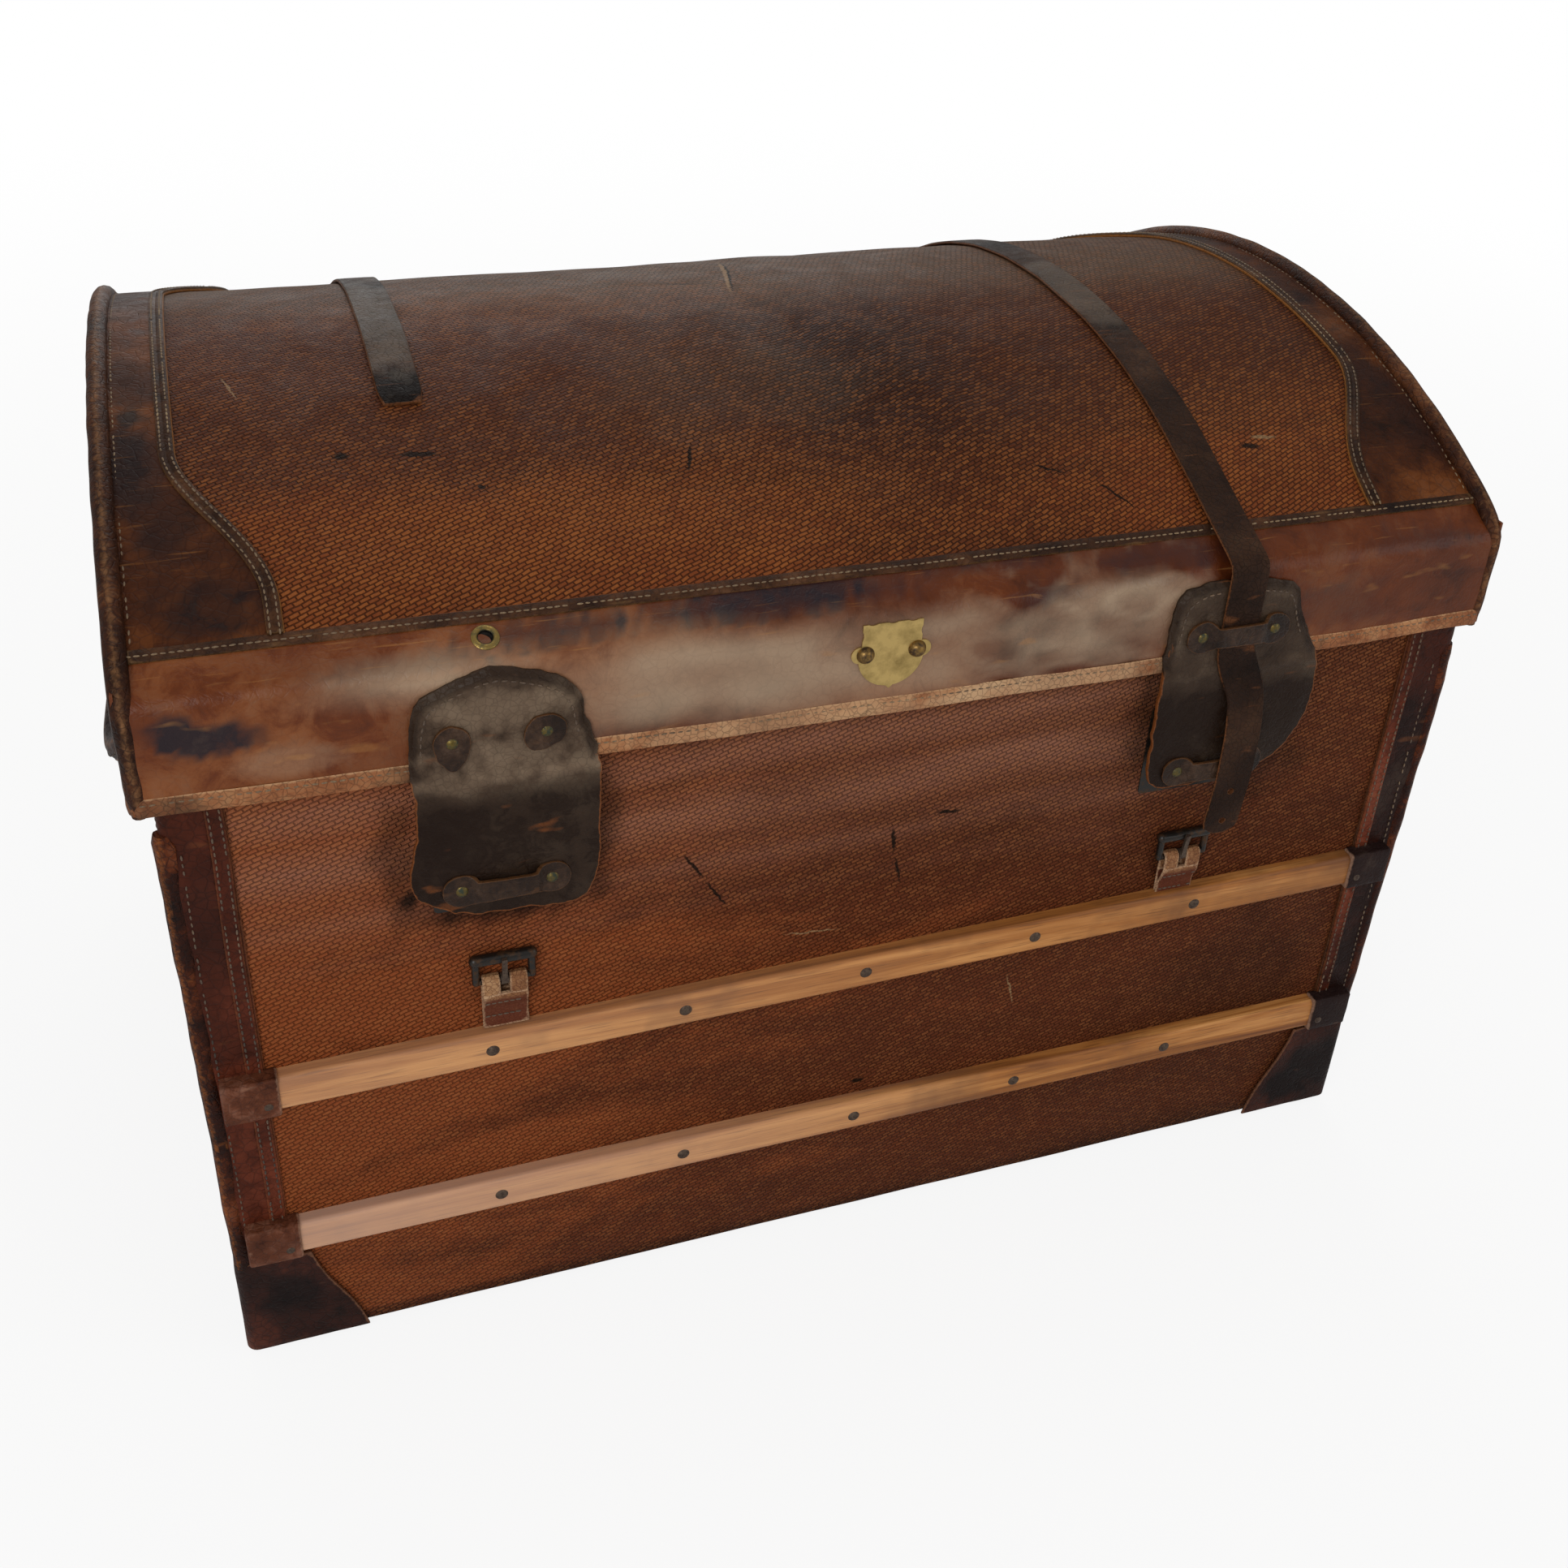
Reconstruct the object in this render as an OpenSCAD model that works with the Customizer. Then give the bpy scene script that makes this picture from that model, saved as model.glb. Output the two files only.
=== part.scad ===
// Dome-topped travelling trunk: a wicker body and lid under painted canvas, bound in leather

/* [Overall] */
// Length of the body over the leather corner rolls
body_l = 900; // [700:5:1000]
// Depth of the body over the leather corner rolls
body_d = 606; // [480:2:700]
// Height of the lid's lower edge above the floor
lid_edge_z = 485; // [420:1:560]
// Height that the body's neck stands up inside the lid
neck_h = 35; // [20:1:50]

/* [Walls] */
// How far the corner rolls stand out from the corner leather
roll_proud = 2; // [1:0.25:4]
// Diameter of the corner rolls
roll_d = 14; // [11:0.5:18]
// Thickness of the corner leather
leather_t = 2; // [1:0.25:3]
// Thickness of the painted canvas
canvas_t = 1.5; // [1:0.25:2.5]
// Thickness of the wicker wall
wicker_t = 8; // [5:0.5:12]
// Thickness of the linen lining
lining_t = 1; // [0.8:0.1:2]
// Outer corner radius of the corner leather
corner_r = 6; // [5:0.5:8]
// Width of the corner leather on each face
panel_w = 40; // [30:1:60]
// Width of the raised welts
welt_w = 11; // [8:0.5:14]
// Thickness of the welts on the body
welt_t = 1.5; // [1:0.25:2]

/* [Corner caps] */
// Height of a bottom corner cap above the canvas bottom
cap_h = 86; // [60:1:90]
// Reach of a bottom corner cap along the lower edge, from the roll
cap_reach = 85; // [60:1:110]
// Reach of a bottom corner cap along its upper edge, from the roll
cap_top_reach = 52; // [44:1:58]
// Thickness of the cap leather
cap_t = 2; // [1:0.25:3]

/* [Lid] */
// Clearance between the body's corner leather and the lid
lid_gap = 3; // [2:0.25:5]
// Thickness of the lid's wicker
lid_wicker_t = 5; // [4:0.5:7]
// Thickness of the leather skirt round the lid
skirt_t = 2; // [1.5:0.25:3]
// Height from the lid's lower edge to the corner of its rim
skirt_h = 80; // [60:1:100]
// Rise of the arch from the rim's corner to its crown
arch_rise = 91; // [70:1:120]
// Depth of the canvas below the rim's outer edge
dome_inset = 9; // [7:0.25:12]
// Bend radius of the skirt's upper corner
bend_r = 14; // [10:1:20]
// How far the rim stands out from the skirt
rim_proud = 2; // [1:0.25:4]
// Diameter of the rim's roll
rim_d = 13; // [12:0.5:15]
// Depth of the dome canvas edge inside the skirt's front face
seam_inset = 29; // [26:1:36]
// Width of the flat end leather on top of the dome
end_band_w = 49; // [40:1:70]
// Extra reach of the end leather where it meets the seam
end_band_swell = 48; // [20:1:70]
// Thickness of the end leather and seam welts
band_t = 2; // [1.5:0.25:3]
// Height of the binding on the lid's lower edge
binding_h = 11; // [8:0.5:15]
// Thickness of the binding
binding_t = 1.5; // [1:0.25:2]

/* [Battens] */
// Height of a batten's face
batten_h = 28; // [22:1:36]
// Thickness of a batten
batten_t = 11; // [8:0.5:14]
// Radius of a batten's outer edges
batten_r = 4; // [2:0.5:5]
// Height of the lower battens' middle
lower_batten_z = 117; // [112:1:140]
// Height of the upper battens' middle
upper_batten_z = 260; // [230:1:275]
// Slope of the upper front batten, which sits crooked
upper_batten_tilt = 1; // [0:0.25:1.5]
// Distance of a batten's end from the body's end
batten_inset = 14; // [10:1:60]
// Length of the leather pocket over a batten's end
pocket_l = 33; // [26:1:45]
// Thickness of the pocket leather
pocket_t = 2; // [1.5:0.25:3]
// Height of the slats under the bottom
slat_h = 8; // [5:0.5:12]
// Width of the slats under the bottom
slat_w = 46; // [30:1:70]
// Gap between an outer slat and the feet of the corner caps
slat_gap = 15; // [5:1:60]
// Spacing of the nails in a batten
nail_pitch = 133; // [100:1:170]
// Diameter of a nail's head
nail_d = 9; // [6:0.5:12]
// Diameter of a rivet's head
rivet_d = 8; // [5:0.5:10]

/* [Straps] */
// Width of the straps
strap_w = 29; // [22:1:34]
// Thickness of the straps
strap_t = 3; // [2:0.25:4]
// Middle of the right strap
right_strap_x = 249; // [220:1:270]
// Middle of the left strap
left_strap_x = -272; // [-290:1:-250]
// How far the torn left strap reaches in front of the crown
stub_reach = 114; // [60:1:160]
// How far before the seam the strap leaves the dome
strap_clear = 61; // [58:1:90]
// Hanging length of the strap's tail
tail_l = 134; // [90:1:150]
// Spacing of the holes in the strap's tail
hole_pitch = 25; // [18:1:35]

/* [Flaps] */
// Middle of the left flap
left_flap_x = -252; // [-270:1:-235]
// Width of a flap at its top
flap_w = 104; // [90:1:120]
// Width of a flap near its bottom
flap_low_w = 118; // [96:1:130]
// Thickness of the flap leather
flap_t = 3; // [2:0.25:4]
// Thickness of the rim sewn behind a flap's upper part
flap_rim_t = 3; // [2:0.25:3.5]
// Height of the crease where a flap folds
crease_z = 481; // [474:1:484]
// Height of a flap above its crease
flap_up_h = 66; // [55:1:68]
// Extra height of the left flap's pointed top
flap_peak = 12; // [0:1:14]
// Length of a flap below its crease
flap_down_h = 103; // [90:1:120]
// Spacing of the rivets of a strap loop
loop_rivets = 56; // [50:1:62]
// Height of a strap loop's round ends
loop_d = 24; // [20:1:26]
// Height of a strap loop at its waist
loop_waist = 15; // [10:1:18]
// Thickness of the loop leather
loop_t = 2.5; // [2:0.25:3]
// Free height under a loop
loop_free = 4.5; // [4:0.25:7]
// Height of the upper loops above the crease
upper_loop_up = 31; // [28:1:36]
// Depth of the lower loops below the crease
lower_loop_down = 79; // [60:1:86]

/* [Lock] */
// Width of a lock plate
lock_w = 88; // [70:1:94]
// Height of a lock plate
lock_h = 74; // [60:1:80]
// Thickness of the lock plates
plate_t = 1.5; // [1:0.25:2]
// Depth of the lock case
case_t = 9; // [8:0.5:9]
// Width of the tongue that drops into the lock
tongue_w = 18; // [14:1:24]
// Length of the tongue inside the lock
tongue_in = 20; // [12:1:26]
// Room round the tongue in the lock
tongue_gap = 3; // [2.5:0.25:3]

/* [Buckles] */
// Outer width of a buckle
buckle_w = 42; // [38:1:46]
// Distance from a buckle's hinge bar to its far bar
buckle_len = 18; // [16:1:24]
// The same distance on the buckles of the lid's ends
end_buckle_len = 37; // [26:1:40]
// Radius of a buckle's hinge bar
bar_r = 2.2; // [1.8:0.1:2.5]
// Radius of a buckle's sides
side_r = 2.6; // [2.4:0.1:3]
// Radius of a buckle's far bar
far_r = 4; // [3:0.25:4.5]
// Running clearance round a buckle's bar
bar_gap = 0.05; // [0.03:0.01:0.09]
// Height of the front buckles' hinge bar
buckle_z = 312; // [306:1:330]
// Width of the prong
prong_w = 5; // [4:0.25:6]
// Thickness of the chape leather
chape_t = 2.5; // [2:0.25:3]
// Length of the chapes on the lid's ends
end_chape_l = 48; // [36:1:56]
// Height of the hinge bar of the lid's end buckles
end_buckle_z = 558; // [540:1:562]

/* [Handles] */
// Spacing of a handle's mounts
handle_span = 130; // [110:1:150]
// Height of a handle's pivot
handle_z = 408; // [380:1:420]
// Thickness of the grip
grip_d = 20; // [16:1:24]
// Angle at which the stiff handle stands off the wall
handle_lean = 22; // [16:1:30]
// Height of a handle's mount
mount_h = 44; // [30:1:50]
// Width of a mount's foot beside its lugs
mount_side = 7; // [4:0.5:10]
// Distance of a handle's pivot from the wall's leather
pivot_out = 13; // [12:0.5:16]
// Radius of a handle's pin
pin_r = 3; // [2.5:0.25:3.5]
// Running clearance round the pins of handles and hinges
pin_gap = 0.05; // [0.03:0.01:0.09]

/* [Hinges] */
// Distance of each hinge from the middle
hinge_x = 175; // [120:5:220]
// Width of a hinge
hinge_w = 60; // [48:1:70]
// Radius of a hinge knuckle
knuckle_r = 4.5; // [4:0.25:4.5]
// Radius of a hinge pin
hinge_pin_r = 2; // [1.5:0.25:2.25]
// Gap between hinge knuckles
knuckle_gap = 0.3; // [0.2:0.1:0.6]
// Length of a hinge leaf
leaf_l = 62; // [50:1:80]

/* [Plate and eyelet] */
// Height of the brass shield's middle
shield_z = 530; // [525:1:535]
// Place of the shield along the front
shield_x = -3; // [-40:1:40]
// Width of the shield
shield_w = 54; // [44:1:64]
// Spacing of the shield's studs
stud_pitch = 35; // [28:1:38]
// Outer diameter of the brass eyelet
eyelet_d = 18; // [14:1:22]

/* [Hidden] */
$fn = 64;
seat = 0.3;
fit = 0.2;
cut = 1;

// Half sizes of each layer of the body
leather_x = body_l / 2 - roll_proud;
leather_y = body_d / 2 - roll_proud;
canvas_x = leather_x - leather_t;
canvas_y = leather_y - leather_t;
wicker_x = canvas_x - canvas_t;
wicker_y = canvas_y - canvas_t;
inside_x = wicker_x - wicker_t;
inside_y = wicker_y - wicker_t;
canvas_r = corner_r - leather_t;
wicker_r = max(canvas_r - canvas_t, 0.5);
neck_z = lid_edge_z + neck_h;

// Half sizes of each layer of the lid
lid_in_x = leather_x + lid_gap;
lid_in_y = leather_y + lid_gap;
lid_wick_in_x = lid_in_x + lining_t;
lid_wick_in_y = lid_in_y + lining_t;
lid_wick_x = lid_wick_in_x + lid_wicker_t;
lid_wick_y = lid_wick_in_y + lid_wicker_t;
skirt_x = lid_wick_x + skirt_t;
skirt_y = lid_wick_y + skirt_t;
rim_x = skirt_x + rim_proud;
rim_y = skirt_y + rim_proud;
binding_y = skirt_y + binding_t;

// The arch: one circle for the rim, and smaller ones for the layers below it
rim_corner_z = lid_edge_z + skirt_h;
rim_arc = (rim_y * rim_y + arch_rise * arch_rise) / (2 * arch_rise);
arch_z = rim_corner_z + arch_rise - rim_arc;
dome_r = rim_arc - dome_inset;
dome_wick_r = dome_r - canvas_t;
dome_in_r = dome_wick_r - lid_wicker_t - lining_t;
skirt_arc = dome_wick_r + skirt_t;
seam_y = skirt_y - seam_inset;
seam_welt_w = 8;
strap_lift = seam_y - strap_clear;
bend_in = max(bend_r - skirt_t, 2);

// Where the front straps, flaps and loops lie, from the wall outwards
flap_back_y = skirt_y + flap_rim_t;
flap_y = flap_back_y + flap_t;
strap_y = flap_y + seat;
loop_y = flap_y + loop_free;
flap_corner_r = 16;
flap_rim_w = 10;
upper_loop_z = crease_z + upper_loop_up;
lower_loop_z = crease_z - lower_loop_down;
crease_gap = 0.4;
tail_top_z = crease_z - crease_gap;
strap_end_z = crease_z + 2 * strap_t + 5;

// Battens and their pockets
batten_l = body_l - 2 * batten_inset;
batten_end = batten_l / 2;
cap_foot = cap_top_reach - 4;
slat_pitch = leather_y - cap_foot - slat_w / 2 - slat_gap;
pocket_end = batten_end + pocket_t;
nail_places = [-2 : 2];
nail_h = 2;
nail_shank = 8;
rivet_h = 1.8;
batten_face_y = canvas_y + batten_t;

// Lock
lock_x = [left_flap_x, right_strap_x];
lock_z = crease_z - flap_down_h - 6;
case_w = 54;
case_h = 44;
case_z = lock_z + 24;
case_face_y = canvas_y + plate_t + case_t;
tongue_y = canvas_y + plate_t + tongue_gap - 0.5;
tongue_t = 2;

// Hinge axis, just under the lid's lower edge at the back
hinge_y = lid_in_y + knuckle_r + 1.5;
hinge_z = lid_edge_z - binding_t - knuckle_r - 1;

// Buckles
tube_r = bar_r + bar_gap + chape_t;
front_bar_y = canvas_y + tube_r + seat;
end_bar_x = skirt_x + tube_r + seat;
tube_l = 12;
prong_slot = prong_w + 1;
buckle_x = [left_flap_x - 3, right_strap_x];

// Handles
handle_r = handle_span / 2;
pivot_x = leather_x + pivot_out;
lug_t = 4;
eye_w = 12;
eye_r = 7;

// A rectangle with round corners, drawn from true circles
module round_rect(w, d, r) {
    square([w - 2 * r, d], center = true);
    square([w, d - 2 * r], center = true);
    for (x = [-1, 1], y = [-1, 1])
        translate([x * (w / 2 - r), y * (d / 2 - r)])
            circle(r);
}

// Upright box with round corners, given by its half sizes
module block(x, y, r, z0, z1) {
    translate([0, 0, z0])
        linear_extrude(z1 - z0)
            round_rect(2 * x, 2 * y, r);
}

// A profile drawn in Y and Z, run along X
module along_x(x0, x1) {
    translate([x0, 0, 0])
        rotate([90, 0, 90])
            linear_extrude(x1 - x0)
                children();
}

// An outline drawn in X and Z, raised forwards from the plane y = -y0
module on_front(y0, t) {
    translate([0, -y0, 0])
        rotate([90, 0, 0])
            linear_extrude(t)
                children();
}

module both_ways(v) {
    children();
    mirror(v)
        children();
}

module four_corners() {
    both_ways([1, 0, 0])
        both_ways([0, 1, 0])
            children();
}

// Round-headed fastener on a front face, head towards -Y
module stud(d, h, shank) {
    ball_r = (d * d / 4 + h * h) / (2 * h);
    intersection() {
        translate([0, ball_r - h, 0])
            sphere(ball_r);
        translate([0, 0, 0])
            rotate([90, 0, 0])
                cylinder(r = d, h = h + cut);
    }
    if (shank > 0)
        rotate([-90, 0, 0])
            cylinder(d = d / 3, h = shank, $fn = 24);
}

// Body shells
module wicker_body() {
    color("#b08a55")
        difference() {
            block(wicker_x, wicker_y, wicker_r, slat_h + canvas_t, neck_z);
            block(inside_x, inside_y, wicker_r, slat_h + canvas_t + wicker_t, neck_z + cut);
        }
}

module body_canvas() {
    color("#6a3a24")
        difference() {
            block(canvas_x, canvas_y, canvas_r, slat_h, neck_z);
            block(wicker_x, wicker_y, wicker_r, slat_h + canvas_t, neck_z + cut);
        }
}

module body_lining() {
    lining_z = slat_h + canvas_t + wicker_t;
    color("#c9bb98")
        difference() {
            block(inside_x, inside_y, wicker_r, lining_z, neck_z);
            block(inside_x - lining_t, inside_y - lining_t, wicker_r, lining_z + lining_t, neck_z + cut);
        }
}

// Leather lying over the top edge of the neck
module neck_binding() {
    color("#7a4424")
        difference() {
            block(leather_x, leather_y, corner_r, neck_z, neck_z + binding_t);
            block(inside_x - lining_t, inside_y - lining_t, wicker_r, neck_z - cut, neck_z + 2 * binding_t);
        }
}

// L-shaped leather at each upright corner, from the bottom to the top of the neck
module corner_leathers() {
    panel = panel_w - roll_proud;
    color("#74371d")
        intersection() {
            difference() {
                block(leather_x, leather_y, corner_r, slat_h, neck_z);
                block(canvas_x, canvas_y, canvas_r, slat_h - cut, neck_z + cut);
            }
            four_corners()
                translate([leather_x - panel, leather_y - panel, 0])
                    cube([panel, panel, neck_z + cut]);
        }
}

// The corner rolls stop in a rounded ear below the lid
module corner_rolls() {
    r = roll_d / 2;
    top_z = lid_edge_z - 22 - r;
    color("#43241a")
        four_corners()
            difference() {
                translate([body_l / 2 - r, body_d / 2 - r, 0]) {
                    translate([0, 0, slat_h + cap_h])
                        cylinder(r = r, h = top_z - slat_h - cap_h);
                    translate([0, 0, top_z])
                        sphere(r);
                }
                block(leather_x, leather_y, corner_r, 0, neck_z);
            }
}

// Raised welt along the inner edge of each corner leather
module corner_welts() {
    inner = panel_w - 1;
    z0 = slat_h + cap_h;
    welt_l = lid_edge_z + 8 - z0;
    color("#5d2e1a")
        four_corners() {
            translate([body_l / 2 - inner, leather_y, z0])
                cube([welt_w, welt_t, welt_l]);
            translate([leather_x, body_d / 2 - inner, z0])
                cube([welt_t, welt_w, welt_l]);
        }
}

// Ogee outline of a corner cap, along and up from the roll's outside
module cap_outline() {
    steps = 10;
    fall = [for (i = [0 : steps]) let (s = i / steps)
        [cap_top_reach + (cap_reach - cap_top_reach) * (s - sin(360 * s) / 18),
         cap_h * (1 - s)]];
    polygon(concat([[0, 0], [0, cap_h]], fall));
}

module bottom_corner_caps() {
    low_z = slat_h - cap_t;
    color("#3c1f16")
        four_corners()
            intersection() {
                difference() {
                    block(leather_x + cap_t, leather_y + cap_t, corner_r + cap_t, low_z, slat_h + cap_h);
                    block(leather_x, leather_y, corner_r, slat_h, slat_h + cap_h + cut);
                }
                union() {
                    translate([leather_x + cap_t, body_d / 2 + cut, slat_h])
                        rotate([90, 0, 0])
                            linear_extrude(corner_r + cap_t + cut)
                                mirror([1, 0])
                                    cap_outline();
                    translate([leather_x - corner_r, leather_y + cap_t, slat_h])
                        rotate([90, 0, 90])
                            linear_extrude(corner_r + cap_t + cut)
                                mirror([1, 0])
                                    cap_outline();
                    translate([leather_x - cap_foot, leather_y - cap_foot, low_z - cut])
                        cube([2 * cap_foot, 2 * cap_foot, cap_t + 2 * cut]);
                }
            }
}

// Batten section against the wall, with rounded outer edges
module batten_section(h, t) {
    r = batten_r + (h - batten_h) / 2;
    translate([0, -h / 2])
        square([t - r, h]);
    translate([0, -h / 2 + r])
        square([t, h - 2 * r]);
    for (s = [-1, 1])
        translate([t - r, s * (h / 2 - r)])
            circle(r);
}

// What stands proud of the canvas under a batten at the corners
module corner_relief() {
    inner = panel_w - 1;
    four_corners() {
        translate([body_l / 2 - panel_w, 0, 0])
            cube([panel_w, leather_y, neck_z]);
        translate([body_l / 2 - inner, 0, 0])
            cube([welt_w, leather_y + welt_t, neck_z]);
    }
}

// Turn and lift a batten's pieces to their height, on the back wall
module at_batten(z, tilt) {
    translate([0, 0, z])
        rotate([0, tilt, 0])
            children();
}

module batten(z, tilt) {
    difference() {
        at_batten(z, tilt)
            translate([0, canvas_y, 0])
                along_x(-batten_end, batten_end)
                    batten_section(batten_h, batten_t);
        corner_relief();
    }
}

module front() {
    rotate([0, 0, 180])
        children();
}

module lower_front_batten() {
    color("#c08a55")
        front()
            batten(lower_batten_z, 0);
}

module upper_front_batten() {
    color("#c08a55")
        front()
            batten(upper_batten_z, upper_batten_tilt);
}

module lower_back_batten() {
    color("#c08a55")
        batten(lower_batten_z, 0);
}

module upper_back_batten() {
    color("#c08a55")
        batten(upper_batten_z, 0);
}

module bottom_slats() {
    color("#b07c4a")
        for (i = [-1 : 1])
            translate([0, i * slat_pitch, 0])
                along_x(-batten_end, batten_end)
                    translate([0, slat_h / 2])
                        round_rect(slat_w, slat_h, 2);
}

module batten_nails() {
    color("#4a4038") {
        for (i = nail_places) {
            front() {
                at_batten(lower_batten_z, 0)
                    translate([i * nail_pitch, batten_face_y, 0])
                        mirror([0, 1, 0])
                            stud(nail_d, nail_h, nail_shank);
                at_batten(upper_batten_z, upper_batten_tilt)
                    translate([i * nail_pitch, batten_face_y, 0])
                        mirror([0, 1, 0])
                            stud(nail_d, nail_h, nail_shank);
            }
            for (z = [lower_batten_z, upper_batten_z])
                at_batten(z, 0)
                    translate([i * nail_pitch, batten_face_y, 0])
                        mirror([0, 1, 0])
                            stud(nail_d, nail_h, nail_shank);
        }
    }
}

// Leather pockets that hold the ends of one batten
module pocket_pair(z, tilt) {
    difference() {
        at_batten(z, tilt)
            both_ways([1, 0, 0])
                translate([0, canvas_y, 0])
                    difference() {
                        along_x(batten_end - pocket_l, pocket_end)
                            batten_section(batten_h + 2 * pocket_t, batten_t + pocket_t);
                        along_x(batten_end - pocket_l - cut, batten_end)
                            batten_section(batten_h, batten_t);
                    }
        corner_relief();
    }
}

module batten_pockets() {
    color("#6b3319") {
        front() {
            pocket_pair(lower_batten_z, 0);
            pocket_pair(upper_batten_z, upper_batten_tilt);
        }
        pocket_pair(lower_batten_z, 0);
        pocket_pair(upper_batten_z, 0);
    }
}

module rivet_pair(z, tilt) {
    at_batten(z, tilt)
        both_ways([1, 0, 0])
            translate([batten_end - pocket_l + 8, batten_face_y + pocket_t, -batten_h / 5])
                mirror([0, 1, 0])
                    stud(rivet_d, rivet_h, nail_shank);
}

module pocket_rivets() {
    color("#3a332c") {
        front() {
            rivet_pair(lower_batten_z, 0);
            rivet_pair(upper_batten_z, upper_batten_tilt);
        }
        rivet_pair(lower_batten_z, 0);
        rivet_pair(upper_batten_z, 0);
    }
}

// Locks on the body behind the flaps
module lock_plates() {
    color("#1d1b1b")
        for (x = lock_x)
            translate([x, 0, lock_z + lock_h / 2])
                on_front(canvas_y, plate_t)
                    round_rect(lock_w, lock_h, 3);
}

module lock_cases() {
    slot_w = tongue_w + 2 * tongue_gap;
    slot_t = tongue_t + 2 * tongue_gap - 1;
    top_z = case_z + case_h;
    color("#2a2726")
        for (x = lock_x)
            difference() {
                translate([x, 0, case_z + case_h / 2])
                    on_front(canvas_y + plate_t, case_t)
                        round_rect(case_w, case_h, 3);
                translate([x - slot_w / 2, -canvas_y - plate_t - 1 - slot_t, top_z - tongue_in - tongue_gap])
                    cube([slot_w, slot_t, tongue_in + tongue_gap + cut]);
                translate([x, -case_face_y - cut, case_z + 12])
                    rotate([-90, 0, 0])
                        cylinder(r = 2.5, h = 4 + cut);
                translate([x - 1, -case_face_y - cut, case_z + 5])
                    cube([2, 4 + cut, 7]);
            }
}

// A buckle frame whose hinge bar lies on the X axis and whose far bar is at +Z
module buckle_frame(len) {
    half = buckle_w / 2 - side_r;
    translate([-half, 0, 0])
        rotate([0, 90, 0])
            cylinder(r = bar_r, h = 2 * half);
    translate([-half, 0, len])
        rotate([0, 90, 0])
            cylinder(r = far_r, h = 2 * half);
    for (s = [-1, 1])
        translate([s * half, 0, 0]) {
            sphere(side_r);
            cylinder(r = side_r, h = len);
            translate([0, 0, len])
                sphere(far_r);
        }
}

// A prong round the same bar, its tip lying on the far bar towards -Y
module buckle_prong(len) {
    inner = bar_r + bar_gap;
    outer = inner + 1.8;
    rise = far_r + 0.15;
    lean = atan((rise + 1.2 - outer + 1.2) / len);
    difference() {
        union() {
            translate([-prong_w / 2, 0, 0])
                rotate([0, 90, 0])
                    cylinder(r = outer, h = prong_w);
            translate([0, -outer + 1.2, 0])
                rotate([lean, 0, 0])
                    translate([-prong_w / 2 + 0.75, -1.2, 0])
                        cube([prong_w - 1.5, 2.4, len + far_r - 1]);
        }
        translate([-prong_w, 0, 0])
            rotate([0, 90, 0])
                cylinder(r = inner, h = 2 * prong_w);
        translate([-prong_w, 0, len])
            rotate([0, 90, 0])
                cylinder(r = far_r + bar_gap, h = 2 * prong_w);
    }
}

// Leather folded round a buckle's bar and down to a tab on the wall, which lies at +Y
module chape(wall, down) {
    half = buckle_w / 2 - 2 * side_r - 0.8;
    slot = prong_slot / 2;
    for (s = [-1, 1])
        difference() {
            union() {
                translate([s > 0 ? slot : -half, 0, 0])
                    rotate([0, 90, 0])
                        cylinder(r = tube_r, h = half - slot);
                translate([s > 0 ? slot : -half, -tube_r, -tube_r - far_r])
                    cube([half - slot, tube_r + wall, tube_r + far_r]);
            }
            translate([-buckle_w, 0, 0])
                rotate([0, 90, 0])
                    cylinder(r = bar_r + bar_gap, h = 2 * buckle_w);
        }
    translate([-half, wall - 2 * chape_t, -down])
        cube([2 * half, 2 * chape_t, down - tube_r - far_r]);
    translate([-half, -tube_r, -tube_r - far_r - 6])
        cube([2 * half, tube_r + wall, 6]);
}

module front_buckle_chapes() {
    tuck_z = upper_batten_z + batten_h / 2 - 8;
    color("#8c6a4c")
        for (x = buckle_x)
            translate([x, -front_bar_y, buckle_z])
                difference() {
                    chape(front_bar_y - canvas_y, buckle_z - tuck_z);
                    translate([-x, front_bar_y, -buckle_z])
                        front()
                            at_batten(upper_batten_z, upper_batten_tilt)
                                translate([-batten_end, 0, -batten_h / 2])
                                    cube([batten_l, batten_face_y, batten_h]);
                }
}

module left_buckle_frame() {
    color("#1b1a1a")
        translate([buckle_x[0], -front_bar_y, buckle_z])
            buckle_frame(buckle_len);
}

module left_buckle_prong() {
    color("#26221f")
        translate([buckle_x[0], -front_bar_y, buckle_z])
            buckle_prong(buckle_len);
}

module right_buckle_frame() {
    color("#1b1a1a")
        translate([buckle_x[1], -front_bar_y, buckle_z])
            buckle_frame(buckle_len);
}

module right_buckle_prong() {
    color("#26221f")
        translate([buckle_x[1], -front_bar_y, buckle_z])
            buckle_prong(buckle_len);
}

// Handle hardware on the right end; the left end mirrors it
module handle_mounts() {
    foot_w = 2 * (lug_t + mount_side) + eye_w + 1;
    color("#231f1d")
        both_ways([1, 0, 0])
            for (s = [-1, 1])
                translate([canvas_x, s * handle_r, handle_z])
                    difference() {
                        union() {
                            rotate([90, 0, 90])
                                linear_extrude(3)
                                    round_rect(foot_w, mount_h, 5);
                            for (side = [-1, 1])
                                translate([0, side * (eye_w + 1 + lug_t) / 2 + lug_t / 2, 0])
                                    rotate([90, 0, 0])
                                        linear_extrude(lug_t) {
                                            translate([pivot_x - canvas_x, 0])
                                                circle(eye_r - 1);
                                            translate([0, 1 - eye_r])
                                                square([pivot_x - canvas_x, 2 * eye_r - 2]);
                                        }
                        }
                        translate([pivot_x - canvas_x, 0, 0])
                            rotate([90, 0, 0])
                                cylinder(r = pin_r + pin_gap, h = foot_w, center = true);
                    }
}

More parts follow.
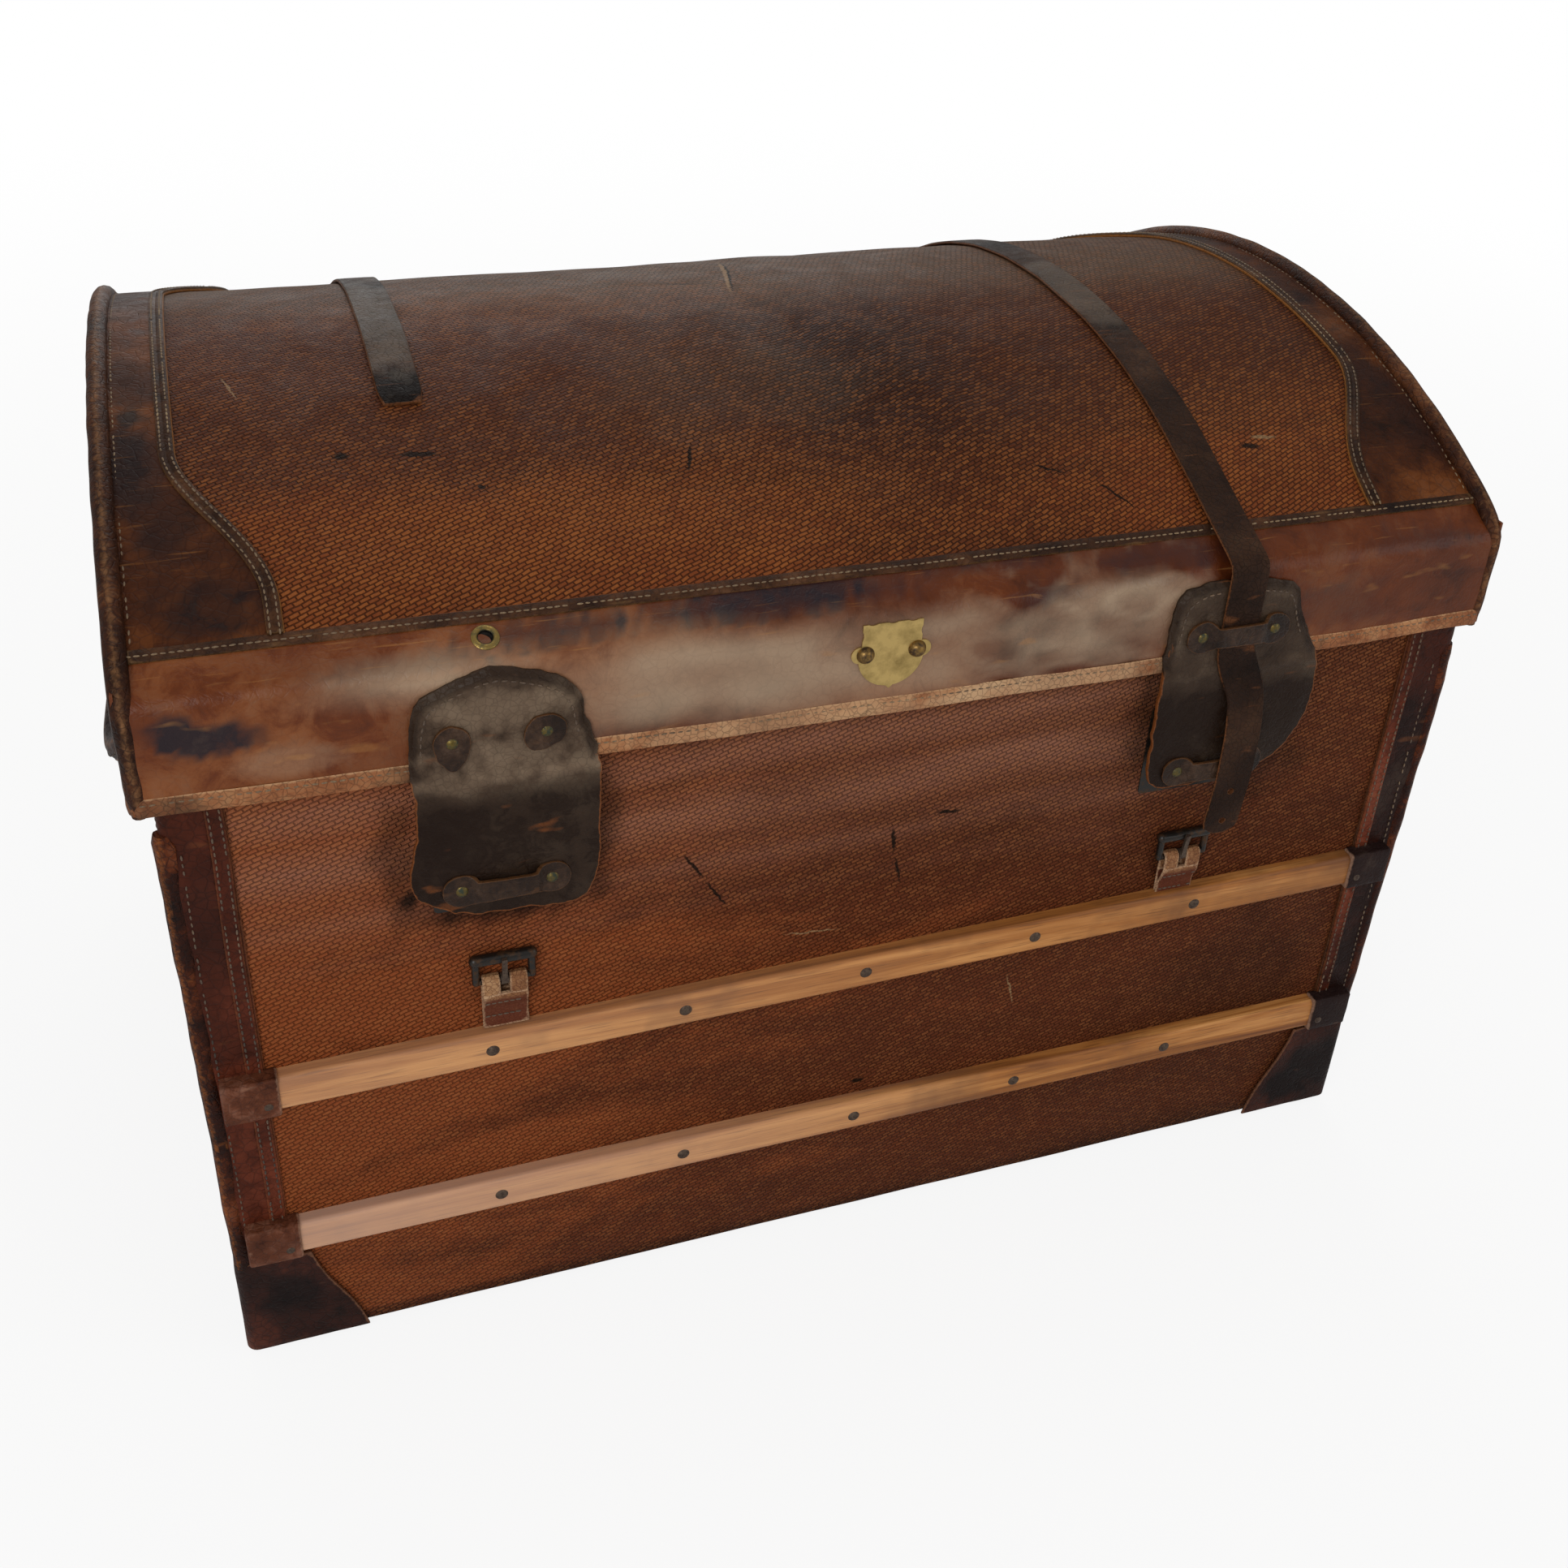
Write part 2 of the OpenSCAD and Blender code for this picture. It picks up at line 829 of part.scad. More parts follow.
module handle_pins() {
    pin_l = 2 * lug_t + eye_w + 1;
    color("#4b443c")
        both_ways([1, 0, 0])
            for (s = [-1, 1])
                translate([pivot_x, s * handle_r, handle_z])
                    rotate([90, 0, 0]) {
                        cylinder(r = pin_r, h = pin_l + 2, center = true);
                        for (e = [-1, 1])
                            translate([0, 0, e * (pin_l / 2 + 1)])
                                cylinder(r = pin_r + 1.5, h = 1.8, center = true);
                    }
}

// The sewn leather grip: a half ring with an eye at each end
module grip() {
    half_span = handle_r;
    difference() {
        union() {
            rotate([0, -handle_lean, 0]) {
                rotate([-90, 0, 90])
                    rotate_extrude(angle = 180)
                        translate([half_span, 0])
                            circle(grip_d / 2);
            }
            for (s = [-1, 1])
                translate([0, s * half_span, 0])
                    rotate([90, 0, 0])
                        cylinder(r = eye_r, h = eye_w, center = true);
        }
        for (s = [-1, 1]) {
            translate([0, s * half_span, 0])
                rotate([90, 0, 0])
                    cylinder(r = pin_r + pin_gap, h = 3 * eye_w, center = true);
            for (e = [-1, 1])
                translate([0, s * half_span + e * (eye_w / 2 + 5), 0])
                    rotate([90, 0, 0])
                        cylinder(r = eye_r + 4, h = 10, center = true);
        }
    }
}

module right_handle() {
    color("#2b1712")
        translate([pivot_x, 0, handle_z])
            grip();
}

module left_handle() {
    color("#2b1712")
        mirror([1, 0, 0])
            translate([pivot_x, 0, handle_z])
                grip();
}

// Knuckle barrels of one hinge: the body holds the outer two, the lid the middle one
module knuckle(x0, x1) {
    translate([x0, hinge_y, hinge_z])
        rotate([0, 90, 0])
            cylinder(r = knuckle_r, h = x1 - x0);
}

module hinge_bore() {
    translate([-hinge_w, hinge_y, hinge_z])
        rotate([0, 90, 0])
            cylinder(r = hinge_pin_r + pin_gap, h = 2 * hinge_w);
}

module hinge_body_leaves() {
    third = hinge_w / 6;
    top = hinge_z - knuckle_r + 2;
    color("#2a2522")
        for (s = [-1, 1])
            translate([s * hinge_x, 0, 0])
                difference() {
                    union() {
                        translate([-hinge_w / 2, canvas_y, top - leaf_l])
                            cube([hinge_w, 2, leaf_l]);
                        for (m = [0, 1])
                            mirror([m, 0, 0]) {
                                translate([third + knuckle_gap / 2, canvas_y, top - 2])
                                    cube([2 * third - knuckle_gap / 2, hinge_y - canvas_y, 2]);
                                knuckle(third + knuckle_gap / 2, 3 * third);
                            }
                    }
                    hinge_bore();
                }
}

module hinge_lid_leaves() {
    third = hinge_w / 6;
    color("#2a2522")
        for (s = [-1, 1])
            translate([s * hinge_x, 0, 0])
                difference() {
                    union() {
                        translate([-hinge_w / 2, binding_y, lid_edge_z + 2])
                            cube([hinge_w, 2, leaf_l]);
                        translate([-hinge_w / 2, skirt_y, lid_edge_z + binding_h])
                            cube([hinge_w, binding_t + 1, leaf_l + 2 - binding_h]);
                        translate([-third + knuckle_gap / 2, binding_y, hinge_z])
                            cube([2 * third - knuckle_gap, 2, lid_edge_z + 4 - hinge_z]);
                        knuckle(-third + knuckle_gap / 2, third - knuckle_gap / 2);
                        translate([-third + knuckle_gap / 2, hinge_y, hinge_z - knuckle_r])
                            cube([2 * third - knuckle_gap, binding_y + 2 - hinge_y, knuckle_r]);
                    }
                    hinge_bore();
                }
}

module hinge_pins() {
    color("#4b443c")
        for (s = [-1, 1])
            translate([s * hinge_x - hinge_w / 2 - 1, hinge_y, hinge_z])
                rotate([0, 90, 0])
                    cylinder(r = hinge_pin_r, h = hinge_w + 2);
}

// Lid profile: upright sides, rounded bends and one true arc over the top
module lid_profile(half_y, arc, bend) {
    corner_y = half_y - bend;
    corner_z = arch_z + sqrt((arc - bend) * (arc - bend) - corner_y * corner_y);
    touch_y = corner_y * arc / (arc - bend);
    intersection() {
        translate([0, arch_z])
            circle(arc, $fn = 256);
        translate([-touch_y, lid_edge_z])
            square([2 * touch_y, arc]);
    }
    translate([-half_y, lid_edge_z])
        square([2 * half_y, corner_z - lid_edge_z]);
    for (s = [-1, 1])
        translate([s * corner_y, corner_z])
            circle(bend);
}

module lid_solid(half_x, half_y, arc, bend) {
    along_x(-half_x, half_x)
        lid_profile(half_y, arc, bend);
}

module lid_hollow(half_x, half_y, arc, bend) {
    lid_solid(half_x, half_y, arc, bend);
    translate([-half_x, -half_y, lid_edge_z - cut])
        cube([2 * half_x, 2 * half_y, 2 * cut]);
}

module wicker_lid() {
    color("#b08a55")
        difference() {
            lid_solid(lid_wick_x, lid_wick_y, dome_wick_r, bend_in);
            lid_hollow(lid_wick_in_x, lid_wick_in_y, dome_wick_r - lid_wicker_t, bend_in);
        }
}

module lid_lining() {
    color("#c9bb98")
        difference() {
            lid_solid(lid_wick_in_x, lid_wick_in_y, dome_wick_r - lid_wicker_t, bend_in);
            lid_hollow(lid_in_x, lid_in_y, dome_in_r, bend_in);
        }
}

// Canvas over the dome between the seams, and on the arched ends above the skirt
module lid_canvas() {
    end_x = lid_wick_x + canvas_t;
    color("#6e3d25")
        difference() {
            lid_solid(end_x, lid_wick_y, dome_r, bend_in);
            lid_hollow(lid_wick_x, lid_wick_y, dome_wick_r + fit, bend_in);
            for (s = [-1, 1])
                translate([-end_x - cut, s > 0 ? seam_y : -seam_y - rim_y, lid_edge_z - cut])
                    cube([2 * end_x + 2 * cut, rim_y, arch_rise * 3]);
            translate([-end_x - cut, -rim_y, lid_edge_z - cut])
                cube([2 * end_x + 2 * cut, 2 * rim_y, skirt_h + cut]);
        }
}

// Leather skirt round the lid, turned over the front and back bends up to the seams
module lid_skirt() {
    color("#7d4526")
        difference() {
            lid_solid(skirt_x, skirt_y, skirt_arc, bend_r);
            lid_hollow(lid_wick_x, lid_wick_y, dome_wick_r, bend_in);
            translate([-skirt_x - cut, -seam_y, rim_corner_z])
                cube([2 * skirt_x + 2 * cut, 2 * seam_y, arch_rise * 2]);
            translate([-lid_wick_x, -seam_y, lid_edge_z])
                cube([2 * lid_wick_x, 2 * seam_y, arch_rise * 3]);
        }
}

// Binding folded round the lid's lower edge
module lid_binding() {
    out = binding_t;
    roll = rim_d / 2;
    color("#9a5a2e")
        difference() {
            block(skirt_x + out, binding_y, roll - rim_proud + out, lid_edge_z - out, lid_edge_z + binding_h);
            block(skirt_x, skirt_y, 0.5, lid_edge_z, lid_edge_z + binding_h + cut);
            block(lid_in_x, lid_in_y, 0.5, lid_edge_z - 2 * out, lid_edge_z + cut);
            four_corners()
                translate([rim_x - roll, rim_y - roll, lid_edge_z - 2 * out])
                    cylinder(r = roll, h = 2 * binding_h);
        }
}

// The roll over one end of the arch, cut to sit on the skirt's edge
module rim_arch() {
    r = rim_d / 2;
    path_arc = rim_arc - r;
    sweep = asin((rim_y - r) / path_arc);
    translate([rim_x - r, 0, arch_z])
        rotate([0, 90, 0])
            rotate([0, 0, 180 - sweep])
                rotate_extrude(angle = 2 * sweep, $fn = 256)
                    difference() {
                        translate([path_arc, 0])
                            circle(r, $fn = 32);
                        translate([path_arc - 2 * r, -2 * r])
                            square([2 * r + skirt_arc - path_arc, 3 * r - rim_proud]);
                    }
}

// The same roll down one corner of the lid, with the bend at its top
module rim_corner() {
    r = rim_d / 2;
    path_arc = rim_arc - r;
    foot_y = rim_y - r;
    foot_z = lid_edge_z - binding_t;
    bend_z = arch_z + sqrt(path_arc * path_arc - foot_y * foot_y);
    translate([rim_x - r, foot_y, foot_z])
        linear_extrude(bend_z - foot_z)
            difference() {
                circle(r);
                translate([-2 * r, -2 * r])
                    square([3 * r - rim_proud, 3 * r - rim_proud]);
            }
    difference() {
        translate([rim_x - r, foot_y, bend_z])
            sphere(r + 0.05);
        lid_solid(skirt_x, skirt_y, skirt_arc, bend_r);
    }
}

module lid_rims() {
    color("#5a2e1b")
        both_ways([1, 0, 0]) {
            rim_arch();
            both_ways([0, 1, 0])
                rim_corner();
        }
}

// Inner edge of the end leather: straight on top, swelling in an S near each seam
function s_edge(y) =
    let (start = 0.5 * seam_y, u = max(0, min(1, (abs(y) - start) / (0.42 * seam_y))))
    rim_x - end_band_w - end_band_swell * u * u * (3 - 2 * u);

s_steps = 28;
band_end_y = seam_y - seam_welt_w / 2;

module band_outline() {
    edge = [for (i = [0 : s_steps]) let (y = -band_end_y + 2 * band_end_y * i / s_steps)
        [s_edge(y), y]];
    polygon(concat(edge, [[rim_x - rim_d, band_end_y], [rim_x - rim_d, -band_end_y]]));
}

module dome_layer(r0, r1) {
    difference() {
        translate([-skirt_x, 0, arch_z])
            rotate([0, 90, 0])
                cylinder(r = r1, h = 2 * skirt_x, $fn = 256);
        translate([-skirt_x - cut, 0, arch_z])
            rotate([0, 90, 0])
                cylinder(r = r0, h = 2 * skirt_x + 2 * cut, $fn = 256);
    }
}

module lid_end_leathers() {
    color("#6b3218")
        intersection() {
            dome_layer(dome_r, dome_r + band_t);
            both_ways([1, 0, 0])
                translate([0, 0, rim_corner_z - arch_rise / 2])
                    linear_extrude(2 * arch_rise)
                        band_outline();
        }
}

// Double-sewn welt along the S edge, on top of the end leather
module lid_end_welts() {
    welt = welt_w - 2;
    edge = [for (i = [0 : s_steps]) let (y = -band_end_y + 2 * band_end_y * i / s_steps)
        let (slope = (s_edge(y + 0.5) - s_edge(y - 0.5)), n = sqrt(1 + slope * slope))
        [s_edge(y) + 1 + welt / n, y - welt * slope / n]];
    back_edge = [for (i = [s_steps : -1 : 0]) let (y = -band_end_y + 2 * band_end_y * i / s_steps)
        [s_edge(y) + 1, y]];
    color("#4f2817")
        intersection() {
            dome_layer(dome_r + band_t, dome_r + band_t + welt_t);
            both_ways([1, 0, 0])
                translate([0, 0, rim_corner_z - arch_rise / 2])
                    linear_extrude(2 * arch_rise)
                        polygon(concat(edge, back_edge));
        }
}

// Welts over the seams between the dome canvas and the skirt
module seam_welts() {
    color("#5d2e1a")
        both_ways([0, 1, 0])
            along_x(rim_d - rim_x, rim_x - rim_d)
                difference() {
                    intersection() {
                        translate([0, arch_z])
                            circle(dome_r + band_t + 1, $fn = 256);
                        translate([band_end_y, rim_corner_z - arch_rise])
                            square([seam_welt_w, 2 * arch_rise]);
                    }
                    translate([0, arch_z])
                        circle(skirt_arc, $fn = 256);
                }
}

// Outline of a flap's upper part, measured from the crease
module flap_upper_outline(peak, inset) {
    half = flap_w / 2 - inset;
    r = flap_corner_r - inset / 2;
    top = flap_up_h - inset;
    translate([-half, crease_gap])
        square([2 * half, top - r - crease_gap]);
    translate([-half + r, 0])
        translate([0, crease_gap])
            square([2 * half - 2 * r, top - crease_gap]);
    for (s = [-1, 1])
        translate([s * (half - r), top - r])
            circle(r);
    if (peak > 0)
        polygon([[r - half, top], [0, top + peak], [half - r, top]]);
}

module flap_upper(x, peak) {
    translate([x, 0, crease_z])
        difference() {
            on_front(skirt_y, flap_rim_t + flap_t)
                flap_upper_outline(peak, 0);
            translate([0, cut, -cut])
                on_front(skirt_y, flap_rim_t + cut)
                    flap_upper_outline(0, flap_rim_w);
            translate([-flap_w, -binding_y, 0])
                cube([2 * flap_w, binding_t + cut, lid_edge_z + binding_h - crease_z]);
            translate([-flap_w, -flap_back_y, -cut])
                cube([2 * flap_w, flap_rim_t + cut, lid_edge_z - crease_z + cut]);
        }
}

module flap_upper_parts() {
    color("#231a17") {
        flap_upper(left_flap_x, flap_peak);
        flap_upper(right_strap_x, 0);
    }
}

// The part below the crease, drawn in at the fold and wider near the bottom
module flap_lower_outline() {
    steps = 12;
    r = flap_corner_r;
    side = [for (i = [0 : steps]) let (s = i / steps)
        [flap_w / 2 + (flap_low_w - flap_w) / 2 * sin(90 * s) - 4 * sin(180 * min(1, 2.5 * s)),
         -s * (flap_down_h - r) - (1 - s) * crease_gap]];
    round_part = [for (i = [1 : steps]) let (turn = 90 * i / steps)
        [flap_low_w / 2 - r + r * cos(turn), r - flap_down_h - r * sin(turn)]];
    half = concat(side, round_part);
    last = len(half) - 1;
    polygon(concat(half, [for (i = [last : -1 : 0]) [-half[i][0], half[i][1]]]));
}

module flap_lower(x) {
    translate([x, 0, crease_z])
        on_front(flap_back_y, flap_t)
            flap_lower_outline();
}

module left_flap() {
    color("#231a17")
        flap_lower(left_flap_x);
}

module right_flap() {
    color("#231a17")
        flap_lower(right_strap_x);
}

// Bone-shaped loop outline
module loop_outline() {
    for (s = [-1, 1])
        translate([s * loop_rivets / 2, 0])
            circle(loop_d / 2);
    square([loop_rivets, loop_waist], center = true);
}

// Side view of a loop in X and Y: flat ends on the flap and a raised bridge between them
module loop_band() {
    half = loop_rivets / 2 + loop_d / 2 + cut;
    bridge = strap_w / 2 + 2;
    foot = bridge + loop_free + loop_t / 2;
    outer = [[half, 0], [half, -loop_t], [foot + 1.2, -loop_t], [bridge + 1, -loop_free - loop_t]];
    inner = [[bridge, -loop_free], [foot - 1, 0]];
    mirrored = [for (i = [3 : -1 : 0]) [-outer[i][0], outer[i][1]]];
    polygon(concat(inner, outer, mirrored, [[1 - foot, 0], [-bridge, -loop_free]]));
}

module strap_loop(x, z) {
    intersection() {
        translate([x, -flap_y, z - loop_d / 2 - cut])
            linear_extrude(loop_d + 2 * cut)
                loop_band();
        translate([x, 0, z])
            on_front(flap_y - cut, loop_free + loop_t + 2 * cut)
                loop_outline();
    }
}

// The right loop is whole; the left one is torn and only its two ends are left
module flap_loops_upper() {
    color("#1f1815") {
        strap_loop(right_strap_x, upper_loop_z);
        for (s = [-1, 1])
            translate([left_flap_x + s * loop_rivets / 2, 0, upper_loop_z])
                on_front(flap_y, loop_t)
                    circle(loop_d / 2);
    }
}

module left_flap_loop() {
    color("#1f1815")
        strap_loop(left_flap_x, lower_loop_z);
}

module right_flap_loop() {
    color("#1f1815")
        strap_loop(right_strap_x, lower_loop_z);
}

module loop_stud(x, z, y) {
    for (s = [-1, 1])
        translate([x + s * loop_rivets / 2, -y, z])
            stud(rivet_d, rivet_h, 0);
}

module flap_rivets() {
    color("#5b5236") {
        loop_stud(left_flap_x, upper_loop_z, flap_y + loop_t);
        loop_stud(right_strap_x, upper_loop_z, flap_y + loop_t);
    }
}

module left_flap_rivets() {
    color("#5b5236")
        loop_stud(left_flap_x, lower_loop_z, flap_y + loop_t);
}

module right_flap_rivets() {
    color("#5b5236")
        loop_stud(right_strap_x, lower_loop_z, flap_y + loop_t);
}

// Points round an arc, its angles counted from straight up
function arc_points(centre, r, from, to, steps) =
    [for (i = [0 : steps]) let (turn = from + (to - from) * i / steps)
        [centre[0] + r * sin(turn), centre[1] + r * cos(turn)]];

// One face of a strap from the crown over the dome and down a wall, lying `off` above its back
strap_bend = 8;
strap_r = dome_r + fit;
strap_turn = asin(strap_lift / strap_r);

function strap_corner(wall_y) =
    let (y = wall_y - strap_bend,
        run = y - strap_lift,
        z = arch_z + strap_r * cos(strap_turn)
            - (strap_bend + run * sin(strap_turn)) / cos(strap_turn))
    [y, z];

function strap_side(wall_y, end_z, off) =
    concat(arc_points([0, arch_z], strap_r + off, 0, strap_turn, 20),
        arc_points(strap_corner(wall_y), strap_bend + off, strap_turn, 90, 6),
        [[wall_y + off, end_z]]);

function turned(list) = [for (i = [len(list) - 1 : -1 : 0]) list[i]];
function to_front(list) = [for (p = list) [-p[0], p[1]]];

strap_back_z = lid_edge_z + binding_h + 6;

module right_strap() {
    color("#33231b")
        along_x(right_strap_x - strap_w / 2, right_strap_x + strap_w / 2)
            polygon(concat(
                strap_side(skirt_y, strap_back_z, strap_t),
                turned(strap_side(skirt_y, strap_back_z, 0)),
                to_front(strap_side(strap_y, strap_end_z, 0)),
                turned(to_front(strap_side(strap_y, strap_end_z, strap_t)))));
}

// The torn strap lies over the crown and ends short on the front
module left_strap_stub() {
    reach = asin(stub_reach / strap_r);
    color("#26201d")
        along_x(left_strap_x - strap_w / 2, left_strap_x + strap_w / 2)
            polygon(concat(
                strap_side(skirt_y, strap_back_z, strap_t),
                turned(strap_side(skirt_y, strap_back_z, 0)),
                arc_points([0, arch_z], strap_r, 0, -reach, 8),
                arc_points([0, arch_z], strap_r + strap_t, -reach, 0, 8)));
}

module right_strap_tail() {
    tip_z = tail_top_z - tail_l;
    half = strap_w / 2;
    over = loop_free + loop_t + seat;
    loop_top = lower_loop_z + loop_d / 2 + 6;
    color("#33231b")
        difference() {
            translate([right_strap_x, 0, 0])
                rotate([90, 0, 90])
                    linear_extrude(strap_w, center = true)
                        polygon([
                            [-strap_y, tail_top_z], [-strap_y - strap_t, tail_top_z],
                            [-strap_y - strap_t - over, loop_top + 6], [-strap_y - strap_t - over, tip_z],
                            [-strap_y - over, tip_z], [-strap_y - over, loop_top + 6]]);
            for (i = [0 : 1])
                translate([right_strap_x, -strap_y - over, tip_z + 12 + i * hole_pitch])
                    rotate([90, 0, 0])
                        cylinder(r = 2.5, h = 4 * strap_t, center = true);
        }
}

// Lid half of each lock: a plate on the skirt with a tongue that drops into the case
module lock_tongues() {
    top = lid_edge_z + binding_h + 24;
    back = tongue_y;
    low_z = case_z + case_h - tongue_in;
    step_z = lid_edge_z - binding_t - 3;
    color("#2a2726")
        for (x = lock_x)
            translate([x - tongue_w / 2, 0, 0]) {
                translate([0, -binding_y - plate_t, step_z])
                    cube([tongue_w, plate_t, top - step_z]);
                translate([0, -binding_y - plate_t, step_z])
                    cube([tongue_w, binding_y + plate_t - back, plate_t]);
                translate([0, -back - tongue_t, low_z])
                    cube([tongue_w, tongue_t, step_z + plate_t - low_z]);
            }
}

// Plain brass shield with an eared outline, and its two round studs
module shield_outline() {
    half = shield_w / 2;
    difference() {
        union() {
            translate([0, -half * 0.1])
                circle(half * 0.82);
            for (s = [-1, 1])
                translate([s * (half - 6), 0])
                    circle(6);
            translate([-half * 0.75, 0])
                square([half * 1.5, half * 0.8]);
            polygon([[-6, -half * 0.8], [0, -half], [6, -half * 0.8]]);
        }
        for (s = [-1, 0, 1])
            translate([s * half * 0.5, half * 1.02])
                circle(half * 0.25);
        for (s = [-1, 1])
            translate([s * half * 0.98, half * 0.5])
                circle(half * 0.26);
    }
}

module brass_shield() {
    color("#b39a5a")
        translate([shield_x, 0, shield_z])
            on_front(skirt_y, 1)
                shield_outline();
}

module shield_studs() {
    color("#4a3320")
        for (s = [-1, 1])
            translate([shield_x + s * stud_pitch / 2, -skirt_y - 1, shield_z])
                stud(12, 5, 0);
}

// Eyelet on the sloping part of the skirt above the left flap
module brass_eyelet() {
    place_y = seam_y + 13;
    turn = asin(place_y / skirt_arc);
    color("#a08a4c")
        translate([left_flap_x - 2, 0, arch_z])
            rotate([turn, 0, 0])
                translate([0, 0, skirt_arc])
                    difference() {
                        cylinder(d = eyelet_d, h = 1.5);
                        translate([0, 0, 0.8])
                            cylinder(d = eyelet_d - 7, h = cut);
                    }
}

// A chape on the middle of each lid end, with its buckle hanging from it
module at_lid_end(side) {
    rotate([0, 0, side * 90])
        translate([0, -end_bar_x, end_buckle_z])
            rotate([0, 180, 0])
                children();
}

module lid_end_chapes() {
    color("#4a2716")
        for (side = [-1, 1])
            at_lid_end(side)
                chape(end_bar_x - skirt_x, end_chape_l);
}

module left_end_buckle() {
    color("#1b1a1a")
        at_lid_end(-1)
            buckle_frame(end_buckle_len);
}

module left_end_prong() {
    color("#26221f")
        at_lid_end(-1)
            buckle_prong(end_buckle_len);
}

module right_end_buckle() {
    color("#1b1a1a")
        at_lid_end(1)
            buckle_frame(end_buckle_len);
}

module right_end_prong() {
    color("#26221f")
        at_lid_end(1)
            buckle_prong(end_buckle_len);
}

wicker_body();
body_canvas();
body_lining();
neck_binding();
corner_leathers();
corner_rolls();
corner_welts();
bottom_corner_caps();
lower_front_batten();
upper_front_batten();
lower_back_batten();
upper_back_batten();
bottom_slats();
batten_nails();
batten_pockets();
pocket_rivets();
lock_plates();
lock_cases();
front_buckle_chapes();
left_buckle_frame();
left_buckle_prong();
right_buckle_frame();
right_buckle_prong();
handle_mounts();
handle_pins();
left_handle();
right_handle();
hinge_body_leaves();
hinge_pins();
hinge_lid_leaves();
wicker_lid();
lid_canvas();
lid_lining();
lid_skirt();
lid_binding();
lid_rims();
lid_end_leathers();
lid_end_welts();
seam_welts();
flap_upper_parts();
left_flap();
right_flap();
flap_loops_upper();
left_flap_loop();
right_flap_loop();
flap_rivets();
left_flap_rivets();
right_flap_rivets();
right_strap();
right_strap_tail();
left_strap_stub();
lock_tongues();
brass_shield();
shield_studs();
brass_eyelet();
lid_end_chapes();
left_end_buckle();
left_end_prong();
right_end_buckle();
right_end_prong();
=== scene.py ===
import math
import random
import bpy
from mathutils import Matrix, Vector, noise


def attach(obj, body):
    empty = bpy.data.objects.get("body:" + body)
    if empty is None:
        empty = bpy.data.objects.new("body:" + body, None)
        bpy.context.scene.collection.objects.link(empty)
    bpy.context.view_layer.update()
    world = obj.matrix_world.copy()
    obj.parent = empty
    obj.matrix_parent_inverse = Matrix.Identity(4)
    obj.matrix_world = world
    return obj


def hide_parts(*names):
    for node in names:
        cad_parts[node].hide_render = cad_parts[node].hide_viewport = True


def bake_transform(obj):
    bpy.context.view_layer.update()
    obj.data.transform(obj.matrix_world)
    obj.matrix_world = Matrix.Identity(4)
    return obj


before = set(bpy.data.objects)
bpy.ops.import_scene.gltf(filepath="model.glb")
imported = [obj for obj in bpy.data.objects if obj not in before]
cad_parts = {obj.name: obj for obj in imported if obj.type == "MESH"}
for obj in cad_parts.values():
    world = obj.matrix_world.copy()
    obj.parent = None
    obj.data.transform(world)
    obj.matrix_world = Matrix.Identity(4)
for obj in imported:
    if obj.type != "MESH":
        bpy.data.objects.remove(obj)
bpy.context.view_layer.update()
mm = 0.001
print("frame loaded", len(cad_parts), "nodes")

cameraFit = dict(place=(-0.3790, -1.1746, 1.0907), focal=2134.3, middleX=1024.8, middleY=813.0,
                 right=(0.94200, -0.33094, 0.05577), down=(-0.12714, -0.50572, -0.85328),
                 forward=(0.31058, 0.79670, -0.51847), frameSide=1932)


def linearOf(hexText):
    parts = [int(hexText[i:i + 2], 16) / 255 for i in (1, 3, 5)]
    return tuple(p / 12.92 if p < 0.04045 else ((p + 0.055) / 1.055) ** 2.4 for p in parts) + (1.0,)


# kind is what follows ShaderNode in the node's type; settings: a property, a socket's name or its number;
# links: a socket to a node, for its first output, or to (node, output)
def addNode(material, kind, settings=None, links=None):
    tree = material.node_tree
    node = tree.nodes.new("ShaderNode" + kind)
    for key, value in (settings or {}).items():
        value = linearOf(value) if isinstance(value, str) and value.startswith("#") else value
        if isinstance(key, str) and hasattr(node, key):
            setattr(node, key, value)
        else:
            node.inputs[key].default_value = value
    for key, link in (links or {}).items():
        source, output = link if isinstance(link, tuple) else (link, 0)
        tree.links.new(source.outputs[output], node.inputs[key])
    return node


def clearSelection():
    if bpy.context.object and bpy.context.object.mode != "OBJECT":
        bpy.ops.object.mode_set(mode="OBJECT")
    bpy.ops.object.select_all(action="DESELECT")


def pickOnly(piece):
    clearSelection()
    piece.select_set(True)
    bpy.context.view_layer.objects.active = piece


# One edit-mode operator on the whole mesh
def editAll(piece, operator, **settings):
    pickOnly(piece)
    bpy.ops.object.mode_set(mode="EDIT")
    bpy.ops.mesh.select_all(action="SELECT")
    operator(**settings)
    bpy.ops.object.mode_set(mode="OBJECT")


clearSelection()
bpy.ops.object.camera_add()
camera = bpy.context.object
camera.name = "photoCamera"
right, down, forward = (Vector(cameraFit[k]) for k in ("right", "down", "forward"))
turned = Matrix((right, -down, -forward)).transposed().to_4x4()
turned.translation = Vector(cameraFit["place"])
camera.matrix_world = turned
side = cameraFit["frameSide"]
camera.data.sensor_width = 36
camera.data.lens = cameraFit["focal"] * 36 / side
camera.data.shift_x = (side / 2 - cameraFit["middleX"]) / side
camera.data.shift_y = (cameraFit["middleY"] - side / 2) / side
camera.data.clip_start = 0.05
camera.data.clip_end = 60
bpy.context.scene.camera = camera
bpy.context.scene.view_settings.view_transform = "Standard"

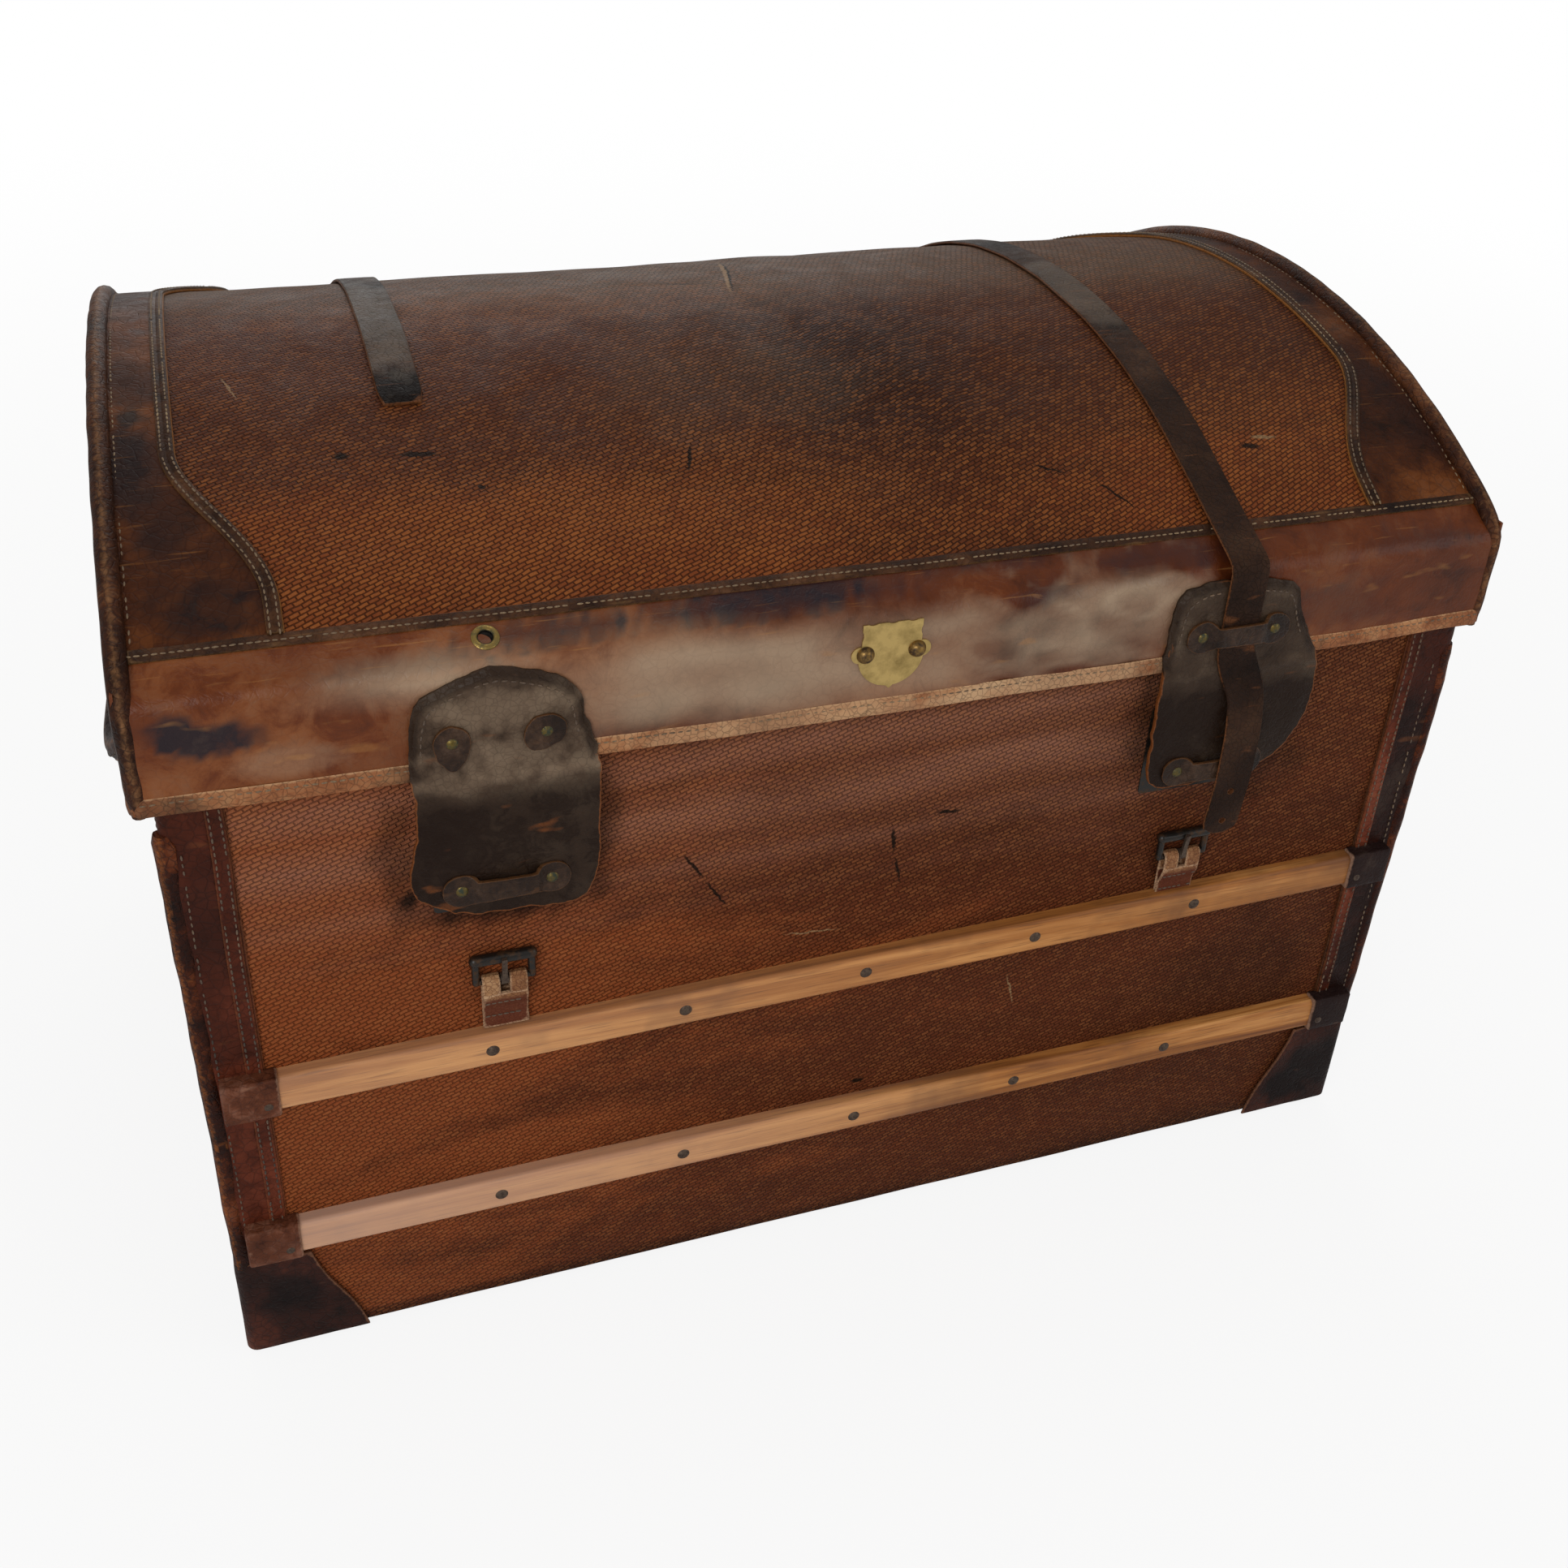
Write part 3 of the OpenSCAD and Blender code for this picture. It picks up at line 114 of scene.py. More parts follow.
# Pale paper floor: what the camera sees is mostly white, and the shadow stays in it
floorPaper = bpy.data.materials.new("paleFloorPaper")
floorPaper.use_nodes = True
floorPaper.node_tree.nodes.clear()
floorDull = addNode(floorPaper, "BsdfDiffuse", {"Color": (0.80, 0.80, 0.80, 1)})
floorWhite = addNode(floorPaper, "Emission", {"Color": (1, 1, 1, 1), "Strength": 1.0})
rayKind = addNode(floorPaper, "LightPath")
floorSpot = addNode(floorPaper, "TexCoord")
floorReach = addNode(floorPaper, "VectorMath", {"operation": "LENGTH"}, {0: (floorSpot, "Object")})
farWhite = addNode(floorPaper, "MapRange", {"From Min": 0.9, "From Max": 3.2, "To Min": 0.86, "To Max": 1.0,
                                            "interpolation_type": "SMOOTHSTEP"},
                   {"Value": (floorReach, "Value")})
whiteShare = addNode(floorPaper, "Math", {"operation": "MULTIPLY"},
                     {0: (rayKind, "Is Camera Ray"), 1: farWhite})
floorMix = addNode(floorPaper, "MixShader", {}, {0: whiteShare, 1: floorDull, 2: floorWhite})
addNode(floorPaper, "OutputMaterial", {}, {0: floorMix})
clearSelection()
bpy.ops.mesh.primitive_plane_add(size=30, location=(0, 0, -0.0005))
floor = bpy.context.object
floor.name = "paleFloor"
floor.data.materials.append(floorPaper)

world = bpy.data.worlds.new("softStudio")
bpy.context.scene.world = world
world.use_nodes = True
world.node_tree.nodes.clear()
roomLight = addNode(world, "Background", {"Color": (1, 0.985, 0.96, 1), "Strength": 0.46})
whiteSeen = addNode(world, "Background", {"Color": (1, 1, 1, 1), "Strength": 1.0})
worldRay = addNode(world, "LightPath")
worldMix = addNode(world, "MixShader", {}, {0: (worldRay, "Is Camera Ray"), 1: roomLight, 2: whiteSeen})
addNode(world, "OutputWorld", {}, {0: worldMix})

# Soft boxes: name, place, aim, size, watts
lampPlaces = [("windowSoftbox", (-1.7, -2.5, 1.9), (0, 0, 0.35), 1.7, 48),
              ("fillSoftbox", (2.3, -2.1, 1.5), (0, 0, 0.3), 2.0, 19),
              ("topSoftbox", (0.2, 1.2, 2.9), (0, 0, 0.5), 1.8, 15),
              ("backFill", (0.3, 2.9, 1.4), (0, 0, 0.3), 2.0, 16)]
for name, place, aim, size, watts in lampPlaces:
    clearSelection()
    bpy.ops.object.light_add(type="AREA", location=place)
    lamp = bpy.context.object
    lamp.name = name
    lamp.data.size = size
    lamp.data.energy = watts
    lamp.rotation_euler = (Vector(aim) - Vector(place)).to_track_quat("-Z", "Y").to_euler()
print("camera, floor and light ready")


def smooth(a, b, t):
    s = min(max((t - a) / (b - a), 0.0), 1.0)
    return s * s * (3 - 2 * s)


# Even noise of about -1 to 1, with humps of about size millimetres
def ripple(x, y, z, size, seed=0):
    return noise.noise(Vector((x / size + seed * 7.31, y / size, z / size))) * 1.6


# Running length along a broken line, from the first two coordinates of its points
def runOf(points):
    run = [0.0]
    for a, b in zip(points, points[1:]):
        run.append(run[-1] + math.hypot(b[0] - a[0], b[1] - a[1]))
    return run


weldReach = 0.02
noEdge = 60  # distance to a raw edge, mm, given where a skin has none


# A grid whose points are put by place(u, w): x, y, z, the pattern's s and t, and the distance e to a raw
# edge, all in mm
def sheetOf(name, columns, rows, place, closed=False):
    clearSelection()
    bpy.ops.mesh.primitive_grid_add(x_subdivisions=columns, y_subdivisions=rows, size=1, calc_uvs=True)
    piece = bpy.context.object
    piece.name = name
    mesh = piece.data
    mesh.name = name
    spots = []
    edges = []
    for v in mesh.vertices:
        u, w = round((v.co.x + 0.5) * columns) / columns, round((v.co.y + 0.5) * rows) / rows
        x, y, z, s, t, e = place(u, w)
        v.co = (x * mm, y * mm, z * mm)
        spots.append((s * mm, t * mm))
        edges.append(e)
    uvs = mesh.uv_layers.active.data
    for loop in mesh.loops:
        uvs[loop.index].uv = spots[loop.vertex_index]
    rim = mesh.attributes.new("edge", "FLOAT", "POINT")
    rim.data.foreach_set("value", edges)
    if closed:
        editAll(piece, bpy.ops.mesh.remove_doubles, threshold=weldReach * mm)
    return piece


def useModifier(piece, kind, **settings):
    pickOnly(piece)
    modifier = piece.modifiers.new(kind.lower(), kind)
    for key, value in settings.items():
        setattr(modifier, key, value)
    bpy.ops.object.modifier_apply(modifier=modifier.name)


def easeEdges(piece, width, segments):
    useModifier(piece, "BEVEL", width=width * mm, segments=segments, limit_method="ANGLE",
                angle_limit=math.radians(50), use_clamp_overlap=True)


# Thickness grows inwards from the shown face, then the raw edges are eased
def giveWall(piece, thickness, ease=0.0):
    useModifier(piece, "SOLIDIFY", thickness=thickness * mm, offset=-1, use_even_offset=True)
    if ease:
        easeEdges(piece, ease, 2)
    return piece


def joinPieces(pieces, name):
    clearSelection()
    for piece in pieces:
        piece.select_set(True)
    bpy.context.view_layer.objects.active = pieces[0]
    if len(pieces) > 1:
        bpy.ops.object.join()
    pieces[0].name = name
    pieces[0].data.name = name
    return pieces[0]


def finishPiece(piece, body, material, nodes=(), angle=40, blendTo=None):
    pickOnly(piece)
    bpy.ops.object.shade_smooth_by_angle(angle=math.radians(angle))
    piece.data.materials.clear()
    piece.data.materials.append(material)
    if blendTo:
        other, start, end = blendTo
        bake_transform(piece)
        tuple(start)
        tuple(end)
    else:
        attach(piece, body)
    if nodes:
        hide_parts(*nodes)
    return piece


# A soft amount per point: spots are (x, y, z, reach x, y, z, strength), their borders broken by noise
def paintSpots(piece, name, spots, base=0.0, seed=0, shake=0.3):
    mesh = piece.data
    layer = mesh.attributes.get(name) or mesh.attributes.new(name, "FLOAT", "POINT")
    values = []
    for v in mesh.vertices:
        p = v.co / mm
        amount = base(p) if callable(base) else base
        for x, y, z, rx, ry, rz, strength in spots:
            d = math.sqrt(((p.x - x) / rx) ** 2 + ((p.y - y) / ry) ** 2 + ((p.z - z) / rz) ** 2)
            if d < 1.6:
                d += shake * ripple(p.x, p.y, p.z, 0.5 * min(rx, rz), seed)
                amount += strength * smooth(1.15, 0.45, d)
        values.append(amount)
    layer.data.foreach_set("value", values)


# Evenly spaced points and directions on a broken line
def along(points, count=None, step=None, closed=False):
    points = [Vector(p) for p in points]
    if closed:
        points = points + [points[0]]
    lengths = [0.0]
    for a, b in zip(points, points[1:]):
        lengths.append(lengths[-1] + (b - a).length)
    total = lengths[-1]
    count = count or max(2, round(total / step) + (0 if closed else 1))
    found = []
    k = 0
    for i in range(count):
        d = total * i / (count if closed else count - 1)
        while k < len(lengths) - 2 and lengths[k + 1] < d:
            k += 1
        share = (d - lengths[k]) / max(lengths[k + 1] - lengths[k], 1e-9)
        found.append((points[k].lerp(points[k + 1], share), (points[k + 1] - points[k]).normalized(), d))
    return found


# Corner cutting, which turns a rough outline into a smooth one
def rounded(points, passes=2, closed=False):
    points = [Vector(p) for p in points]
    for _ in range(passes):
        pairs = list(zip(points, points[1:] + points[:1])) if closed else list(zip(points, points[1:]))
        cut = [] if closed else [points[0]]
        for a, b in pairs:
            cut += [a.lerp(b, 0.25), a.lerp(b, 0.75)]
        points = cut if closed else cut + [points[-1]]
    return points


# A piece cut to an outline in x and z: rings run in from its edge to its middle, and lift gives y from x, z
# and the distance to the edge
def plateOf(name, outline, middle, lift, rings=10, count=96, ragged=0.0, seed=0, tight=1.6):
    spots = [p for p, _, _ in along([(x, z, 0) for x, z in outline], count=count, closed=True)]
    centre = Vector((middle[0], middle[1], 0))
    for i, p in enumerate(spots):
        pull = ripple(p.x, p.y, 0, 9, seed) + 0.5 * ripple(p.x, p.y, 3, 3.5, seed)
        spots[i] = p + (centre - p).normalized() * ragged * pull

    def place(u, w):
        p = spots[round(u * count) % count]
        q = p.lerp(centre, w ** tight)
        return q.x, lift(q.x, q.y, (q - p).length), q.y, q.x, q.y, (q - p).length
    return sheetOf(name, count, rings, place, closed=True)


# Points of a path with the direction along it and the one out of the surface
def framesOf(path, upward, step=8.0):
    spots = along(path, step=step)
    frames = []
    for i, (p, _, s) in enumerate(spots):
        before, after = spots[max(i - 1, 0)][0], spots[min(i + 1, len(spots) - 1)][0]
        d = (after - before).normalized()
        up = Vector(upward(p) if callable(upward) else upward)
        up = (up - d * up.dot(d)).normalized()
        frames.append((p, d, up, s))
    return frames


# A closed section, (across, up) in mm, swept along frames; section may be a function of the share along.
# With crest, wear gathers on the highest line and not at the borders
def sweepOf(name, frames, section, crest=False):
    total = frames[-1][3]
    rows = len(frames) - 1
    first = section(0.0) if callable(section) else section
    girth = runOf(first + first[:1])

    def place(u, w):
        p, d, up, s = frames[round(w * rows)]
        outline = section(s / total) if callable(section) else section
        i = round(u * len(outline))
        a, h = outline[i % len(outline)]
        q = p + d.cross(up) * a + up * h
        e = min(s, total - s, max(abs(o[0]) for o in outline) - abs(a))
        if crest:
            e = 0.9 + 0.8 * (max(o[1] for o in outline) - h)
        return q.x, q.y, q.z, girth[i], s, e
    piece = sheetOf(name, len(first), rows, place, closed=True)
    editAll(piece, bpy.ops.mesh.fill_holes, sides=0)
    return piece


# Strap section with eased edges, lying on its back
def strapSection(width, thickness, ease=0.9):
    w, t = width / 2, thickness
    return [(-w, t / 2), (-w + 0.25 * ease, t - ease), (-w + ease, t - 0.15), (-w / 2, t), (0, t), (w / 2, t),
            (w - ease, t - 0.15), (w - 0.25 * ease, t - ease), (w, t / 2), (w - ease, 0), (0, 0),
            (ease - w, 0)]


def ringSection(wide, high, count=12):
    return [(-wide * math.cos(2 * math.pi * i / count), high * math.sin(2 * math.pi * i / count))
            for i in range(count)]


# Sewing: one stitch is modelled once and its copies are laid along each row
stitchRows = {}


def sewRow(group, frames, off, lift, pitch=5.0, seed=1):
    points = [p + d.cross(up) * off + up * lift for p, d, up, s in frames]
    picker = random.Random(seed)
    ups = [f[2] for f in frames]
    placed = along(points, step=pitch)
    for i, (p, d, s) in enumerate(placed):
        if picker.random() < 0.04:
            continue
        up = ups[min(round(i / max(len(placed) - 1, 1) * (len(ups) - 1)), len(ups) - 1)]
        grow, twist = picker.uniform(0.85, 1.1), picker.uniform(-0.12, 0.12)
        stitchRows.setdefault(group, []).append((p, d, up, grow, twist))


threadSize = dict(length=3.7, width=1.25, height=0.55)


def makeStitches(group, name, body, material, s=threadSize):
    clearSelection()
    bpy.ops.mesh.primitive_uv_sphere_add(segments=8, ring_count=5, radius=1)
    master = bpy.context.object
    editAll(master, bpy.ops.transform.resize,
            value=(s["width"] / 2 * mm, s["height"] * mm, s["length"] / 2 * mm))
    verts = [v.co.copy() for v in master.data.vertices]
    faces = [tuple(p.vertices) for p in master.data.polygons]
    bpy.data.objects.remove(master)
    points, polygons = [], []
    for p, d, up, grow, twist in stitchRows[group]:
        up = (up - d * up.dot(d)).normalized()
        across = d.cross(up)
        d = (d + across * twist).normalized()
        across = d.cross(up)
        start = len(points)
        points += [p * mm + across * v.x * grow + up * v.y + d * v.z * grow for v in verts]
        polygons += [tuple(start + k for k in face) for face in faces]
    mesh = bpy.data.meshes.new(name)
    mesh.from_pydata(points, [], polygons)
    mesh.update()
    piece = bpy.data.objects.new(name, mesh)
    bpy.context.collection.objects.link(piece)
    return finishPiece(piece, body, material, angle=60)


colourMix = {"data_type": "RGBA"}


def setRamp(node, stops):
    ramp = node.color_ramp
    while len(ramp.elements) > 1:
        ramp.elements.remove(ramp.elements[-1])
    for i, (spot, colour) in enumerate(stops):
        element = ramp.elements[0] if i == 0 else ramp.elements.new(spot)
        element.position = spot
        element.color = linearOf(colour)


def newMaterial(name):
    material = bpy.data.materials.new(name)
    material.use_nodes = True
    material.node_tree.nodes.clear()
    return material


# A colour laid over another where an amount painted per point is high; fit is the noise's share in it, the
# amounts where the colour starts and is full, and how full it gets
def laidOver(m, under, colour, layer, cloud, fit):
    share, low, high, most = fit
    amount = addNode(m, "Attribute", {"attribute_name": layer})
    rough = addNode(m, "Math", {"operation": "MULTIPLY_ADD", 1: share}, {0: cloud, 2: (amount, "Fac")})
    mask = addNode(m, "MapRange", {"From Min": low, "From Max": high, "To Max": most}, {"Value": rough})
    return (addNode(m, "Mix", {**colourMix, 7: colour}, {0: mask, 6: under}), 2), mask


# A mask of scratches and burns: start, end, outward direction and width in mm, their borders shaken by noise
def scarMask(m, here, scars):
    cloud = addNode(m, "TexNoise", {"Scale": 150.0, "Detail": 4.0, "Roughness": 0.7}, {"Vector": here})
    shaken = 0.006
    loose = addNode(m, "VectorMath", {"operation": "MULTIPLY_ADD", 1: (shaken, shaken, shaken)},
                    {0: (cloud, "Color"), 2: here})
    mask = None
    for start, end, outward, width in scars:
        a, b = Vector(start), Vector(end)
        d = (b - a).normalized()
        n = Vector(outward)
        n = (n - d * n.dot(d)).normalized()
        turn = Matrix((d, n.cross(d), n)).transposed().to_euler()
        middle = (a + b) / 2 * mm + Vector((shaken / 2, shaken / 2, shaken / 2))
        reach = ((b - a).length * 0.6 * mm, width * 0.5 * mm, 0.03)
        where = addNode(m, "Mapping", {"vector_type": "TEXTURE", "Location": tuple(middle),
                                       "Rotation": tuple(turn), "Scale": reach}, {"Vector": loose})
        ball = addNode(m, "TexGradient", {"gradient_type": "SPHERICAL"}, {"Vector": where})
        if mask:
            mask = addNode(m, "Math", {"operation": "MAXIMUM"}, {0: mask, 1: (ball, "Fac")})
        else:
            mask = (ball, "Fac")
    return addNode(m, "MapRange", {"From Min": 0.08, "From Max": 0.45, "To Max": 0.92}, {"Value": mask})


# Vegetable-tanned leather, hand waxed: mottled, pebbled grain, dark handling stains with painted shade,
# pale rubbed patches with painted sheen, pale scuffed edges
def tannedLeather(name, **changes):
    s = {**leatherBase, **changes}
    m = newMaterial(name)
    here = (addNode(m, "TexCoord"), "Object")
    broad = addNode(m, "TexNoise", {"Scale": 1000 / s["patch"], "Detail": 3.0, "Roughness": 0.55},
                    {"Vector": here})
    medium = addNode(m, "TexNoise", {"Scale": 6000 / s["patch"], "Detail": 6.0, "Roughness": 0.7,
                                     "Distortion": 0.5}, {"Vector": here})
    broadPart = addNode(m, "Math", {"operation": "MULTIPLY", 1: 0.55}, {0: broad})
    mottle = addNode(m, "Math", {"operation": "MULTIPLY_ADD", 1: 0.45}, {0: medium, 2: broadPart})
    tanned = addNode(m, "ValToRGB", {}, {"Fac": mottle})
    setRamp(tanned, [(0.36, s["dark"]), (0.49, s["mid"]), (0.62, s["light"])])
    # dark stains of handling and damp and painted shade, then pale patches that are partly rubbed wear and
    # partly painted sheen
    stained, _ = laidOver(m, tanned, s["stain"], "grime", medium, (1.8, 1.0, 1.95, 0.95))
    rubbed, shineMask = laidOver(m, stained, s["rub"], "shine", mottle, (0.7, 0.4, 1.4, 0.85))
    # scuffed raw edges
    edge = addNode(m, "Attribute", {"attribute_name": "edge"})
    near = addNode(m, "MapRange", {"From Min": 0.0, "From Max": s["wearReach"], "To Min": 1.0, "To Max": 0.0},
                   {"Value": (edge, "Fac")})
    fine = addNode(m, "TexNoise", {"Scale": 260.0, "Detail": 4.0, "Roughness": 0.65}, {"Vector": here})
    scuff = addNode(m, "Math", {"operation": "MULTIPLY_ADD", 1: 0.9}, {0: fine, 2: near})
    scuffMask = addNode(m, "MapRange", {"From Min": 0.95, "From Max": 1.35, "To Max": s["wear"]},
                        {"Value": scuff})
    worn = addNode(m, "Mix", {**colourMix, 7: s["worn"]}, {0: scuffMask, 6: rubbed})
    # scratches: thin streaks of a stretched noise
    streakPlace = addNode(m, "Mapping", {"Rotation": (0.35, 0.6, 0.9), "Scale": (26, 420, 90)},
                          {"Vector": here})
    streaks = addNode(m, "TexNoise", {"Scale": 1.0, "Detail": 2.0}, {"Vector": streakPlace})
    streakMask = addNode(m, "MapRange", {"From Min": 0.66, "From Max": 0.74, "To Max": s["scratch"]},
                         {"Value": streaks})
    scratched = addNode(m, "Mix", {**colourMix, 7: s["worn"]}, {0: streakMask, 6: (worn, 2)})
    # crazed finish: dark lines between cells
    craze = addNode(m, "TexVoronoi", {"feature": "DISTANCE_TO_EDGE", "Scale": 1000 / s["craze"]},
                    {"Vector": here})
    crazeLine = addNode(m, "MapRange", {"From Min": 0.0, "From Max": 0.09, "To Min": s["crazeDepth"],
                                        "To Max": 0.0}, {"Value": (craze, "Distance")})
    crazeWhere = addNode(m, "Math", {"operation": "MULTIPLY"}, {0: crazeLine, 1: medium})
    finish = addNode(m, "Mix", {**colourMix, 7: s["stain"]}, {0: crazeWhere, 6: (scratched, 2)})
    # pebbled grain, its size in mm from the settings
    pebble = addNode(m, "TexVoronoi", {"feature": "SMOOTH_F1", "Scale": 1000 / s["grain"], "Smoothness": 0.6},
                     {"Vector": here})
    grain = addNode(m, "Math", {"operation": "MULTIPLY_ADD", 1: 0.5}, {0: fine, 2: (pebble, "Distance")})
    grainBump = addNode(m, "Bump", {"Strength": s["bump"], "Distance": 0.0006}, {"Height": grain})
    furrow = addNode(m, "Math", {"operation": "SUBTRACT"}, {0: medium, 1: crazeWhere})
    creaseBump = addNode(m, "Bump", {"Strength": 0.45, "Distance": 0.0022},
                         {"Height": furrow, "Normal": grainBump})
    gloss = addNode(m, "MapRange", {"From Min": 0.3, "From Max": 0.7, "To Min": s["gloss"],
                                    "To Max": s["dull"]}, {"Value": medium})
    glossShine = addNode(m, "Math", {"operation": "MULTIPLY_ADD", 1: -0.2, "use_clamp": True},
                         {0: shineMask, 2: gloss})
    skin = addNode(m, "BsdfPrincipled", {"IOR": 1.5, "Specular IOR Level": s["spec"]},
                   {"Base Color": (finish, 2), "Roughness": glossShine, "Normal": creaseBump})
    addNode(m, "OutputMaterial", {}, {0: skin})
    return m


leatherBase = dict(dark="#3b1c10", mid="#6b3a20", light="#8a5230", stain="#1b1212", rub="#8d7f70",
                   worn="#a5733f", patch=110, grain=2.4, bump=0.35, wear=0.7, wearReach=3.0, scratch=0.25,
                   craze=7.0, crazeDepth=0.5, gloss=0.36, dull=0.58, spec=0.08)
skirtLeather = tannedLeather("tannedSkirtLeather", dark="#3a1808", mid="#5a290c",
    light="#7f4a26", stain="#17121a", rub="#9c8770", patch=150, gloss=0.3, dull=0.46,
    spec=0.2, crazeDepth=0.15, bump=0.2)
bindingLeather = tannedLeather("crackedBindingLeather", dark="#55301c", mid="#885637",
    light="#b08058", rub="#b39270", worn="#c09a74", patch=60, craze=4.2, crazeDepth=0.75, wear=0.6)
rimLeather = tannedLeather("stitchedRimLeather", dark="#1c0f0a", mid="#3b2013",
    light="#60381f", worn="#8a6240", patch=70, craze=6.0, crazeDepth=0.9, wear=0.6, bump=0.5)
endLeather = tannedLeather("mottledEndLeather", dark="#1e0e07", mid="#40200f",
    light="#693917", worn="#94602f", patch=85, bump=0.3, spec=0.06)
weltLeather = tannedLeather("greasedWeltLeather", dark="#1a0f0a", mid="#342014",
    light="#523420", worn="#7a5a36", patch=60, wear=0.35, wearReach=1.2)
cornerLeather = tannedLeather("waxedCornerLeather", dark="#260f08", mid="#471e11",
    light="#6e3421", stain="#170c0a", worn="#7a4a2a", patch=120, crazeDepth=0.6, wear=0.3)
rollLeather = tannedLeather("scuffedRollLeather", dark="#150b08", mid="#2f140b",
    light="#5e2c12", worn="#955524", patch=45, craze=5.0, crazeDepth=1.0, bump=0.6)
capLeather = tannedLeather("scuffedCapLeather", dark="#190f0d", mid="#361c16",
    light="#5e3123", stain="#120d0d", worn="#76503a", patch=90, bump=0.4, crazeDepth=0.7)
strapLeather = tannedLeather("greasedStrapLeather", dark="#180f0b", mid="#302018",
    light="#4b3324", stain="#0d0705", worn="#76482a", spec=0.05, patch=70, craze=4.0, crazeDepth=0.8,
    wear=0.6, wearReach=1.6, scratch=0.4, gloss=0.34, dull=0.6)
flapLeather = tannedLeather("blackenedFlapLeather", dark="#20150e", mid="#46372b",
    light="#6f5f4e", stain="#180b05", rub="#776452", worn="#7e4722", patch=90, craze=4.5,
    crazeDepth=0.4, wear=0.75, wearReach=2.2, scratch=0.4, gloss=0.28, dull=0.5, spec=0.1)
loopLeather = tannedLeather("shinyLoopLeather", dark="#130b07", mid="#26180f",
    light="#3f2c1f", worn="#6b4526", patch=30, gloss=0.26, dull=0.42, wear=0.45,
    wearReach=1.4, spec=0.16)
chapeLeather = tannedLeather("flakedChapeLeather", dark="#5f3c26", mid="#82593a",
    light="#a37d59", stain="#54281a", worn="#b39274", patch=28, craze=3.0, crazeDepth=1.2)
tabLeather = tannedLeather("redTabLeather", dark="#44200f", mid="#66331f", light="#8a5238", patch=40)
neckLeather = tannedLeather("neckBindingLeather", patch=60)
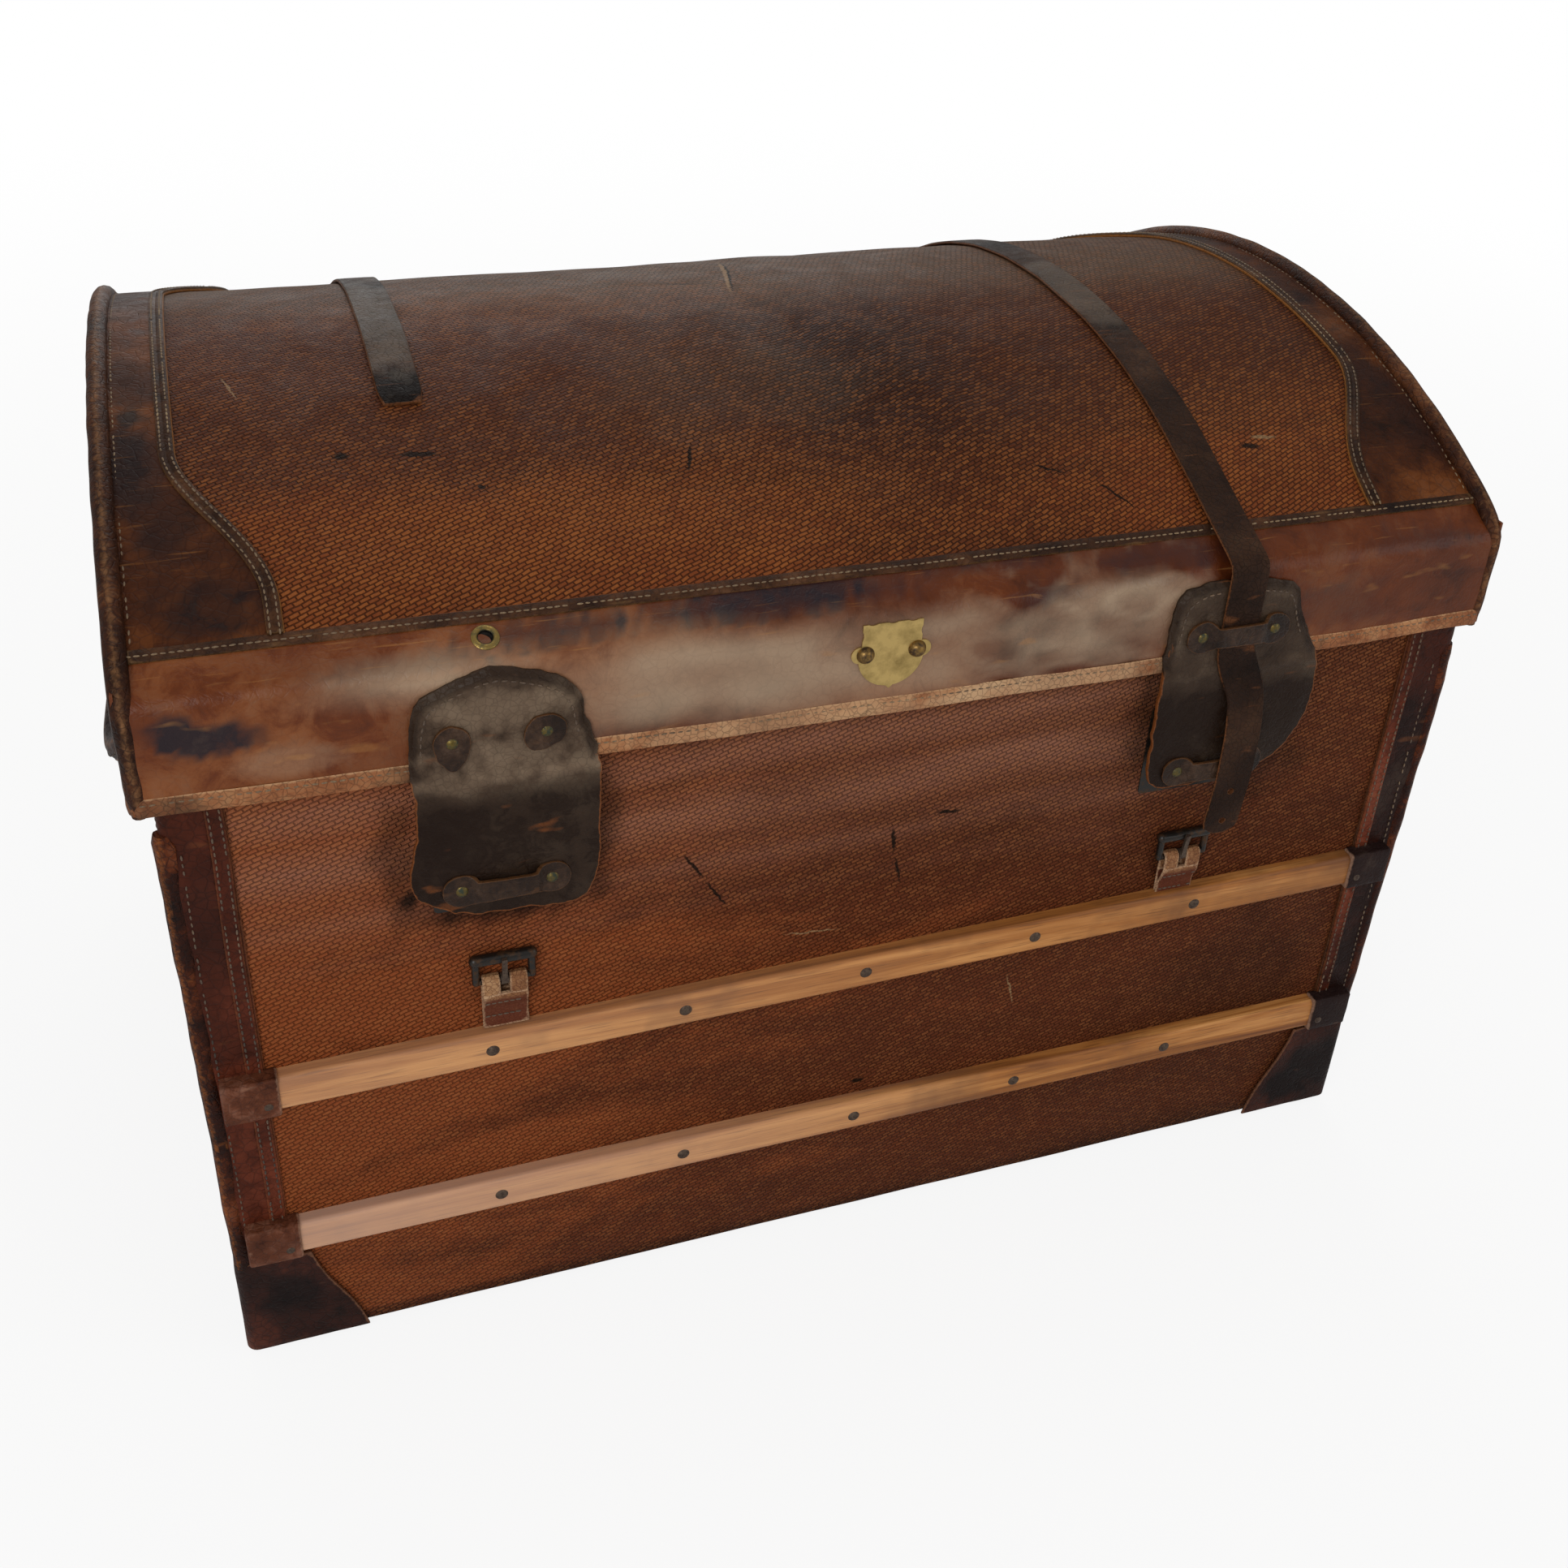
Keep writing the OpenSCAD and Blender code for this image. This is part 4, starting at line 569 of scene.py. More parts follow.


# Twill painted with oil colour in brushed coats: short raised diagonal threads, worn paler on top;
# painted light and shade come in with the tone, haze and grime laid per point
def paintedTwill(name, **changes):
    s = {**twillBase, **changes}
    m = newMaterial(name)
    spot = addNode(m, "TexCoord")
    here, flat = (spot, "Object"), (spot, "UV")
    wobble = addNode(m, "TexNoise", {"Scale": 55.0, "Detail": 2.0}, {"Vector": flat})
    wobbleMm = addNode(m, "VectorMath", {"operation": "MULTIPLY", 1: (0.0035, 0.0035, 0)},
                       {0: (wobble, "Color")})
    woven = addNode(m, "VectorMath", {"operation": "ADD"}, {0: flat, 1: wobbleMm})
    turned = addNode(m, "Mapping", {"Rotation": (0, 0, math.radians(-s["slant"]))}, {"Vector": woven})
    # floats of 6.6 mm in rows of 3 mm, drawn a little coarser than the real ones so that they show
    threads = addNode(m, "TexBrick", {"offset": 0.42, "Color1": (0.35, 0.35, 0.35, 1), "Color2": (1, 1, 1, 1),
                                      "Mortar": (0, 0, 0, 1), "Scale": 1.0, "Mortar Size": 0.0007,
                                      "Mortar Smooth": 1.0, "Brick Width": 0.0066, "Row Height": 0.003},
                      {"Vector": turned})
    fine = addNode(m, "TexNoise", {"Scale": 420.0, "Detail": 4.0, "Roughness": 0.6}, {"Vector": flat})
    medium = addNode(m, "TexNoise", {"Scale": 26.0, "Detail": 6.0, "Roughness": 0.68, "Distortion": 0.7},
                     {"Vector": here})
    # broad colour: the tone and painted shade laid per point, loosened by noise stretched along the trunk
    flow = addNode(m, "Mapping", {"Scale": (3.2, 9, 14)}, {"Vector": here})
    bands = addNode(m, "TexNoise", {"Scale": 1.0, "Detail": 5.0, "Roughness": 0.62, "Distortion": 1.2},
                    {"Vector": flow})
    tone = addNode(m, "Attribute", {"attribute_name": "tone"})
    loosened = addNode(m, "Math", {"operation": "MULTIPLY_ADD", 1: s["loose"]}, {0: bands, 2: (tone, "Fac")})
    ground = addNode(m, "Math", {"operation": "MULTIPLY_ADD", 1: 0.25}, {0: medium, 2: loosened})
    low = s["loose"] * 0.5 + 0.125
    painted = addNode(m, "ValToRGB", {}, {"Fac": ground})
    setRamp(painted, [(max(low - 0.12, 0), s["deep"]), (low + 0.18, s["dark"]), (low + 0.5, s["mid"]),
                      (min(low + 0.85, 1), s["bright"])])
    # haze laid per point: partly real haze on the paint, partly painted sheen and painted light
    haze = addNode(m, "Attribute", {"attribute_name": "haze"})
    hazeRough = addNode(m, "Math", {"operation": "MULTIPLY"}, {0: (haze, "Fac"), 1: bands})
    hazeMask = addNode(m, "MapRange", {"From Min": 0.05, "From Max": 0.6, "To Max": 0.85},
                       {"Value": hazeRough})
    hazed = addNode(m, "Mix", {**colourMix, 7: s["haze"]}, {0: hazeMask, 6: painted})
    # dark gaps between threads and pale rubbed thread tops, stronger where worn
    gaps = addNode(m, "Math", {"operation": "MULTIPLY", 1: s["gapDepth"]}, {0: (threads, "Fac")})
    gapped = addNode(m, "Mix", {**colourMix, 7: s["gap"]}, {0: gaps, 6: (hazed, 2)})
    tops = addNode(m, "Math", {"operation": "MULTIPLY"}, {0: (threads, "Color"), 1: fine})
    wear = addNode(m, "Attribute", {"attribute_name": "wear"})
    topWear = addNode(m, "Math", {"operation": "MULTIPLY_ADD", 1: 0.45}, {0: (wear, "Fac"), 2: tops})
    topMask = addNode(m, "MapRange", {"From Min": 0.26, "From Max": 0.66, "To Max": s["topWear"]},
                      {"Value": topWear})
    topped = addNode(m, "Mix", {**colourMix, 7: s["top"]}, {0: topMask, 6: (gapped, 2)})
    stained, _ = laidOver(m, (topped, 2), s["stain"], "grime", medium, (0.6, 0.55, 1.2, 0.92))
    scuffed = addNode(m, "Mix", {**colourMix, 7: s["bare"]}, {0: scarMask(m, here, s["scuffs"]), 6: stained})
    finish = addNode(m, "Mix", {**colourMix, 7: s["stain"]},
                     {0: scarMask(m, here, s["burns"]), 6: (scuffed, 2)})
    ridge = addNode(m, "Math", {"operation": "MULTIPLY_ADD", 1: -1.0}, {0: (threads, "Fac"), 2: fine})
    weaveBump = addNode(m, "Bump", {"Strength": s["bump"], "Distance": 0.0012}, {"Height": ridge})
    paintBump = addNode(m, "Bump", {"Strength": 0.35, "Distance": 0.002},
                        {"Height": medium, "Normal": weaveBump})
    gloss = addNode(m, "MapRange", {"From Min": 0.3, "From Max": 0.7, "To Min": s["gloss"],
                                    "To Max": s["dull"]}, {"Value": medium})
    cloth = addNode(m, "BsdfPrincipled", {"IOR": 1.48, "Specular IOR Level": s["spec"]},
                    {"Base Color": (finish, 2), "Roughness": gloss, "Normal": paintBump})
    addNode(m, "OutputMaterial", {}, {0: cloth})
    return m


twillBase = dict(slant=24, loose=0.5, deep="#240f05", dark="#3d1c0b", mid="#552a13", bright="#6c3619",
                 haze="#5e4938", gap="#170a04", gapDepth=0.64, top="#965a2a", topWear=0.48, stain="#110904",
                 bare="#86694a", bump=0.9, gloss=0.4, dull=0.6, spec=0.07)
domeUp, frontUp = (0, -0.3, 0.95), (0, -1, 0)
domeTwill = paintedTwill("paintedTwillDome", burns=[
    ((-322, -156, 625), (-311, -158, 625), domeUp, 9), ((-282, -160, 624), (-256, -162, 624), domeUp, 7),
    ((-238, -192, 614), (-234, -196, 613), domeUp, 5), ((288, -222, 602), (304, -226, 601), domeUp, 7),
    ((-98, -174, 620), (-105, -199, 612), domeUp, 3.5), ((127, -221, 603), (150, -232, 599), domeUp, 2.5),
    ((14, 138, 630), (-8, 30, 646), domeUp, 3.0), ((-60, 60, 643), (-30, 52, 644), domeUp, 3.0),
    ((168, -240, 595), (190, -262, 583), domeUp, 2.5)],
    scuffs=[((300, -216, 604), (320, -219, 603), domeUp, 5), ((11, 136, 631), (-11, 28, 647), domeUp, 5.0),
            ((-380, -60, 643), (-372, -90, 640), domeUp, 2.0)])
bodyTwill = paintedTwill("paintedTwillBody", burns=[
    ((-133, -299, 385), (-119, -299, 362), frontUp, 3.4),
    ((-118, -299, 360), (-102, -299, 335), frontUp, 2.6),
    ((15, -299, 379), (18, -299, 356), frontUp, 3.4), ((19, -299, 352), (24, -299, 328), frontUp, 2.4),
    ((0, -299, 143), (10, -299, 143), frontUp, 6), ((46, -299, 385), (66, -299, 383), frontUp, 4)],
    scuffs=[((-60, -299, 300), (-20, -299, 296), frontUp, 2),
            ((120, -299, 220), (128, -299, 190), frontUp, 2)],
    haze="#895c49", gapDepth=0.36, topWear=0.34, mid="#5b2c16", bright="#7e4020", dark="#43200e",
    deep="#291308", top="#9a6136", slant=22)


# Planed ash or beech slats, waxed and handled: long straight grain, pores, dirt in the pores
def waxedWood(name, **s):
    m = newMaterial(name)
    here = (addNode(m, "TexCoord"), "Object")
    stretch = addNode(m, "Mapping", {"Scale": (3.0, 70, 70)}, {"Vector": here})
    figure = addNode(m, "TexNoise", {"Scale": 1.0, "Detail": 5.0, "Roughness": 0.6, "Distortion": 0.8},
                     {"Vector": stretch})
    poreStretch = addNode(m, "Mapping", {"Scale": (28, 900, 900)}, {"Vector": here})
    pores = addNode(m, "TexNoise", {"Scale": 1.0, "Detail": 3.0}, {"Vector": poreStretch})
    handled = addNode(m, "TexNoise", {"Scale": 9.0, "Detail": 4.0, "Roughness": 0.7}, {"Vector": here})
    grain = addNode(m, "ValToRGB", {}, {"Fac": figure})
    setRamp(grain, [(0.3, s["dark"]), (0.48, s["mid"]), (0.68, s["light"])])
    poreMask = addNode(m, "MapRange", {"From Min": 0.54, "From Max": 0.68, "To Max": 0.5}, {"Value": pores})
    pored = addNode(m, "Mix", {**colourMix, 7: s["pore"]}, {0: poreMask, 6: grain})
    dirtMask = addNode(m, "MapRange", {"From Min": 0.5, "From Max": 0.72, "To Max": 0.65}, {"Value": handled})
    finish = addNode(m, "Mix", {**colourMix, 7: s["dirt"]}, {0: dirtMask, 6: (pored, 2)})
    # paler towards the left and on the lower batten: partly bleached wood, partly a painted highlight
    place = addNode(m, "SeparateXYZ", {}, {0: here})
    leftward = addNode(m, "MapRange", {"From Min": 0.12, "From Max": -0.36}, {"Value": (place, "X")})
    down = addNode(m, "MapRange", {"From Min": 0.25, "From Max": 0.13, "To Min": 0.35},
                   {"Value": (place, "Z")})
    faded = addNode(m, "Math", {"operation": "MULTIPLY"}, {0: leftward, 1: down})
    fadedPart = addNode(m, "Math", {"operation": "MULTIPLY", 1: s["fade"]}, {0: faded})
    bleached = addNode(m, "Mix", {**colourMix, 7: s["bleach"]}, {0: fadedPart, 6: (finish, 2)})
    bump = addNode(m, "Bump", {"Strength": 0.3, "Distance": 0.0004}, {"Height": pores})
    wood = addNode(m, "BsdfPrincipled", {"Roughness": 0.48, "IOR": 1.5, "Specular IOR Level": 0.25},
                   {"Base Color": (bleached, 2), "Normal": bump})
    addNode(m, "OutputMaterial", {}, {0: wood})
    return m


battenWood = waxedWood("waxedBattenWood", dark="#6c3e1e", mid="#9c632f", light="#c48b50",
    pore="#4c2c16", dirt="#5e3a20", bleach="#c09c88", fade=0.6)
slatWood = waxedWood("roughSlatWood", dark="#6f4a2c", mid="#8d6440", light="#a67c54",
    pore="#4a3020", dirt="#5a4430", bleach="#8d6440", fade=0.0)


# Metal with a worn film: colours of the bare metal and the film, which noise between low and high breaks
def wornMetal(name, **s):
    m = newMaterial(name)
    here = (addNode(m, "TexCoord"), "Object")
    cloud = addNode(m, "TexNoise", {"Scale": s["scale"], "Detail": 6.0, "Roughness": 0.65}, {"Vector": here})
    film = addNode(m, "MapRange", {"From Min": s["low"], "From Max": s["high"]}, {"Value": cloud})
    pits = addNode(m, "TexNoise", {"Scale": 900.0, "Detail": 3.0}, {"Vector": here})
    colour = addNode(m, "Mix", {**colourMix, 6: s["bare"], 7: s["film"]}, {0: film})
    shineLess = addNode(m, "MapRange", {"To Min": s["roughBare"], "To Max": s["roughFilm"]}, {"Value": film})
    metalness = addNode(m, "MapRange", {"To Min": s["metalBare"], "To Max": s["metalFilm"]}, {"Value": film})
    bump = addNode(m, "Bump", {"Strength": s["bump"], "Distance": 0.0004}, {"Height": pits})
    # near-black where the hole is laid: painted shade standing for the eyelet's open hole
    hole = addNode(m, "Attribute", {"attribute_name": "hole"})
    finish = addNode(m, "Mix", {**colourMix, 7: (0.004, 0.003, 0.002, 1)}, {0: (hole, "Fac"), 6: (colour, 2)})
    metal = addNode(m, "BsdfPrincipled", {"Specular IOR Level": 0.3},
                    {"Base Color": (finish, 2), "Roughness": shineLess, "Metallic": metalness,
                     "Normal": bump})
    addNode(m, "OutputMaterial", {}, {0: metal})
    return m


# Japanned iron: baked black varnish, worn brown where it rubs
blackIron = wornMetal("japannedIron", bare="#45301f", film="#16120f", scale=160.0, roughBare=0.5,
    roughFilm=0.3, metalBare=0.6, metalFilm=0.0, bump=0.15, low=0.36, high=0.5)
nailIron = wornMetal("rustedNailIron", bare="#5a4c40", film="#2f2019", scale=420.0, roughBare=0.42,
    roughFilm=0.7, metalBare=0.8, metalFilm=0.1, bump=0.5, low=0.4, high=0.62)
# Rolled brass sheet, tarnished and thinly lacquered
agedBrass = wornMetal("tarnishedBrass", bare="#c0a468", film="#7d6838", scale=70.0, roughBare=0.3,
    roughFilm=0.5, metalBare=0.95, metalFilm=0.6, bump=0.15, low=0.42, high=0.75)
darkBrass = wornMetal("darkenedBrassStuds", bare="#8a6c3c", film="#3c2c1c", scale=260.0, roughBare=0.3,
    roughFilm=0.5, metalBare=0.95, metalFilm=0.5, bump=0.3, low=0.38, high=0.6)
eyeletBrass = wornMetal("eyeletBrass", bare="#8c7440", film="#4a4426", scale=300.0, roughBare=0.32,
    roughFilm=0.6, metalBare=0.9, metalFilm=0.3, bump=0.3, low=0.4, high=0.65)
greenBrass = wornMetal("verdigrisRivetBrass", bare="#62532c", film="#262e22", scale=330.0, roughBare=0.35,
    roughFilm=0.7, metalBare=0.9, metalFilm=0.1, bump=0.4, low=0.42, high=0.6)


# Woven or plaited stuff: a wave each way makes the over and under, pitch in mm
def wovenStuff(name, **s):
    m = newMaterial(name)
    spot = addNode(m, "TexCoord")
    pitch = 1000 / s["pitch"] / 2
    warp = addNode(m, "TexWave", {"bands_direction": "X", "Scale": pitch * 0.318, "Distortion": 1.2,
                                  "Detail": 2.0, "Detail Scale": 2.0}, {"Vector": (spot, s["on"])})
    weft = addNode(m, "TexWave", {"bands_direction": s["across"], "Scale": pitch * 0.318, "Distortion": 1.2,
                                  "Detail": 2.0, "Detail Scale": 2.0}, {"Vector": (spot, s["on"])})
    over = addNode(m, "Math", {"operation": "ADD"}, {0: (warp, "Fac"), 1: (weft, "Fac")})
    cloud = addNode(m, "TexNoise", {"Scale": 12.0, "Detail": 5.0, "Roughness": 0.65},
                    {"Vector": (spot, "Object")})
    ground = addNode(m, "ValToRGB", {}, {"Fac": cloud})
    setRamp(ground, [(0.32, s["dark"]), (0.5, s["mid"]), (0.7, s["light"])])
    shade = addNode(m, "MapRange", {"From Min": 0.2, "From Max": 1.2, "To Min": s["depth"], "To Max": 0.0},
                    {"Value": over})
    woven = addNode(m, "Mix", {**colourMix, 7: s["gap"]}, {0: shade, 6: ground})
    # damp and rust tide marks and other darkening laid per point, broken by the cloud
    grime = addNode(m, "Attribute", {"attribute_name": "grime"})
    tide = addNode(m, "Math", {"operation": "MULTIPLY"}, {0: (grime, "Fac"), 1: cloud})
    tideMask = addNode(m, "MapRange", {"From Min": 0.12, "From Max": 0.6, "To Max": 0.75}, {"Value": tide})
    finish = addNode(m, "Mix", {**colourMix, 7: s["stain"]}, {0: tideMask, 6: (woven, 2)})
    weave = addNode(m, "Bump", {"Strength": s["bump"], "Distance": s["pitch"] * 0.0003}, {"Height": over})
    bump = addNode(m, "Bump", {"Strength": s["creases"], "Distance": 0.004},
                   {"Height": cloud, "Normal": weave})
    stuff = addNode(m, "BsdfPrincipled", {"Roughness": s["rough"], "IOR": 1.45, "Sheen Weight": s["sheen"]},
                    {"Base Color": (finish, 2), "Normal": bump})
    addNode(m, "OutputMaterial", {}, {0: stuff})
    return m


liningLinen = wovenStuff("pastedLiningLinen", pitch=1.8, on="UV", across="Y", dark="#ab9b7c", mid="#bcac8d",
    light="#cabb9d", gap="#84755a", stain="#6b5236", depth=0.45, bump=0.5, creases=0.5, rough=0.85,
    sheen=0.15)
plaitedWicker = wovenStuff("plaitedWickerCane", pitch=9.0, on="Object", across="Z", dark="#7d5a33",
    mid="#a47e4c", light="#bf9a64", gap="#3d2a18", stain="#3d2a18", depth=0.8, bump=1.0, creases=0.0,
    rough=0.55, sheen=0.0)
waxedThread = wovenStuff("waxedLinenThread", pitch=1.2, on="Object", across="Z", dark="#4c3b2a",
    mid="#6f5940", light="#927a58", gap="#332519", stain="#332519", depth=0.4, bump=0.4,
    creases=0.0, rough=0.7, sheen=0.1)
darkThread = wovenStuff("grimedLinenThread", pitch=1.2, on="Object", across="Z", dark="#2e2219",
    mid="#574433", light="#7a6248", gap="#1d150f", stain="#1d150f", depth=0.4, bump=0.4,
    creases=0.0, rough=0.7, sheen=0.1)

# The CAD nodes that stay get their finish
cadFinish = {"wicker": plaitedWicker, "batten_wood": battenWood, "black_iron": blackIron,
             "nail_iron": nailIron, "aged_brass": agedBrass, "linen_lining": liningLinen,
             "painted_canvas": bodyTwill, "brown_leather": cornerLeather, "dark_leather": strapLeather}
ownFinish = {"bottom_slats": slatWood, "shield_studs": darkBrass, "flap_rivets": greenBrass,
             "left_flap_rivets": greenBrass, "right_flap_rivets": greenBrass}
for nodeName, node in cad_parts.items():
    for place in node.material_slots:
        slotName = (place.material.name if place.material else "").split(".")[0]
        place.material = ownFinish.get(nodeName) or cadFinish.get(slotName) or blackIron
print("materials ready")

archZ, domeR, skirtR = 68.764, 578.236, 578.736  # middle and radii of the lid's arch, mm


# Humps and hollows of the old dome: out to 4 mm, with the dent that runs forward from the crown's crack
def domeRelief(x, y):
    inside = smooth(450, 370, abs(x)) * smooth(284, 235, abs(y))
    hump = 0.6 + 1.5 * smooth(-150, 60, x) + 1.2 * ripple(x, y, 0, 150, 3) + 0.8 * ripple(x, y, 0, 58, 5)
    dentX = 6 + 10 * smooth(0, -200, y)
    dent = 3.4 * math.exp(-((x - dentX) / 26) ** 2) * smooth(90, 20, y) * smooth(-250, -150, y)
    fold = 1.6 * math.exp(-((x - 74 + 0.25 * (y + 90)) / 14) ** 2)
    fold = fold * smooth(-20, -80, y) * smooth(-240, -180, y)
    crackDip = 1.5 * math.exp(-((x - 2 - 0.1 * y) / 5) ** 2) * smooth(150, 120, y) * smooth(0, 30, y)
    return max(inside * (hump - dent + fold - crackDip), -0.9)


def archSpot(x, y, off=0.0):
    r = domeR + off
    return Vector((x, y, archZ + math.sqrt(r * r - y * y)))


def archUp(p):
    return Vector((0, p.y, p.z - archZ)).normalized()


# Canvas over the dome and the ends of the lid
lidCanvas = dict(halfLength=451, halfDepth=281.5, cell=7.5, wall=1.3, endX=458.5, endLow=563, endHalf=300,
                 endTone=0.45)


def makeLidCanvas(s=lidCanvas):
    halfArc = math.asin(s["halfDepth"] / domeR)
    columns = round(2 * s["halfLength"] / s["cell"])
    rows = round(2 * halfArc * domeR / s["cell"])

    def onDome(u, w):
        x, a = (u - 0.5) * 2 * s["halfLength"], (w - 0.5) * 2 * halfArc
        r = domeR + domeRelief(x, domeR * math.sin(a))
        return x, r * math.sin(a), archZ + r * math.cos(a), x, domeR * a, noEdge
    parts = [sheetOf("lidCanvas", columns, rows, onDome)]
    for side in (-1, 1):
        def onEnd(u, w):
            y = side * (u - 0.5) * 2 * s["endHalf"]
            z = s["endLow"] + w * (archSpot(0, y, -0.5).z - s["endLow"])
            return side * (s["endX"] + 0.5 * ripple(side, y, z, 70)), y, z, side * y, z, noEdge
        parts.append(sheetOf("lidEndCanvas", 60, 10, onEnd))
    piece = joinPieces([giveWall(p, s["wall"]) for p in parts], "lidCanvasSkin")

    # lighter on the lower front slope and towards both ends; darker along the dent, painted shade of the dent
    def tone(p):
        if abs(p.x) > s["halfLength"] + 4:
            return s["endTone"]
        low = 0.27 * smooth(-120, -250, p.y)
        left = 0.16 * smooth(60, -160, p.x + 0.4 * (p.y + 150))
        right = 0.14 * smooth(80, 260, p.x)
        dent = 0.18 * smooth(110, 20, abs(p.x - 40)) * smooth(60, -60, p.y) * smooth(-262, -180, p.y)
        return 0.22 + low + left + right - dent

    # painted sheen: a pale grey haze over the crown and the back slope and in a strip down the middle stands
    # in for light from above, partly a real haze on the paint
    def haze(p):
        crown = smooth(-40, 70, p.y + 0.10 * p.x) * 0.95
        return crown + 0.25 * smooth(120, 20, abs(p.x + 60)) * smooth(-150, -60, p.y) + 0.05
    paintSpots(piece, "tone", [], tone)
    paintSpots(piece, "haze", [(-55, -122, 634, 130, 60, 60, 0.35)], haze)
    paintSpots(piece, "wear", [(-240, -235, 596, 130, 60, 60, 0.25), (-80, -225, 600, 120, 70, 60, 0.2),
                               (320, -200, 615, 120, 60, 60, 0.2), (-168, 30, 646, 200, 60, 40, 0.3)],
               lambda p: 0.02 + 0.16 * smooth(-100, -230, p.y))
    # two darker patches along the dent that runs forward from the crown
    paintSpots(piece, "grime", [(40, -80, 640, 50, 45, 40, 0.16), (24, -168, 622, 26, 55, 40, 0.14)], 0.08)
    return finishPiece(piece, "lid", domeTwill, ["lid_canvas"])


makeLidCanvas()

# Leather skirt round the lid: upright, bent over at the top and sewn to the canvas
skirt = dict(halfLength=457.5, frontY=312, endX=459, low=484.8, bendZ=548.5, bendR=14, seamY=278.5, cell=5,
             wall=1.8, endHigh=566, endHalf=309, shade=0.1)


def lidLowEdge(x, y):
    return 2.4 * smooth(320, 440, abs(x)) * smooth(200, 300, abs(y)) + 0.7 * ripple(x, y, 0, 85, 9)


def skirtProfile(s=skirt):
    spots = [(s["frontY"], s["low"] + (s["bendZ"] - s["low"]) * i / 14, 1.0, 0.0) for i in range(15)]
    centreY = s["frontY"] - s["bendR"]
    top = math.atan2(s["bendZ"] - archZ, centreY)
    for i in range(1, 7):
        a = top * i / 6
        outY, outZ = math.cos(a), math.sin(a)
        spots.append((centreY + s["bendR"] * outY, s["bendZ"] + s["bendR"] * outZ, outY, outZ))
    last = spots[-1][0]
    for i in range(1, 4):
        y = last + (s["seamY"] - last) * i / 3
        z = archZ + math.sqrt(skirtR ** 2 - y * y)
        spots.append((y, z, y / skirtR, (z - archZ) / skirtR))
    return spots


